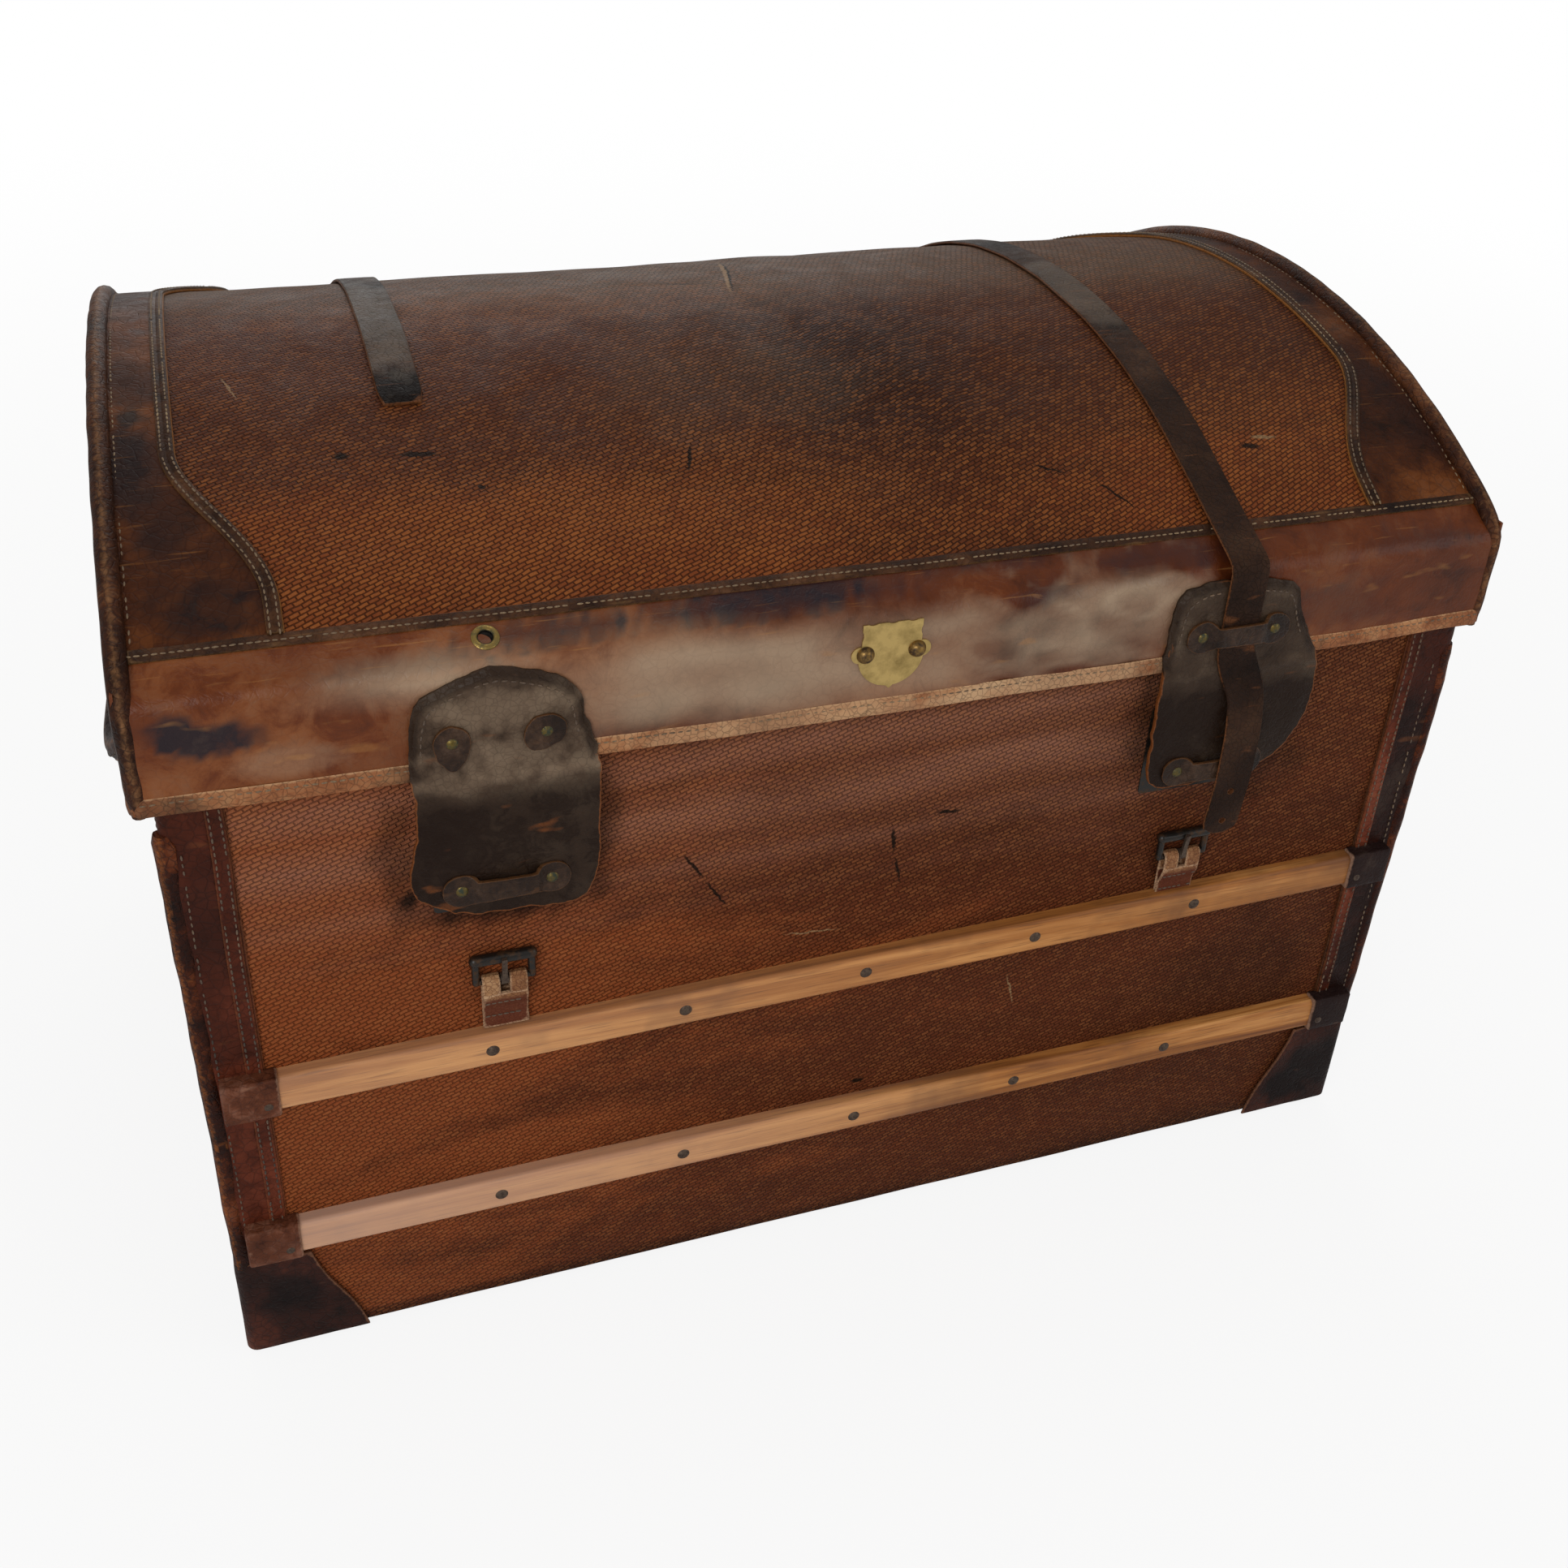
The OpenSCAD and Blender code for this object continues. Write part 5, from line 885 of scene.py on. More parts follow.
def makeSkirt(s=skirt):
    profile = skirtProfile()
    girth = runOf(profile)
    parts = []
    for side in (-1, 1):
        def onLong(u, w):
            x = -side * (u - 0.5) * 2 * s["halfLength"]
            i = round(w * (len(profile) - 1))
            y, z, outY, outZ = profile[i]
            calm = smooth(20, 55, math.hypot(x + 3, (z - 530) * 1.2)) if side < 0 else 1.0
            creased = smooth(20, 90, x) * smooth(235, 200, x)
            buckle = (0.5 + 0.8 * creased) * ripple(x * 0.7, side, z + 0.4 * x, 24, 4)
            wrinkle = 0.5 * creased * ripple(x, side, z - 0.5 * x, 11, 6)
            puff = calm * (1.0 + 0.9 * ripple(x, side, z, 95, 2) + buckle + wrinkle)
            puff *= smooth(0, 5, i) * smooth(len(profile) - 1, len(profile) - 4, i)
            puff = max(puff, -0.7)
            z += lidLowEdge(x, side * y) * smooth(520, 486, z)
            return x, side * (y + outY * puff), z + outZ * puff, -side * x, girth[i], girth[-1] - girth[i] + 3
        parts.append(sheetOf("skirtLong", round(2 * s["halfLength"] / s["cell"]), len(profile) - 1, onLong))

        def onEnd(u, w):
            y = side * (u - 0.5) * 2 * s["endHalf"]
            z = s["low"] + w * (s["endHigh"] - s["low"])
            puff = 0.5 + 0.6 * ripple(side * 5, y, z, 80, 6)
            z += lidLowEdge(side * s["endX"], y) * smooth(520, 486, z)
            x = side * (s["endX"] + puff * smooth(0, 0.2, w) * smooth(1, 0.8, w))
            return x, y, z, side * y, z, noEdge
        parts.append(sheetOf("skirtEnd", 72, 10, onEnd))
    piece = joinPieces([giveWall(p, s["wall"]) for p in parts], "lidSkirtLeather")
    # dark ink stain at the left front, painted shade in thin bands along the top bend under the seam welt,
    # darker patches at the right, behind the left flap, at the back and at the ends
    paintSpots(piece, "grime", [(-410, -312, 531, 32, 40, 13, 1.0), (-432, -312, 541, 16, 40, 12, 0.8),
                                (-84, -300, 568, 95, 50, 9, 0.8), (70, -300, 575, 70, 50, 7, 0.6),
                                (-215, -300, 566, 60, 50, 8, 0.7), (330, -306, 520, 60, 40, 24, 0.35),
                                (103, -312, 555, 34, 40, 8, 0.5), (-300, -312, 560, 60, 40, 5, 0.4),
                                (200, -300, 566, 60, 50, 8, 0.5), (390, -312, 560, 60, 40, 8, 0.4),
                                (-240, -312, 500, 70, 40, 18, 0.4), (120, 312, 540, 120, 40, 16, 0.5),
                                (459, 80, 520, 40, 90, 20, 0.5), (-459, -90, 530, 40, 80, 24, 0.6)],
               s["shade"], 2)

    # painted sheen, a little rubbed wear: pale bands along the top bend and lower down, streaked on creases
    def rubbed(p):
        run = smooth(-400, -300, p.x) * smooth(240, 190, p.x) if p.y < 0 else 0.45
        high = 0.58 * math.exp(-((p.z - 548 + 5 * ripple(p.x, 0, 0, 90, 4)) / 12) ** 2)
        low = 0.42 * math.exp(-((p.z - 516 + 6 * ripple(p.x, 3, 0, 70, 4)) / 19) ** 2)
        low *= smooth(-230, -120, p.x)
        smear = 0.6 * math.exp(-((p.x - 92) / 26) ** 2 - ((p.z - 552 - 0.25 * (p.x - 92)) / 9) ** 2)
        folds = abs(ripple(p.x * 0.5, p.y, p.z + 0.3 * p.x, 22, 5))
        streaks = smooth(20, 90, p.x) * (0.22 - 0.7 * min(folds, 0.5))
        high *= 0.8 + 0.4 * ripple(p.x, p.y, p.z * 2, 55, 2)
        low *= 0.85 + 0.3 * ripple(p.x, p.y, p.z * 2, 38, 7)
        return run * (high + low + streaks - smear)
    # more patches of painted sheen and rubbed wear across the front
    paintSpots(piece, "shine", [(160, -312, 538, 90, 40, 30, 0.3), (80, -312, 516, 100, 40, 40, 0.15),
                                (-110, -312, 526, 100, 40, 34, 0.38), (-40, -312, 512, 80, 40, 34, 0.2),
                                (-180, -312, 520, 60, 40, 30, 0.25),
                                (-290, -306, 556, 70, 40, 10, 0.35), (-370, -312, 510, 40, 40, 12, 0.25)],
               rubbed, 3, 0.1)
    return finishPiece(piece, "lid", skirtLeather, ["lid_skirt"])


makeSkirt()


# A loop round the trunk: rounded rectangle in plan, with outward direction and length run
def planLoop(halfX, halfY, r, step):
    spots = []
    corners = [(halfX, -halfY, -90), (halfX, halfY, 0), (-halfX, halfY, 90), (-halfX, -halfY, 180)]
    for k, (cx, cy, start) in enumerate(corners):
        sx, sy = (1 if cx > 0 else -1), (1 if cy > 0 else -1)
        for i in range(5):
            a = math.radians(start + 90 * i / 4)
            ox, oy = math.cos(a), math.sin(a)
            spots.append((cx - sx * r + r * ox, cy - sy * r + r * oy, ox, oy))
        nextX, nextY, nextStart = corners[(k + 1) % 4]
        nx, ny = (1 if nextX > 0 else -1), (1 if nextY > 0 else -1)
        b = math.radians(nextStart)
        goal = (nextX - nx * r + r * math.cos(b), nextY - ny * r + r * math.sin(b))
        x, y, ox, oy = spots[-1]
        count = max(1, round(math.hypot(goal[0] - x, goal[1] - y) / step))
        for i in range(1, count):
            t = i / count
            spots.append((x + (goal[0] - x) * t, y + (goal[1] - y) * t, ox, oy))
    return spots, runOf(spots + spots[:1])


# profile: (outward, z) pairs, from low to high for a skin seen from outside, from high to low for one seen
# from inside
def loopSheet(name, halfX, halfY, r, profile, step=9.0, puff=None, lift=None, raw=False):
    spots, run = planLoop(halfX, halfY, r, step)
    girth = runOf(profile)

    def place(u, w):
        i = round(u * len(spots))
        x, y, ox, oy = spots[i % len(spots)]
        k = round(w * (len(profile) - 1))
        out, z = profile[k]
        out += puff(x, y, z) if puff else 0.0
        z += lift(x, y) if lift else 0.0
        e = min(girth[k], girth[-1] - girth[k]) if raw else noEdge
        small = max(r + out, 0.5)  # inside a corner tighter than its radius the loop turns nearly square
        reachX, reachY = halfX + out - small, halfY + out - small
        x = max(-reachX, min(reachX, x - ox * r)) + ox * small
        y = max(-reachY, min(reachY, y - oy * r)) + oy * small
        return x, y, z, run[i], girth[k], e
    return sheetOf(name, len(spots), len(profile) - 1, place, closed=True)


# Binding sewn over the lid's lower edge
binding = dict(halfX=459, halfY=312, r=8, high=496, low=483.4, proud=1.6, seamDown=3.4, pitch=5.2)


def makeBinding(s=binding):
    p = s["proud"]
    profile = [(-7.6, 489), (-7.8, s["low"] + 1.6), (-6.4, s["low"] + 0.1), (-3.5, s["low"] - 0.2),
               (p - 1.3, s["low"]), (p - 0.3, s["low"] + 0.7), (p, s["low"] + 2), (p + 0.25, s["low"] + 5),
               (p, s["high"] - 2.4), (p - 0.6, s["high"] - 0.6), (p - 1.5, s["high"])]
    piece = loopSheet("lidBindingLeather", s["halfX"], s["halfY"], s["r"], profile, 8.0,
                      lambda x, y, z: (0.25 + 0.35 * ripple(x, y, z, 22, 8)) if z > 484 else 0.0,
                      lidLowEdge, raw=True)
    # darker under and beside the two flaps, painted shade of the flaps, and at the left end
    paintSpots(piece, "grime", [(-290, -313, 490, 40, 20, 20, 0.6), (250, -313, 490, 70, 20, 20, 0.5),
                                (-440, -313, 490, 25, 20, 20, 0.5)], 0.12)
    rubs = [(-60, -313, 490, 140, 20, 20, 0.55), (120, -313, 490, 90, 20, 20, 0.7)]
    paintSpots(piece, "shine", rubs, 0.0, 6)
    for y in (-1, 1):
        sewn = [(x, y * (s["halfY"] + p + 0.2), s["high"] - s["seamDown"] + lidLowEdge(x, y * s["halfY"]))
                for x in range(-452, 453, 8)]
        sewRow("lidTan", framesOf(sewn, (0, y, 0)), 0, 0.0, s["pitch"], 3)
    for x in (-1, 1):
        sewn = [(x * (s["halfX"] + p + 0.2), y, s["high"] - s["seamDown"] + lidLowEdge(x * s["halfX"], y))
                for y in range(-300, 301, 8)]
        sewRow("lidTan", framesOf(sewn, (x, 0, 0)), 0, 0.0, s["pitch"], 4)
    return finishPiece(piece, "lid", bindingLeather, ["lid_binding"])


makeBinding()

# Rolled rims at the two ends of the lid: leather round a cord, sewn beside the roll
rims = dict(x=454.5, pathR=580.7, cornerY=307.5, foot=484.5, roll=6.4, steps=44, sewFrom=566, innerX=446.2,
            innerHalf=281, outerX=460.6, outerDown=7.5, pitch=5.6)


def makeRim(side, s=rims):
    low, arch = [s["foot"], 500, 520, 540], []
    for i in range(s["steps"] + 1):
        y = -s["cornerY"] + 2 * s["cornerY"] * i / s["steps"]
        p = archSpot(side * s["x"], y, s["pathR"] - domeR)
        arch.append(p + Vector((0, 0, -3.0)) if i in (0, s["steps"]) else p)
    path = [(side * s["x"], -s["cornerY"], z) for z in low] + arch
    path += [(side * s["x"], s["cornerY"], z) for z in low[::-1]]
    frames = framesOf(rounded(path, 2), lambda p: (0, p.y, max(p.z - archZ - 330, 0) + 40), 7.0)

    def section(t):
        puff = s["roll"] * (1 + 0.05 * ripple(t * 900, side, 0, 26, 3))
        closing = min(1.0, 0.72 + 14 * min(t, 1 - t))
        return ringSection(puff * closing, puff * closing)
    roll = sweepOf("rimRoll", frames, section, crest=True)
    sewn = [f for f in frames if f[0].z > s["sewFrom"]]
    inner = [(Vector((side * s["innerX"], p.y, 0)) + Vector((0, 0, archSpot(0, p.y, 1.9).z)), d, archUp(p), t)
             for p, d, _, t in sewn if abs(p.y) < s["innerHalf"]]
    outer = [(Vector((side * s["outerX"], p.y * 0.985, p.z - s["outerDown"])), d, Vector((side, 0, 0)), t)
             for p, d, _, t in sewn]
    sewRow("lidTan", inner, 0, 0.0, s["pitch"], 6 + side)
    sewRow("lidTan", outer, 0, 0.0, s["pitch"], 8 + side)
    return roll


def makeRims():
    piece = joinPieces([makeRim(side) for side in (-1, 1)], "lidRimRolls")
    return finishPiece(piece, "lid", rimLeather, ["lid_rims"])


makeRims()

# End leathers of the dome with their S-shaped double welts, and the welts over the long seams
endBands = dict(outer=450, inner=412, swell=48, halfDepth=280.5, high=2.1, wall=1.9, ease=0.5, rows=84,
                weltIn=5.2, weltWidth=9.5, weltHigh=1.8, weltHalf=281, seamOff=2.6, seamY=283, seamHalf=448,
                pitch=4.6)


def swellEdge(y, s=endBands):
    return s["inner"] - s["swell"] * smooth(141.5, 260.4, abs(y))


def makeEndBand(side, s=endBands):
    def place(u, w):
        y = (w - 0.5) * 2 * s["halfDepth"]
        t = u if side > 0 else 1 - u
        x = swellEdge(y) + t * (s["outer"] - swellEdge(y))
        p = archSpot(side * x, y)
        puff = s["high"] + 0.35 * ripple(side * x, y, 0, 34, 5) * smooth(0, 0.15, t)
        p += archUp(p) * (puff + domeRelief(side * x, y) * 0.85)
        return p.x, p.y, p.z, side * x, y, x - swellEdge(y)
    return giveWall(sheetOf("endBand", 10, s["rows"], place), s["wall"], s["ease"])


def makeEndWelt(side, s=endBands):
    path = []
    for i in range(s["rows"] + 1):
        y = -s["halfDepth"] + 2 * s["halfDepth"] * i / s["rows"]
        slope = (swellEdge(y + 1) - swellEdge(y - 1)) / 2
        n = math.hypot(1, slope)
        x, weltY = swellEdge(y) + s["weltIn"] / n, y - s["weltIn"] * slope / n
        p = archSpot(side * x, max(min(weltY, s["weltHalf"]), -s["weltHalf"]), s["high"])
        path.append(p + archUp(p) * domeRelief(side * x, y) * 0.85)
    frames = framesOf(path, archUp, 6.0)
    h, w = s["weltHigh"], s["weltWidth"] / 2
    double = [(-w, -0.6), (-w + 0.3, h * 0.7), (-w + 1.4, h), (-1.0, h * 0.72), (0, h * 0.45),
              (1.0, h * 0.72), (w - 1.4, h), (w - 0.3, h * 0.7), (w, -0.6)]
    welt = sweepOf("endWelt", frames, double)
    sewRow("lidTan", frames, -s["seamOff"], h + 0.05, s["pitch"], 11 + side)
    sewRow("lidTan", frames, s["seamOff"], h + 0.05, s["pitch"], 14 + side)
    return welt


def makeSeamWelt(side, s=endBands):
    path = []
    for x in range(-s["seamHalf"], s["seamHalf"] + 1, 8):
        up = archUp(archSpot(x, side * s["seamY"]))
        path.append(archSpot(x, side * s["seamY"], 0.2) + up * 0.5 * ripple(x, side, 0, 60, 7))
    frames = framesOf(path, archUp, 8.0)
    low = [(-4.6, -1), (-4.2, 1.6), (-3.0, 2.5), (0, 2.75), (3.0, 2.5), (4.2, 1.6), (4.6, -1)]
    welt = sweepOf("seamWelt", frames, low)
    sewRow("lidTan", frames, 0.8, 2.8, s["pitch"], 18 + side)
    return welt


def makeEndBands():
    bands, welts = [], []
    for side in (-1, 1):
        bands.append(makeEndBand(side))
        welts.append(makeEndWelt(side))
    welts += [makeSeamWelt(side) for side in (-1, 1)]
    band = joinPieces(bands, "lidEndLeathers")
    paintSpots(band, "grime", [(side * 438, y, archSpot(0, y).z, 22, 60, 40, 0.45) for side, y in
                               ((-1, -60), (-1, -150), (1, -30), (1, 120), (1, -200), (-1, 90))]
               + [(-400, -262, 586, 34, 26, 20, 0.75), (-425, -215, 605, 16, 26, 20, 0.6),
                  (-440, -150, 630, 14, 60, 30, 0.4), (425, -120, 634, 24, 90, 40, 0.4)], 0.16, 4)
    finishPiece(band, "lid", endLeather, ["lid_end_leathers"])
    return finishPiece(joinPieces(welts, "lidWelts"), "lid", weltLeather,
                       ["lid_end_welts", "seam_welts"])


makeEndBands()
print("lid covers made")

# Canvas round the body and under it
bodyCanvas = dict(halfX=446, halfY=299, r=4, low=8.2, high=519.5, cell=11, wall=1.3, bottomTone=0.05,
                  bandHigh=6.5)


def makeBodyCanvas(s=bodyCanvas):
    rows = round((s["high"] - s["low"]) / s["cell"])
    profile = [(0, s["low"] + (s["high"] - s["low"]) * i / rows) for i in range(rows + 1)]
    wall = loopSheet("bodyCanvasWalls", s["halfX"], s["halfY"], s["r"], profile, s["cell"],
                     lambda x, y, z: 0.35 + 0.35 * ripple(x, y, z, 120, 2) + 0.2 * ripple(x, y, z, 40, 5))

    def under(u, w):
        x, y = (0.5 - u) * 2 * (s["halfX"] - 1), (w - 0.5) * 2 * (s["halfY"] - 1)
        return x, y, s["low"] + 0.1, x, y, noEdge
    bottom = sheetOf("bodyCanvasBottom", 40, 28, under)
    piece = joinPieces([giveWall(wall, s["wall"]), giveWall(bottom, s["wall"])], "bodyCanvasSkin")

    # painted light: on the front the canvas is lighter to the left and at the top left; all round it is
    # darker near the bottom, and the underside is darkest
    def tone(p):
        if p.z < s["low"] + 1.8:
            return s["bottomTone"]
        across = 0.45 + (smooth(330, -420, p.x) - 0.45) * smooth(-284, -298, p.y)
        high = 0.16 * smooth(330, 470, p.z) * smooth(-60, -420, p.x)
        return 0.38 + 0.26 * across + high - 0.04 * smooth(160, 40, p.z)

    # lighter hazy bands near the top at the left: partly haze on the paint, partly painted light
    def haze(p):
        band = 0.5 + 0.5 * math.sin((p.z + 9 * ripple(p.x * 0.35, p.y, p.z, 60, 6)) / s["bandHigh"])
        return smooth(300, 420, p.z) * (0.35 + 0.65 * band) * smooth(450, 180, abs(p.x + 100) - 60)
    paintSpots(piece, "tone", [], tone)
    paintSpots(piece, "haze", [], haze)
    paintSpots(piece, "wear", [], lambda p: 0.25 * smooth(300, 460, p.z))
    # painted shade: the canvas is darker under the lid's edge, under and beside the flaps, behind the
    # buckles, at the lower right and near the floor
    paintSpots(piece, "grime", [(-252, -299, 375, 72, 30, 26, 0.8), (-318, -299, 420, 16, 30, 60, 0.5),
                                (-186, -299, 420, 14, 30, 60, 0.5), (200, -299, 430, 16, 30, 60, 0.5),
                                (300, -299, 380, 50, 30, 40, 0.45), (330, -299, 170, 90, 40, 90, 0.35),
                                (-255, -299, 300, 30, 30, 20, 0.4), (249, -299, 300, 30, 30, 22, 0.5)],
               lambda p: 0.08 + 0.25 * smooth(486, 500, p.z) + 0.25 * smooth(60, 20, p.z), 5)
    return finishPiece(piece, "trunk_body", bodyTwill, ["body_canvas"])


makeBodyCanvas()

# Corner leathers, their welts and rolls, and the caps on the lower corners
corners = dict(leatherX=448, leatherY=301, leatherR=6, reach=38, low=92, high=519, rows=44, wall=1.9,
               weltX=450, weltY=303, weltIn=33.5, weltWidth=11, weltRise=1.7, weltLow=94, weltHigh=492,
               seamOff=3.2, rowOff=21.5, rowHigh=450, rollX=443, rollY=296, rollR=7, rollLow=90, earZ=462,
               flare=7, flareLow=110, flareHigh=480, capX=450, capY=303, capR=8, capLow=6, capHigh=94,
               capTop=52, capReach=85, capCells=12, foot=48, footCut=7)


# Path in plan round the corner (sx, sy), from the long face to the end face, counted as seen from above
def cornerPlan(halfX, halfY, r, reachLong, reachEnd, sx, sy, step=4.0):
    spots = []
    long = [(halfX - reachLong + (reachLong - r) * i / max(2, round(reachLong / step)), halfY, 0.0)
            for i in range(max(2, round(reachLong / step)))]
    turn = [(halfX - r + r * math.sin(a), halfY - r + r * math.cos(a), a)
            for a in (math.pi / 2 * i / 6 for i in range(7))]
    count = max(2, round(reachEnd / step))
    end = [(halfX, halfY - r - (reachEnd - r) * i / count, math.pi / 2) for i in range(1, count + 1)]
    for x, y, a in long + turn + end:
        spots.append((sx * x, sy * y, sx * math.sin(a), sy * math.cos(a)))
    return spots if sx * sy < 0 else spots[::-1]


def makeCornerLeather(sx, sy, s=corners):
    plan = cornerPlan(s["leatherX"], s["leatherY"], s["leatherR"], s["reach"], s["reach"], sx, sy)
    run = runOf(plan)
    flare = s["flare"] * 0.7 if sx > 0 and sy < 0 else 0.0

    def place(u, w):
        i = round(u * (len(plan) - 1))
        x, y, ox, oy = plan[i]
        z = s["low"] + w * (s["high"] - s["low"])
        puff = 0.25 + 0.35 * ripple(x, y, z, 46, 3) + 0.2 * ripple(x, y, z, 15, 4)
        puff *= smooth(0, 0.12, u) * smooth(1, 0.88, u)
        x += flare * smooth(s["flareLow"], s["flareHigh"], z) * math.exp(-((u - 0.5) / 0.16) ** 2)
        return x + ox * puff, y + oy * puff, z, run[i], z, min(run[i], run[-1] - run[i])
    return giveWall(sheetOf("cornerLeather", len(plan) - 1, s["rows"], place), s["wall"])


# Welt down the edge of a corner leather, with the rows of stitches on it and beside it
def makeCornerWelt(sx, sy, onLong, s=corners):
    if onLong:
        foot = Vector((sx * (s["weltX"] - s["weltIn"]), sy * s["leatherY"], 0))
        up, sway, beside = Vector((0, sy, 0)), Vector((1, 0, 0)), Vector((sx * s["rowOff"], 0, 0))
    else:
        foot = Vector((sx * s["leatherX"], sy * (s["weltY"] - s["weltIn"]), 0))
        up, sway, beside = Vector((sx, 0, 0)), Vector((0, 1, 0)), Vector((0, sy * s["rowOff"], 0))
    path = [foot + Vector((0, 0, z)) + sway * 0.8 * ripple(z, sx, sy, 90, 5)
            for z in range(s["weltLow"], s["weltHigh"] + 1, 8)]
    frames = framesOf(path, up, 8.0)
    w, h = s["weltWidth"] / 2, s["weltRise"]
    double = [(-w, -0.6), (-w + 0.4, h * 0.7), (-w + 1.6, h), (-1.6, h * 0.75), (0, h * 0.55),
              (1.6, h * 0.75), (w - 1.6, h), (w - 0.4, h * 0.7), (w, -0.6)]
    welt = sweepOf("cornerWelt", frames, double)
    sewRow("bodyTan", frames, -s["seamOff"], h + 0.05, 5.0, 31)
    sewRow("bodyTan", frames, s["seamOff"], h + 0.05, 5.0, 32)
    row = [(p + beside, d, out, t) for p, d, out, t in frames if p.z < s["rowHigh"]]
    sewRow("bodyTan", row, 0, 0.55, 5.6, 33)
    return welt


def makeCornerRoll(sx, sy, s=corners):
    flare = s["flare"] if sx > 0 and sy < 0 else 0.35 * s["flare"]
    path = []
    for z in range(s["rollLow"], s["earZ"], 9):
        bowed = flare * smooth(s["flareLow"], s["flareHigh"], z) + 0.8 * ripple(z, sx, sy, 60, 3)
        path.append((sx * (s["rollX"] + bowed), sy * (s["rollY"] + 0.6 * ripple(z, sx, sy, 50, 8)), z))
    path.append((sx * (s["rollX"] + flare + 1.4), sy * (s["rollY"] + 0.8), s["earZ"]))

    def section(t):
        puff = s["rollR"] * (0.97 + 0.05 * ripple(t * 400, sx, sy, 24, 3))
        ear = 1 + 0.22 * smooth(0.9, 0.97, t)
        closing = 1.0 if t < 0.985 else 0.62
        return ringSection(puff * ear * closing, puff * (2 - ear) * closing)
    return sweepOf("cornerRoll", framesOf(path, (sx, sy, 0), 8.0), section, crest=True)


# Cap on a lower corner: the two shown faces in one sheet, and the flap turned under the bottom
def makeCornerCap(sx, sy, s=corners):
    def planAt(reach):
        return cornerPlan(s["capX"], s["capY"], s["capR"], reach, reach, sx, sy, reach / s["capCells"])

    def onFace(u, w):
        z = s["capHigh"] + w * (s["capLow"] - s["capHigh"])
        t = w - math.sin(2 * math.pi * w) / 18
        reach = s["capTop"] + (s["capReach"] - s["capTop"]) * t
        spots = planAt(reach)
        x, y, ox, oy = spots[round(u * (len(spots) - 1))]
        puff = 0.3 * ripple(x, y, z, 22, 6) - 0.5 * smooth(0.12, 0.0, w)
        out = puff * smooth(0, 0.1, u) * smooth(1, 0.9, u)
        e = reach - abs(u - 0.5) * 2 * reach
        if w < 0.5:
            e = min(e, (s["capHigh"] - s["capLow"]) * w + 0.2)
        return x + ox * out, y + oy * out, z, (u - 0.5) * 2 * reach, z, e

    def onFoot(u, w):
        x, y = s["capX"] - 1 - u * s["foot"], s["capY"] - 1 - w * s["foot"]
        clip = s["footCut"]
        clipped = max(0, clip - u * s["foot"]) * max(0, clip - w * s["foot"]) / (2 * clip)
        return sx * (x - clipped), sy * (y - clipped), s["capLow"], x, y, min(u, w, 1 - u, 1 - w) * s["foot"]
    face = sheetOf("capFace", len(planAt(s["capTop"])) - 1, 14, onFace)
    editAll(face, bpy.ops.mesh.flip_normals)
    giveWall(face, s["wall"], 0.5)
    foot = sheetOf("capFoot", 8, 8, onFoot)
    if sx * sy > 0:
        editAll(foot, bpy.ops.mesh.flip_normals)
    return [face, giveWall(foot, s["wall"])]


def makeCorners():
    leathers, welts, rolls, caps = [], [], [], []
    for sx in (-1, 1):
        for sy in (-1, 1):
            leathers.append(makeCornerLeather(sx, sy))
            welts += [makeCornerWelt(sx, sy, onLong) for onLong in (True, False)]
            rolls.append(makeCornerRoll(sx, sy))
            caps += makeCornerCap(sx, sy)
    panel = joinPieces(leathers, "bodyCornerLeathers")
    # the right front corner leather much darker below its top
    paintSpots(panel, "grime", [(-430, -301, 400, 24, 30, 60, 0.4), (448, -260, 300, 30, 40, 200, 0.6),
                                (-448, -270, 200, 20, 30, 90, 0.5)],
               lambda p: 0.1 + (1.0 * smooth(480, 390, p.z) if p.x > 0 and p.y < 0 else 0.0), 7)
    finishPiece(panel, "trunk_body", cornerLeather, ["corner_leathers"])
    welt = joinPieces(welts, "bodyCornerWelts")
    finishPiece(welt, "trunk_body", cornerLeather, ["corner_welts"])
    roll = joinPieces(rolls, "bodyCornerRolls")
    finishPiece(roll, "trunk_body", rollLeather, ["corner_rolls"])
    cap = joinPieces(caps, "bottomCornerCaps")
    # the right caps darker than the left
    paintSpots(cap, "grime", [(-415, -303, 55, 26, 30, 26, 0.8), (-440, -303, 80, 18, 30, 12, 0.4),
                              (430, -303, 50, 40, 30, 34, 0.7), (400, -303, 30, 26, 30, 18, 0.7)],
               lambda p: 0.4 if p.x > 0 else 0.12, 8)
    return finishPiece(cap, "trunk_body", capLeather, ["bottom_corner_caps"])


makeCorners()
print("body covers made")

# Flaps riveted to the skirt: grey and worn above the crease, black and curling below it
flaps = dict(wall=3.0, ease=0.9, faceY=318, creaseZ=481, rim=3.0, rimReach=7, hangZ=487, middleZ=462,
             sewFrom=505)
flapMiddles = {"left": -252, "right": 255}
flapOutlines = {"left": [(-309, 400), (-285, 382), (-219, 379), (-200, 380), (-192, 417), (-192, 443),
                         (-191, 491), (-200, 516), (-202, 534), (-214, 547), (-238, 555), (-256, 559),
                         (-287, 547), (-302, 538), (-306, 494), (-302, 458), (-311, 416)],
                "right": [(203, 390), (220, 387), (292, 394), (314, 418), (322, 445), (321, 485), (302, 514),
                          (294, 540), (285, 547), (227, 553), (204, 547), (198, 535), (197, 480), (196, 440),
                          (198, 400)]}


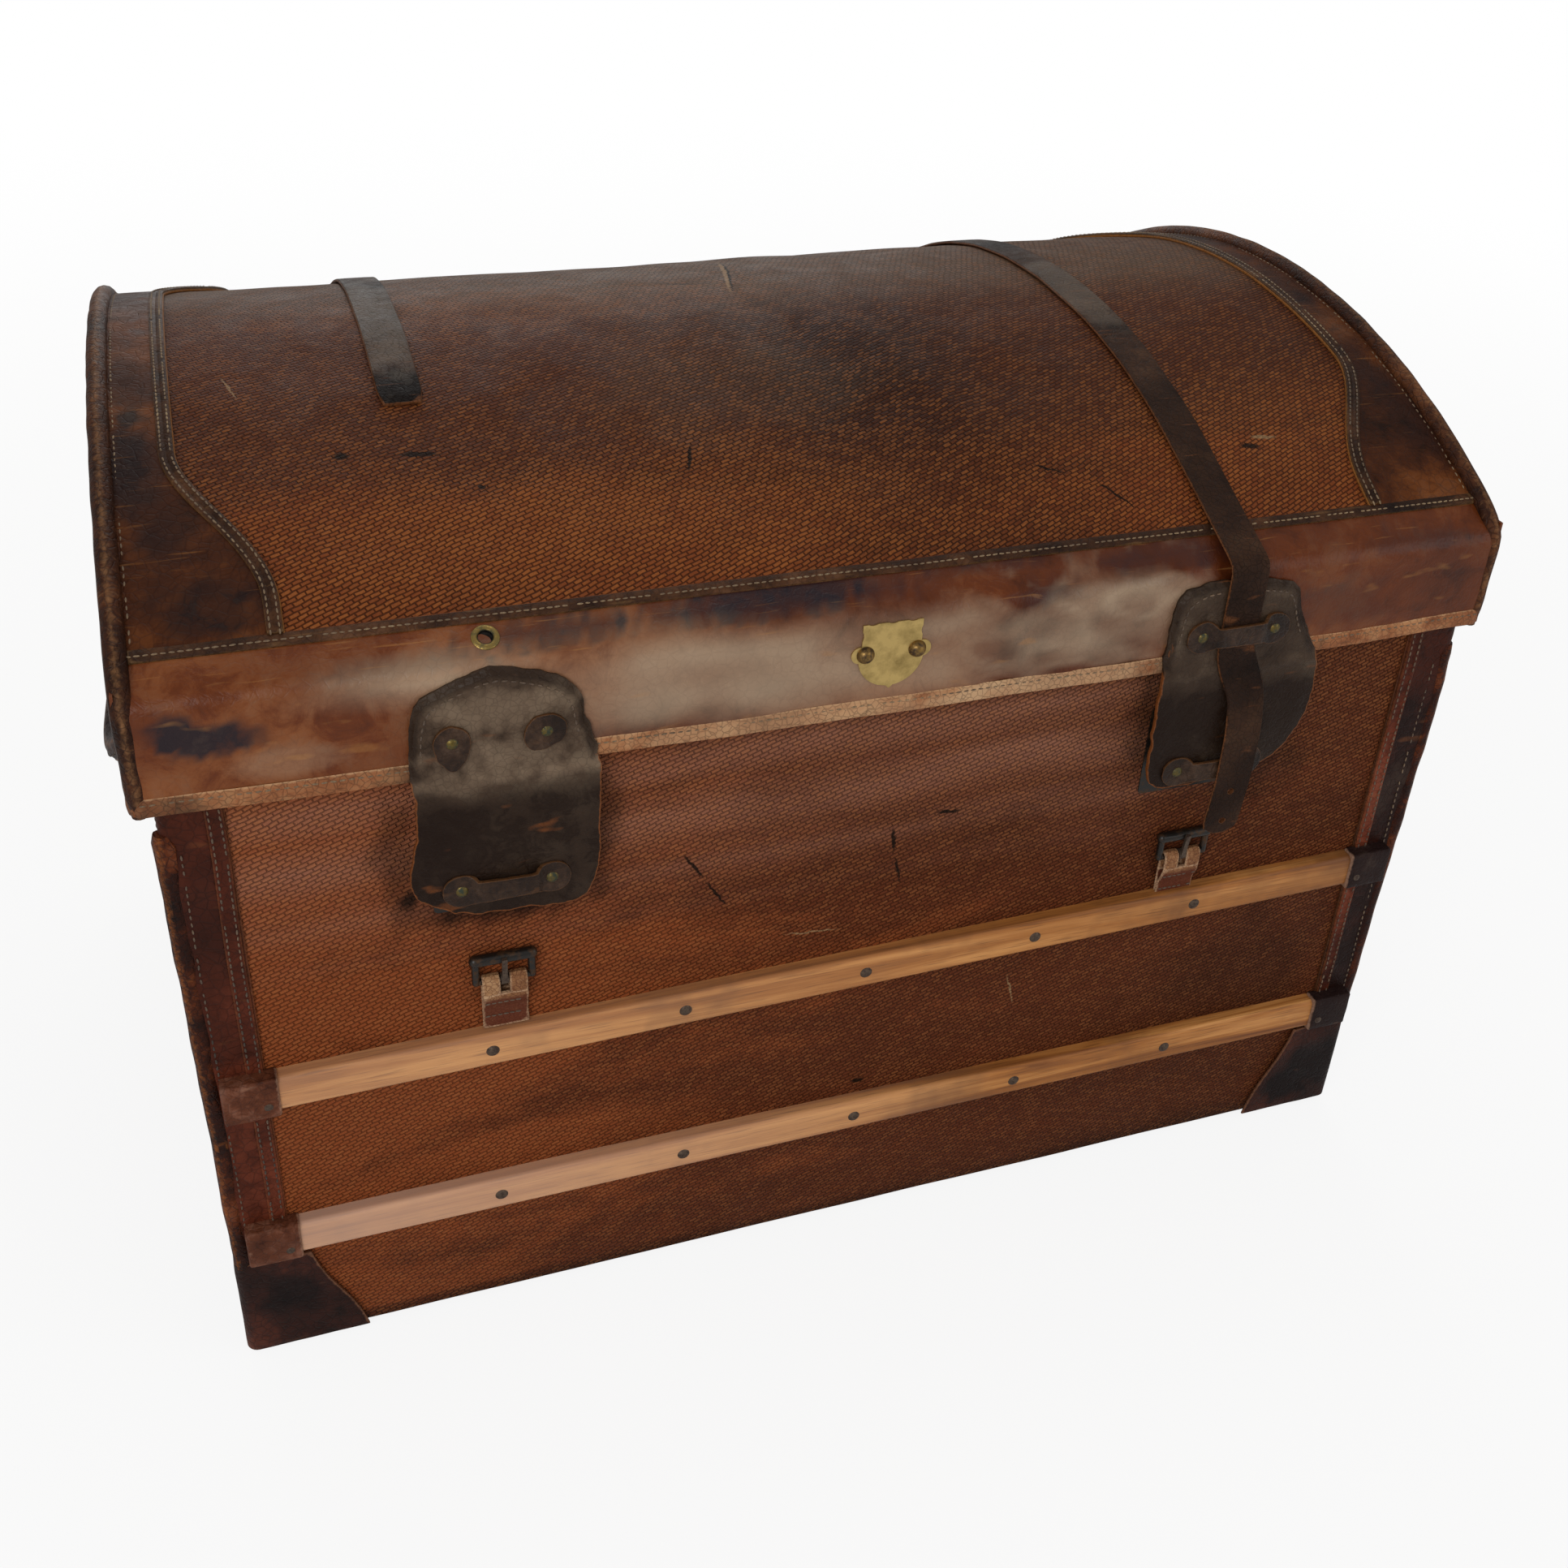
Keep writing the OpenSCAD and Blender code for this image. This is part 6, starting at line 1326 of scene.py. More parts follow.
def makeFlap(side, fall, s=flaps):
    outline = [(p.x, p.y) for p in rounded([(x, z, 0) for x, z in flapOutlines[side]], 2, closed=True)]
    middleX, middleZ = flapMiddles[side], s["middleZ"]
    worn, seed = (1.0, 3) if side == "left" else (0.25, 8)

    def lift(x, z, e):
        turned = s["rim"] * smooth(s["rimReach"], 1.0, e) * smooth(s["hangZ"] - 6, s["hangZ"] + 6, z)
        piping = 2.2 * math.exp(-((e - 3.4) / 1.8) ** 2) * smooth(486, 498, z)
        crease = 0.9 * math.exp(-((z - s["creaseZ"] - 0.8 * ripple(x, 0, 0, 30, 2)) / 3.2) ** 2)
        hang = (0.9 + 0.9 * ripple(x, 0, z, 46, 4) + 0.35 * ripple(x, 0, z, 14, 7)) * smooth(478, 440, z)
        swell = 0.35 + 0.4 * ripple(x, 0, z, 30, 5) * smooth(486, 500, z)
        return turned - crease - piping - s["faceY"] - max(hang, 0) - max(swell, 0) * smooth(0, 12, e)

    def blackened(p):
        broken = p.z + 4 * ripple(p.x, 0, p.z, 24, 3)
        return 0.56 - 0.5 * worn + (0.62 + 0.3 * worn) * smooth(484, 458, broken)

    def creaseShine(p):
        return worn * (0.5 + 0.5 * ripple(p.x, 0, p.z, 12, 6)) * math.exp(-((p.z - 482) / 7.0) ** 2)
    piece = plateOf(side + "FlapLeather", outline, (middleX, middleZ), lift, 22, 150, 1.0, seed)
    giveWall(piece, s["wall"], s["ease"])
    paintSpots(piece, "grime", [(middleX + 38, -318, 520, 26, 40, 16, 0.25),
                                (middleX - 30, -318, 440, 26, 40, 26, 0.2)], blackened, 3)
    paintSpots(piece, "shine", [(middleX, -318, 530, 46, 40, 16, 0.65 * worn),
                                (middleX - 22, -318, 500, 30, 40, 14, 0.5 * worn),
                                (middleX + 20, -318, 500, 30, 40, 14, 0.35 * worn)], creaseShine, 5)
    # the upper border is turned under: dark and whole, where the lower one is raw
    rims, grime = piece.data.attributes["edge"].data, piece.data.attributes["grime"].data
    for v in piece.data.vertices:
        if v.co.z > 0.486:
            grime[v.index].value += (0.25 + 0.4 * worn) * smooth(8, 4.5, rims[v.index].value)
            rims[v.index].value = max(rims[v.index].value, 2.4)
    shrunk = [(middleX + (x - middleX) * 0.88, middleZ + (z - middleZ) * 0.92) for x, z in outline]
    row = [Vector((x, lift(x, z, 8) - 0.1, z)) for x, z in shrunk if z > s["sewFrom"]]
    sewRow("flapDark", framesOf(row, (0, -1, 0), 6.0), 0, 0.1, 5.4, 41)
    return finishPiece(piece, "lid", flapLeather,
                       ["flap_upper_parts", "left_flap"] if side == "left" else ["right_flap"],
                       blendTo=(fall, (middleX * mm, -0.318, 0.489), (middleX * mm, -0.318, 0.473)))


makeFlap("left", "left_fall")
makeFlap("right", "right_fall")

# Bone-shaped keeper loops: flat riveted ends and a raised bridge; the left upper one is torn through
loops = dict(rivets=28, lobe=12, waist=7.5, faceY=320.5, bridge=4.5, bridgeFoot=23.6, bridgeTop=17.0,
             wall=2.5, ease=0.6, leftX=-252, rightX=249, upperZ=512, lowerZ=402)
tornMiddles = [(-280, 509), (-224, 511)]
tornEnds = [[(-280, 489), (-271, 500), (-268, 512), (-272, 521), (-280, 524), (-288, 521), (-292, 512),
             (-289, 500)], [(-236, 500), (-226, 498), (-213, 504), (-211, 516), (-219, 524), (-231, 523),
                            (-239, 512)]]


def boneEdge(s=loops):
    first = math.pi - math.asin(s["waist"] / s["lobe"])
    half = [(s["rivets"] + s["lobe"] * math.cos(first * (1 - i / 12)),
             s["lobe"] * math.sin(first * (1 - i / 12))) for i in range(13)]
    waist = [(half[0][0] * i / 5, s["waist"]) for i in range(5)]
    right = waist + half
    return [(-x, h) for x, h in right[:0:-1]] + right


def makeLoop(x0, z0, seed, s=loops):
    edge = boneEdge()

    def place(u, w):
        x, h = edge[round(u * (len(edge) - 1))]
        h *= 1 + 0.05 * ripple(x0 + x, z0, 0, 12, seed)
        z = (w - 0.5) * 2 * h
        bump = s["bridge"] * smooth(s["bridgeFoot"], s["bridgeTop"], abs(x))
        cup = 0.35 * (1 - (2 * w - 1) ** 2) + 0.2 * ripple(x, z0, z, 9, seed)
        e = min(h * (1 - abs(2 * w - 1)), s["rivets"] + s["lobe"] - abs(x))
        return x0 + x, -s["faceY"] - bump - max(cup, 0) * 0.6, z0 + z, x, z, e
    return giveWall(sheetOf("keeperLoop", len(edge) - 1, 8, place, closed=True), s["wall"], s["ease"])


def makeLoops(s=loops):
    def curled(x, z, e):
        return -s["faceY"] - 0.5 * smooth(0, 6, e) - 0.2 * ripple(x, 0, z, 8, 2)
    torn = []
    for outline, middle in zip(tornEnds, tornMiddles):
        cut = [(p.x, p.y) for p in rounded([(x, z, 0) for x, z in outline], 2, closed=True)]
        end = plateOf("tornLoopEnd", cut, middle, curled, 6, 40, 0.5, 4)
        torn.append(giveWall(end, s["wall"], s["ease"]))
    upper = joinPieces([makeLoop(s["rightX"], s["upperZ"], 2)] + torn, "upperKeeperLoops")
    finishPiece(upper, "lid", loopLeather, ["flap_loops_upper"])
    left = makeLoop(s["leftX"], s["lowerZ"], 5)
    left.name = "leftKeeperLoop"
    finishPiece(left, "left_fall", loopLeather, ["left_flap_loop"])
    right = makeLoop(s["rightX"], s["lowerZ"], 7)
    right.name = "rightKeeperLoop"
    return finishPiece(right, "right_fall", loopLeather, ["right_flap_loop"])


makeLoops()

# Straps over the dome: the right one runs down through the loops, the left one is torn off on the front slope
straps = dict(width=29, wall=3, rightX=249, leftX=-272, innerR=578.5, lift=222, wallY=318.3, backY=312.2,
              bend=8, backZ=503, joinZ=478, tailBack=325.7, tailFull=426, tip=347, holes=(358.6, 383.6),
              holeR=2.4, stub=116, step=7.0)


def strapBack(x, wall, side, s=straps):
    turn = math.asin(s["lift"] / s["innerR"])
    y = wall - s["bend"]
    z = archZ + s["innerR"] * math.cos(turn) - (s["bend"] + (y - s["lift"]) * math.sin(turn)) / math.cos(turn)
    arc = [archSpot(x, side * s["lift"] * (i / 30), s["innerR"] - domeR) for i in range(31)]
    for p in arc:
        p += archUp(p) * (max(domeRelief(x, p.y), 0) * 0.98 + 0.15)
    turns = [turn + (math.pi / 2 - turn) * i / 6 for i in range(7)]
    rest = [Vector((x, side * (y + s["bend"] * math.sin(a)), z + s["bend"] * math.cos(a))) for a in turns]
    return arc + rest


def strapFrames(path, step=straps["step"]):
    across = Vector((1, 0, 0))
    return [(p, d, d.cross(across).normalized(), t) for p, d, _, t in framesOf(path, across, step)]


def tailX(z, s=straps):
    return s["rightX"] + 15 * smooth(503, 455, z) - 4 * smooth(400, s["tip"], z)


def tailDepth(z, s=straps):
    swung = (s["tailBack"] - s["wallY"]) * smooth(479, s["tailFull"], z)
    return s["wallY"] + swung + 0.9 * smooth(400, 350, z)


def strapTone(piece, seed):
    # darker from the crown down the front
    paintSpots(piece, "grime", [], lambda p: 0.16 + 0.2 * ripple(p.x, p.y * 0.3, p.z, 40, seed)
               + 0.3 * smooth(-120, -250, p.y), seed)
    # a paler patch on each crown: rubbed wear and a painted highlight
    rubs = [(249, -20, 650, 30, 90, 60, 0.3), (-272, 20, 650, 30, 120, 60, 0.3)]
    paintSpots(piece, "shine", rubs, 0.0, seed)


# No worn edge is drawn where two lengths of one strap meet
def calmEnd(piece, joint):
    rims = piece.data.attributes["edge"].data
    for v in piece.data.vertices:
        p = v.co / mm
        if (p - joint).length < 26:
            rims[v.index].value = max(rims[v.index].value, min(14.5 - abs(p.x - joint.x), 14) + 0.5)


def makeRightStrap(s=straps):
    def wide(t):
        return strapSection(s["width"] * (1 + 0.02 * ripple(t * 800, 0, 0, 60, 2)), s["wall"])
    back = strapBack(s["rightX"], s["backY"], 1)
    front = strapBack(s["rightX"], s["wallY"], -1)
    path = [Vector((s["rightX"], s["backY"], s["backZ"]))] + back[::-1] + front[1:]
    path += [Vector((tailX(z), -s["wallY"], z)) for z in (530, 515, 505, 500, 495, 490, 485, 481)]
    path += [Vector((tailX(z), -tailDepth(z), z)) for z in list(range(477, s["tip"], -6)) + [s["tip"]]]
    run = strapFrames(path, 5.0)
    cutAt = min(i for i, f in enumerate(run) if f[0].y < 0 and f[0].z < s["joinZ"])
    right = sweepOf("rightStrap", run[:cutAt + 1], wide)
    calmEnd(right, run[cutAt][0])
    strapTone(right, 3)
    finishPiece(right, "lid", strapLeather, ["right_strap"],
                blendTo=("right_fall", (0.252, -0.319, 0.489), (0.252, -0.319, 0.4795)))
    return [(p, d, up, t - run[cutAt][3]) for p, d, up, t in run[cutAt:]]


def makeTail(frames, s=straps):
    def tapered(t):
        end = max(0.0, (t - 0.93) / 0.07)
        narrow = math.sqrt(max(1 - 0.86 * end * end, 0.05))
        return strapSection(s["width"] * narrow, s["wall"] * (1 - 0.25 * end))
    tail = sweepOf("rightStrapTail", frames, tapered)
    calmEnd(tail, frames[0][0])
    # rubbed across its width where the loop pressed on it
    rims = tail.data.attributes["edge"].data
    for v in tail.data.vertices:
        if 0.43 < v.co.z < 0.5:
            rims[v.index].value = min(rims[v.index].value, 1.6 + 8 * smooth(0.455, 0.435, v.co.z))
    for z in s["holes"]:
        clearSelection()
        through = (tailX(z) * mm, -(tailDepth(z) + s["wall"] / 2) * mm, z * mm)
        bpy.ops.mesh.primitive_cylinder_add(vertices=20, radius=s["holeR"] * mm, depth=14 * mm,
                                            location=through, rotation=(math.pi / 2, 0, 0))
        punch = bpy.context.object
        useModifier(tail, "BOOLEAN", object=punch, operation="DIFFERENCE", solver="EXACT")
        bpy.data.objects.remove(punch)
    strapTone(tail, 5)
    return finishPiece(tail, "right_fall", strapLeather, ["right_strap_tail"],
                       blendTo=("strap_tail", (0.252, -0.3205, 0.4765), (0.256, -0.3225, 0.462)))


def makeStub(s=straps):
    x = s["leftX"]
    path = [Vector((x, s["backY"], s["backZ"]))] + strapBack(x, s["backY"], 1)[::-1]
    path += [p for p in strapBack(x, s["wallY"], -1)[1:] if p.y > -s["stub"]]

    def torn(t):
        worn = 1 - 0.16 * smooth(0.975, 1.0, t) + 0.03 * ripple(t * 900, 0, 0, 9, 6) * smooth(0.9, 1.0, t)
        return strapSection(s["width"] * worn, s["wall"] * (1 - 0.45 * smooth(0.985, 1.0, t)))
    stub = sweepOf("leftStrapStub", strapFrames(path), torn)
    strapTone(stub, 7)
    paintSpots(stub, "grime", [(x, -98, 634, 22, 34, 30, 1.0)], 0.34, 7)
    return finishPiece(stub, "lid", strapLeather, ["left_strap_stub"])


makeTail(makeRightStrap())
makeStub()
print("flaps, loops and straps made")

# Chapes: leather folded round a buckle's bar, slotted for the prong and sewn down as a tab
chapes = dict(width=30, strip=11.8, stripOff=9.0, wall=2.4, ease=0.7, inner=2.35, gap=5.0, slotEnd=9,
              frontTab=41, endTab=47, frontBars=((-255, -304.05, 312), (249, -304.05, 312)), endBarX=464.05,
              endBarZ=558)


def makeChape(group, bar, outward, downward, tab, seed, s=chapes):
    o, n, a = Vector(bar), Vector(outward), Vector(downward)
    w = n.cross(a)
    r = s["inner"]

    def spot(out, down, shift=0.0):
        return o + n * out + a * down + w * shift

    def frames(path):
        return [(p, d, d.cross(w).normalized(), t) for p, d, _, t in framesOf(path, w, 1.7)]
    parts = []
    over = [(-r * math.cos(math.pi * i / 8), -r * math.sin(math.pi * i / 8)) for i in range(9)]
    for shift in (-s["stripOff"], s["stripOff"]):
        path = [spot(x, y, shift) for x, y in [(-r, 14)] + over + [(r, s["slotEnd"] + 1.2)]]
        parts.append(sweepOf("chapeFold", frames(path), strapSection(s["strip"], s["wall"], s["ease"])))
    face = [(r, s["slotEnd"]), (r, 11), (1.9, 13.5), (0.9, 17), (-0.9, 20.5), (-2.1, 24), (-2.5, 28),
            (-2.5, tab)]

    def faceWide(t):
        return strapSection(s["width"] * (1 + 0.03 * ripple(t * 60, seed, 0, 14, 3)), s["wall"], s["ease"])
    parts.append(sweepOf("chapeFace", frames([spot(x, y) for x, y in face]), faceWide))
    parts.append(sweepOf("chapeBack", frames([spot(-s["gap"], s["slotEnd"] + 1), spot(-s["gap"], tab)]),
                         strapSection(s["width"], s["wall"], s["ease"])))
    for down in (17.5, 31.0):
        line = [(spot(1.0 if down < 20 else -2.4, down, k), w, n, k) for k in (-12.0, -6.0, 0.0, 6.0, 12.0)]
        sewRow(group, line, 0, s["wall"] + (0.1 if down > 20 else -0.1), 4.0, seed)
    return parts


def makeChapes(s=chapes):
    front, ends = [], []
    for k, bar in enumerate(s["frontBars"]):
        front += makeChape("bodyTan", bar, (0, -1, 0), (0, 0, -1), s["frontTab"], 51 + k)
    for side in (-1, 1):
        bar = (side * s["endBarX"], 0, s["endBarZ"])
        ends += makeChape("lidTan", bar, (side, 0, 0), (0, 0, 1), s["endTab"], 53 + side)
    folds = joinPieces(front, "frontBuckleChapes")
    paintSpots(folds, "grime", [], lambda p: 1.1 * smooth(301, 296, p.z), 4)
    finishPiece(folds, "trunk_body", chapeLeather, ["front_buckle_chapes"])
    folds = joinPieces(ends, "lidEndChapes")
    paintSpots(folds, "grime", [], lambda p: 0.5 + 0.6 * smooth(566, 575, p.z), 4)
    return finishPiece(folds, "lid", tabLeather, ["lid_end_chapes"])


makeChapes()

# Eyelet pressed through the skirt above the left flap: a rolled brass ring round a hole that is closed by
# a disc painted near-black, painted shade
eyelet = dict(x=-254, y=-296, outer=8.6, hole=4.3, high=2.0)


def makeEyelet(s=eyelet):
    centre = Vector((s["x"], s["y"], archZ + math.sqrt(skirtR ** 2 - s["y"] ** 2)))
    n = archUp(centre)
    side = Vector((1, 0, 0))
    over = n.cross(side)
    profile = [(s["outer"], 0.2), (s["outer"] - 0.3, 1.2), (s["outer"] - 1.6, s["high"]),
               (s["hole"] + 1.2, s["high"]), (s["hole"] + 0.2, 1.4), (s["hole"], 0.5), (0.6, 0.4)]

    def place(u, w):
        r, h = profile[round(w * (len(profile) - 1))]
        a = 2 * math.pi * u
        p = centre + side * (r * math.cos(a)) + over * (r * math.sin(a)) + n * (h + 0.2)
        return p.x, p.y, p.z, a * r, h, 1.0
    ring = sheetOf("eyeletRing", 32, len(profile) - 1, place, closed=True)
    editAll(ring, bpy.ops.mesh.fill_holes, sides=0)
    paintSpots(ring, "hole", [], lambda p: 1.0 if (p - centre).length < s["hole"] + 0.6 else 0.0)
    return finishPiece(ring, "lid", eyeletBrass, ["brass_eyelet"])


makeEyelet()

# Handle grips: leather sewn round a rope core, thick in the middle, with flat eyes round the pins
gripLeather = tannedLeather("blackenedGripLeather", dark="#1a100d", mid="#33201a", light="#56382a",
    worn="#7f5638", patch=50, craze=4.0, crazeDepth=1.0, bump=0.5, gloss=0.28)
grips = dict(pivotX=461, pivotZ=408, ring=65, lean=22, thick=10.3, thin=6.6, eyeR=7, pinR=3.25, eyeWide=12,
             seamOff=6.2, seamIn=2.4)


# 0 at the ends of a grip and 1 over its thick part
def gripFull(t):
    return smooth(0.0, 0.22, min(t, 1 - t))


def makeGripEye(pivot, end, s=grips):
    half = s["eyeWide"] / 2
    ring = [(s["eyeR"], -half), (s["eyeR"] + 0.15, 0), (s["eyeR"], half), (s["pinR"], half),
            (s["pinR"], -half), (s["eyeR"], -half)]

    def place(u, w):
        r, over = ring[round(w * (len(ring) - 1))]
        a = 2 * math.pi * u
        return (pivot.x + r * math.cos(a), end * s["ring"] + over, pivot.z + r * math.sin(a), a * r, over,
                half - abs(over))
    eye = sheetOf("gripEye", 28, len(ring) - 1, place, closed=True)
    editAll(eye, bpy.ops.mesh.normals_make_consistent, inside=False)
    return eye


def makeGrip(side, body, s=grips):
    tilt = math.radians(s["lean"])
    pivot = Vector((side * s["pivotX"], 0, s["pivotZ"]))

    def spot(turn):
        y, down = s["ring"] * math.cos(turn), s["ring"] * math.sin(turn)
        return pivot + Vector((side * math.sin(tilt) * down, y, -math.cos(tilt) * down))
    path = [spot(math.pi * (0.035 + 0.93 * i / 48)) for i in range(49)]
    frames = framesOf(path, (side, 0, 0.3), 4.5)

    def section(t):
        full = gripFull(t)
        puff = s["thin"] + (s["thick"] - s["thin"]) * full + 0.25 * ripple(t * 190, side, 0, 22, 3)
        ring = ringSection(puff, puff, 16)
        return [(x * (1.0 - 0.12 * (1 - full)), y * (0.82 + 0.18 * full)) for x, y in ring]
    parts = [sweepOf("gripTube", frames, section, crest=True)] + [makeGripEye(pivot, end) for end in (-1, 1)]
    piece = joinPieces(parts, body.replace("_", " ").title().replace(" ", "") + "Leather")
    paintSpots(piece, "grime", [(side * 490, 0, 345, 40, 40, 30, 0.5)], 0.25, 6)
    # the sewn seam runs along the outer edge of the ring
    total = frames[-1][3]
    seam = []
    for p, d, up, t in frames:
        if 0.08 < t / total < 0.92:
            outer = (p - pivot).normalized()
            reach = s["thin"] + (s["thick"] - s["thin"]) * gripFull(t / total)
            seam.append((p + outer * (reach + 0.1), d, outer, t))
    seamRidge = sweepOf("gripSeam", seam, [(-1.8, -1.6), (-1.5, 0.6), (0, 1.1), (1.5, 0.6), (1.8, -1.6)])
    piece = joinPieces([piece, seamRidge], piece.name)
    beside = [(p - outer * s["seamIn"], d, outer, t) for p, d, outer, t in seam]
    sewRow(body, beside, s["seamOff"], 0.6, 5.0, 61)
    sewRow(body, beside, -s["seamOff"], 0.6, 5.0, 62)
    node = "left_handle" if side < 0 else "right_handle"
    return finishPiece(piece, body, gripLeather, [node])


makeGrip(-1, "left_grip")
makeGrip(1, "right_grip")

# Leather pockets nailed over the battens' ends
pocketLeather = tannedLeather("nailedPocketLeather", dark="#35190f", mid="#58301f", light="#7f5442",
    worn="#9a7660", patch=40, bump=0.4)
pockets = dict(inner=403, outer=438.5, high=32.5, backY=299.2, faceY=312.4, ease=3.2, cuts=6, rimX=17.7,
               rimZ=16, bulge=0.7, lowerZ=117, upperZ=260, upperLean=1)


# side is the end of the batten, and face the front or the back of the trunk
def makePocket(side, face, z, lean, s=pockets):
    middleX, middleY = (s["inner"] + s["outer"]) / 2, (s["backY"] + s["faceY"]) / 2
    clearSelection()
    bpy.ops.mesh.primitive_cube_add(size=1)
    box = bpy.context.object
    box.name = "battenPocket"
    editAll(box, bpy.ops.transform.resize,
            value=((s["outer"] - s["inner"]) * mm, (s["faceY"] - s["backY"]) * mm, s["high"] * mm))
    editAll(box, bpy.ops.mesh.subdivide, number_cuts=s["cuts"])
    easeEdges(box, s["ease"], 3)
    edge = box.data.attributes.new("edge", "FLOAT", "POINT")
    values = []
    for v in box.data.vertices:
        p = v.co / mm
        bulge = s["bulge"] * smooth(0, 7, s["rimZ"] - abs(p.z)) * smooth(0, 7, s["rimX"] - abs(p.x))
        dents = 0.35 * ripple(p.x + side * 50, p.z + z, face * 9, 11, 3)
        p.y += face * (bulge + dents) * smooth(0, 3, face * p.y)
        values.append(min(s["rimX"] + p.x * side, 30))
        x = side * middleX + p.x
        v.co = Vector((x, face * middleY + p.y, z + p.z + math.tan(lean) * x)) * mm
    edge.data.foreach_set("value", values)
    return box


def makePockets(s=pockets):
    tilt = math.radians(s["upperLean"])
    places = [(-1, s["lowerZ"], 0), (-1, s["upperZ"], tilt), (1, s["lowerZ"], 0), (1, s["upperZ"], 0)]
    boxes = [makePocket(side, *place) for side in (-1, 1) for place in places]
    piece = joinPieces(boxes, "battenPocketLeathers")

    # the right pockets much darker than the left
    def stained(p):
        return (1.4 if p.x > 0 else 0.1) + 0.2 * ripple(p.x, p.y, p.z, 20, 3)
    paintSpots(piece, "grime", [], stained, 9)
    return finishPiece(piece, "trunk_body", pocketLeather, ["batten_pockets"])


makePockets()

# Leather over the top edge of the body's neck
neck = dict(halfX=448, halfY=301, r=6, wall=0.9, top=522.0, seamIn=6, pitch=5.6)


def makeNeck(s=neck):
    profile = [(0.0, 517.5), (0.2, 519.6), (0.1, 521.0), (-0.8, 521.7), (-3, 522.0), (-9.5, 522.0),
               (-12.4, 521.8), (-13.4, 521.1), (-13.8, 519.6), (-13.7, 513), (-13.8, 507.4), (-13.3, 506.6),
               (-12.4, 506.2)]
    piece = loopSheet("neckBindingLeather", s["halfX"], s["halfY"], s["r"], profile, 9.0,
                      lambda x, y, z: 0.12 * ripple(x, y, z, 18, 4), None, raw=True)
    giveWall(piece, s["wall"])
    for y in (-1, 1):
        row = [(x, y * (s["halfY"] - s["seamIn"]), s["top"]) for x in range(-436, 437, 8)]
        sewRow("bodyTan", framesOf(row, (0, 0, 1)), 0, 0.1, s["pitch"], 71)
    for x in (-1, 1):
        row = [(x * (s["halfX"] - s["seamIn"]), y, s["top"]) for y in range(-288, 289, 8)]
        sewRow("bodyTan", framesOf(row, (0, 0, 1)), 0, 0.1, s["pitch"], 72)
    return finishPiece(piece, "trunk_body", neckLeather, ["neck_binding"])


makeNeck()

# Linen pasted inside the body and the lid
lining = dict(halfX=435.4, halfY=288.4, r=4, floor=18.6, bodyTop=519, rows=36, lidX=450.9, lidY=303.9,
              lidLow=488, innerR=570.6, bend=10, drop=11, wall=0.8)


# The vault meets the long walls over a small fillet
def liningTop(y, s=lining):
    def dome(y):
        return archZ + math.sqrt(s["innerR"] ** 2 - y * y)
    t = math.sqrt((s["lidY"] - abs(y)) / s["bend"])
    if t >= 1:
        return dome(y)
    corner, shoulder = dome(s["lidY"]), dome(s["lidY"] - s["bend"])
    return (corner - s["drop"]) * (1 - t) ** 2 + 2 * corner * t * (1 - t) + shoulder * t * t


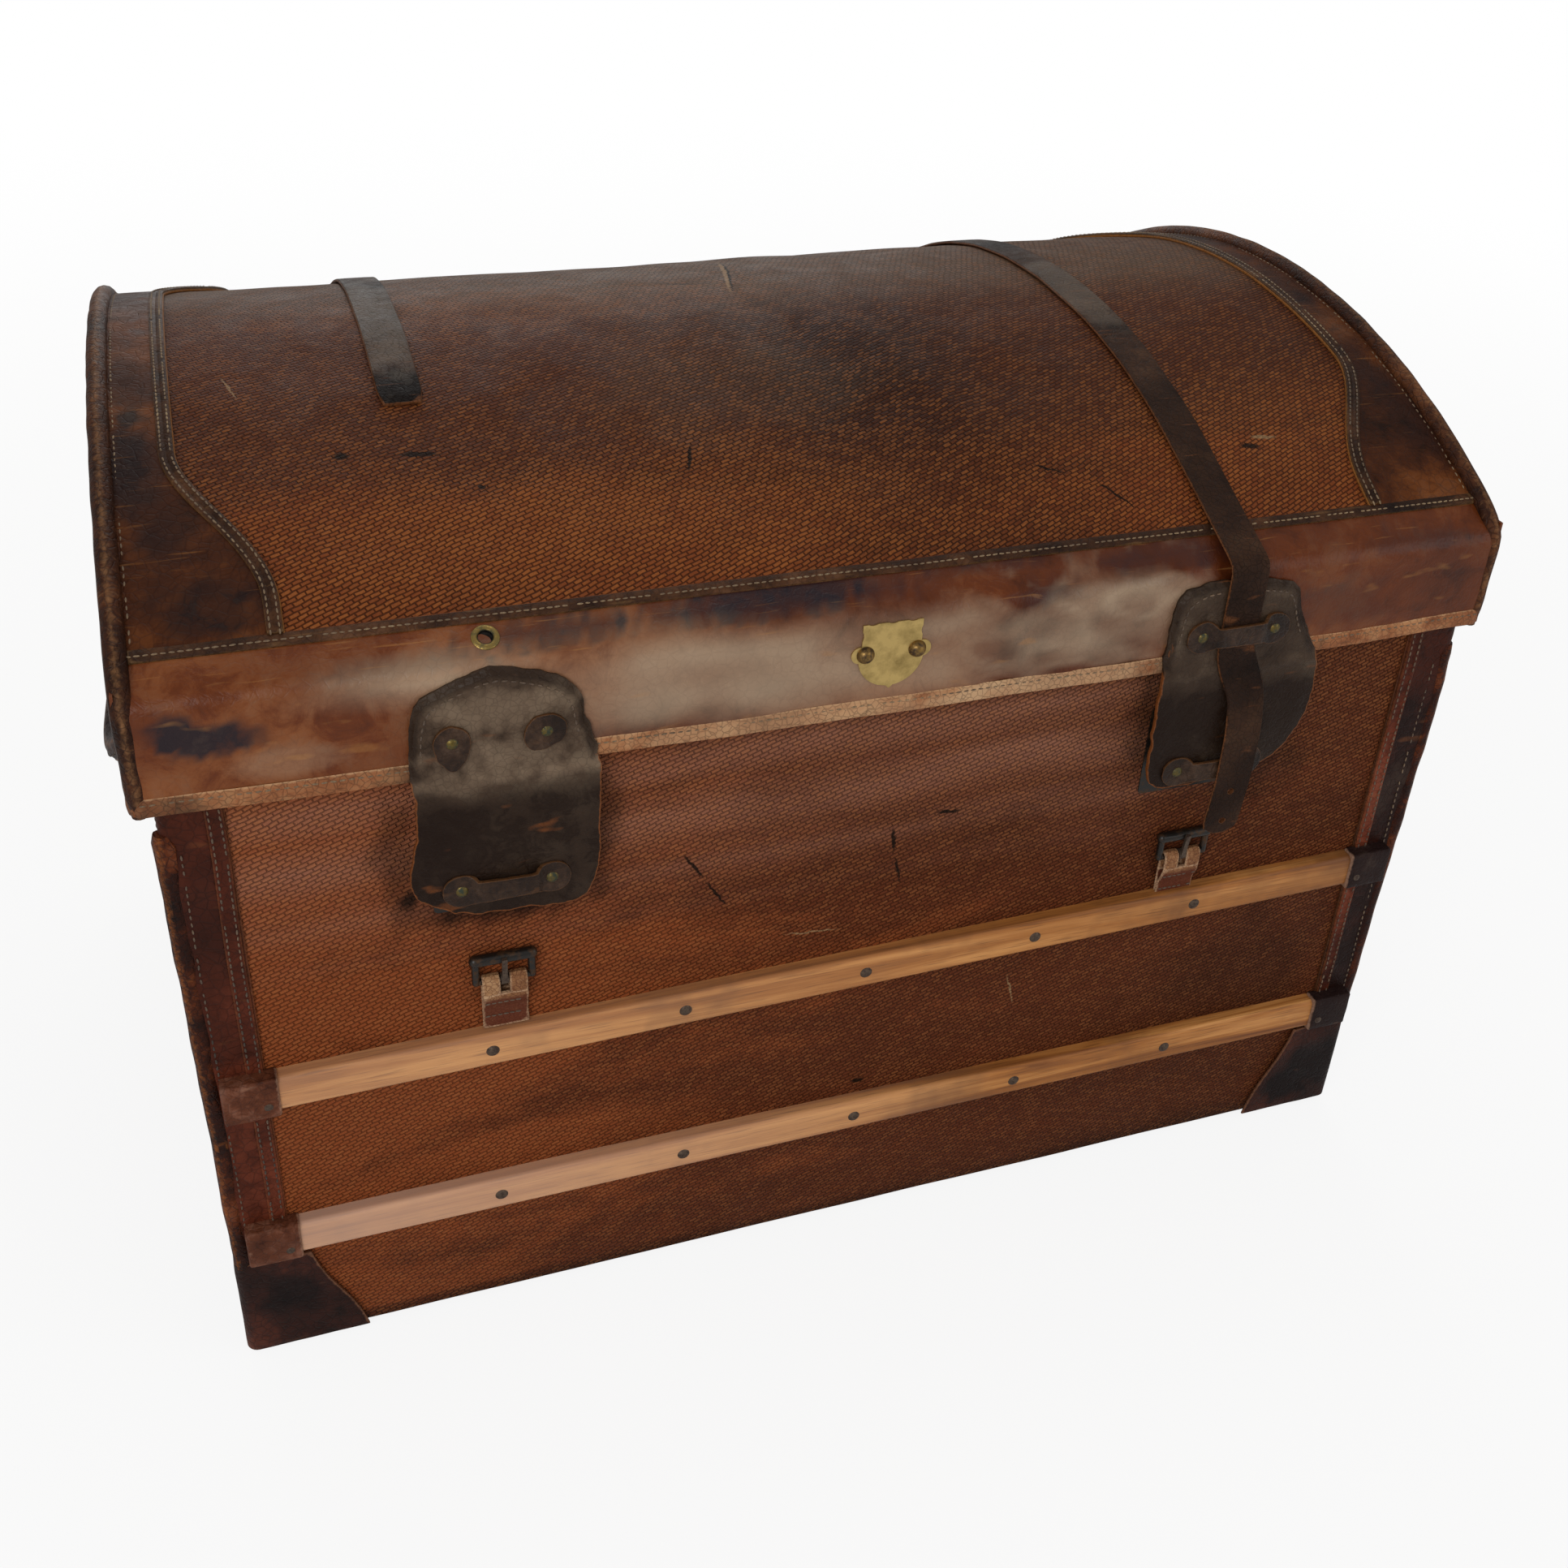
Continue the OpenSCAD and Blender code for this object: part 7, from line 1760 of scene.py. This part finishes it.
def makeBodyLining(s=lining):
    profile = [(0, s["bodyTop"] + (s["floor"] - s["bodyTop"]) * i / s["rows"]) for i in range(s["rows"] + 1)]
    walls = loopSheet("liningWalls", s["halfX"], s["halfY"], s["r"], profile, 14,
                      lambda x, y, z: -0.12 * abs(ripple(x, y, z, 60, 2)))

    def floor(u, w):
        x, y = (u - 0.5) * 2 * s["halfX"], (w - 0.5) * 2 * s["halfY"]
        return x, y, s["floor"] + 0.25 * abs(ripple(x, y, 0, 70, 3)), x, y, noEdge

    # darker near the floor, in the upright corners and near the top
    def damp(p):
        corner = 0.5 * smooth(400, 432, abs(p.x)) * smooth(250, 286, abs(p.y))
        return 0.15 + 0.5 * smooth(60, 18, p.z) + corner + 0.35 * smooth(480, 510, p.z)
    parts = [giveWall(walls, s["wall"]), giveWall(sheetOf("liningFloor", 60, 40, floor), s["wall"])]
    body = joinPieces(parts, "bodyLiningLinen")
    paintSpots(body, "grime", [(200, 288, 120, 120, 40, 70, 0.8), (-300, 288, 60, 110, 40, 60, 0.7),
                               (-120, 40, 18, 150, 110, 40, 0.7), (250, -150, 18, 90, 120, 40, 0.5),
                               (-435, 60, 60, 40, 90, 70, 0.6), (435, -120, 400, 40, 90, 60, 0.5)], damp, 3)
    return finishPiece(body, "trunk_body", liningLinen, ["body_lining"])


def makeLidLining(s=lining):
    wall = [(s["lidY"], s["lidLow"] + (liningTop(s["lidY"]) - s["lidLow"]) * i / 6) for i in range(6)]
    inner = s["lidY"] - s["bend"]
    vaultYs = [s["lidY"] - s["bend"] * (i / 5) ** 2 for i in range(5)]
    vaultYs += [inner * (1 - i / 26) for i in range(27)]
    vaultYs += [-y for y in vaultYs[-2::-1]]
    arch = [(y, liningTop(y)) for y in vaultYs]
    section = wall + arch + [(-y, z) for y, z in wall[::-1]]
    girth = runOf(section)

    def vault(u, w):
        x = (u - 0.5) * 2 * s["lidX"]
        i = round(w * (len(section) - 1))
        y, z = section[i]
        return x, y, z, x, girth[i], noEdge
    parts = [giveWall(sheetOf("lidVault", 64, len(section) - 1, vault), s["wall"])]
    for side in (-1, 1):
        def gable(u, w):
            y, top = arch[::-1][round(u * (len(arch) - 1))]
            z = s["lidLow"] + w * (top - s["lidLow"])
            return side * s["lidX"], -side * y, z, -side * y, z, noEdge
        parts.append(giveWall(sheetOf("lidGable", len(arch) - 1, 10, gable), s["wall"]))
    lid = joinPieces(parts, "lidLiningLinen")
    # darker towards the ends and the long walls
    paintSpots(lid, "grime", [(-160, 60, 636, 140, 100, 60, 0.7), (280, -120, 625, 100, 90, 60, 0.6),
                              (60, 200, 600, 160, 70, 60, 0.5)],
               lambda p: 0.15 + 0.5 * smooth(425, 450, abs(p.x)) + 0.5 * smooth(285, 303, abs(p.y)), 4)
    return finishPiece(lid, "lid", liningLinen, ["lid_lining"])


makeBodyLining()
makeLidLining()
print("chapes, grips, pockets and linings made")

makeStitches("lidTan", "lidStitches", "lid", waxedThread)
for group, name, body in (("flapDark", "flapStitches", "lid"), ("bodyTan", "bodyStitches", "trunk_body"),
                          ("left_grip", "leftGripStitches", "left_grip"),
                          ("right_grip", "rightGripStitches", "right_grip")):
    makeStitches(group, name, body, darkThread)
print("stitches made")
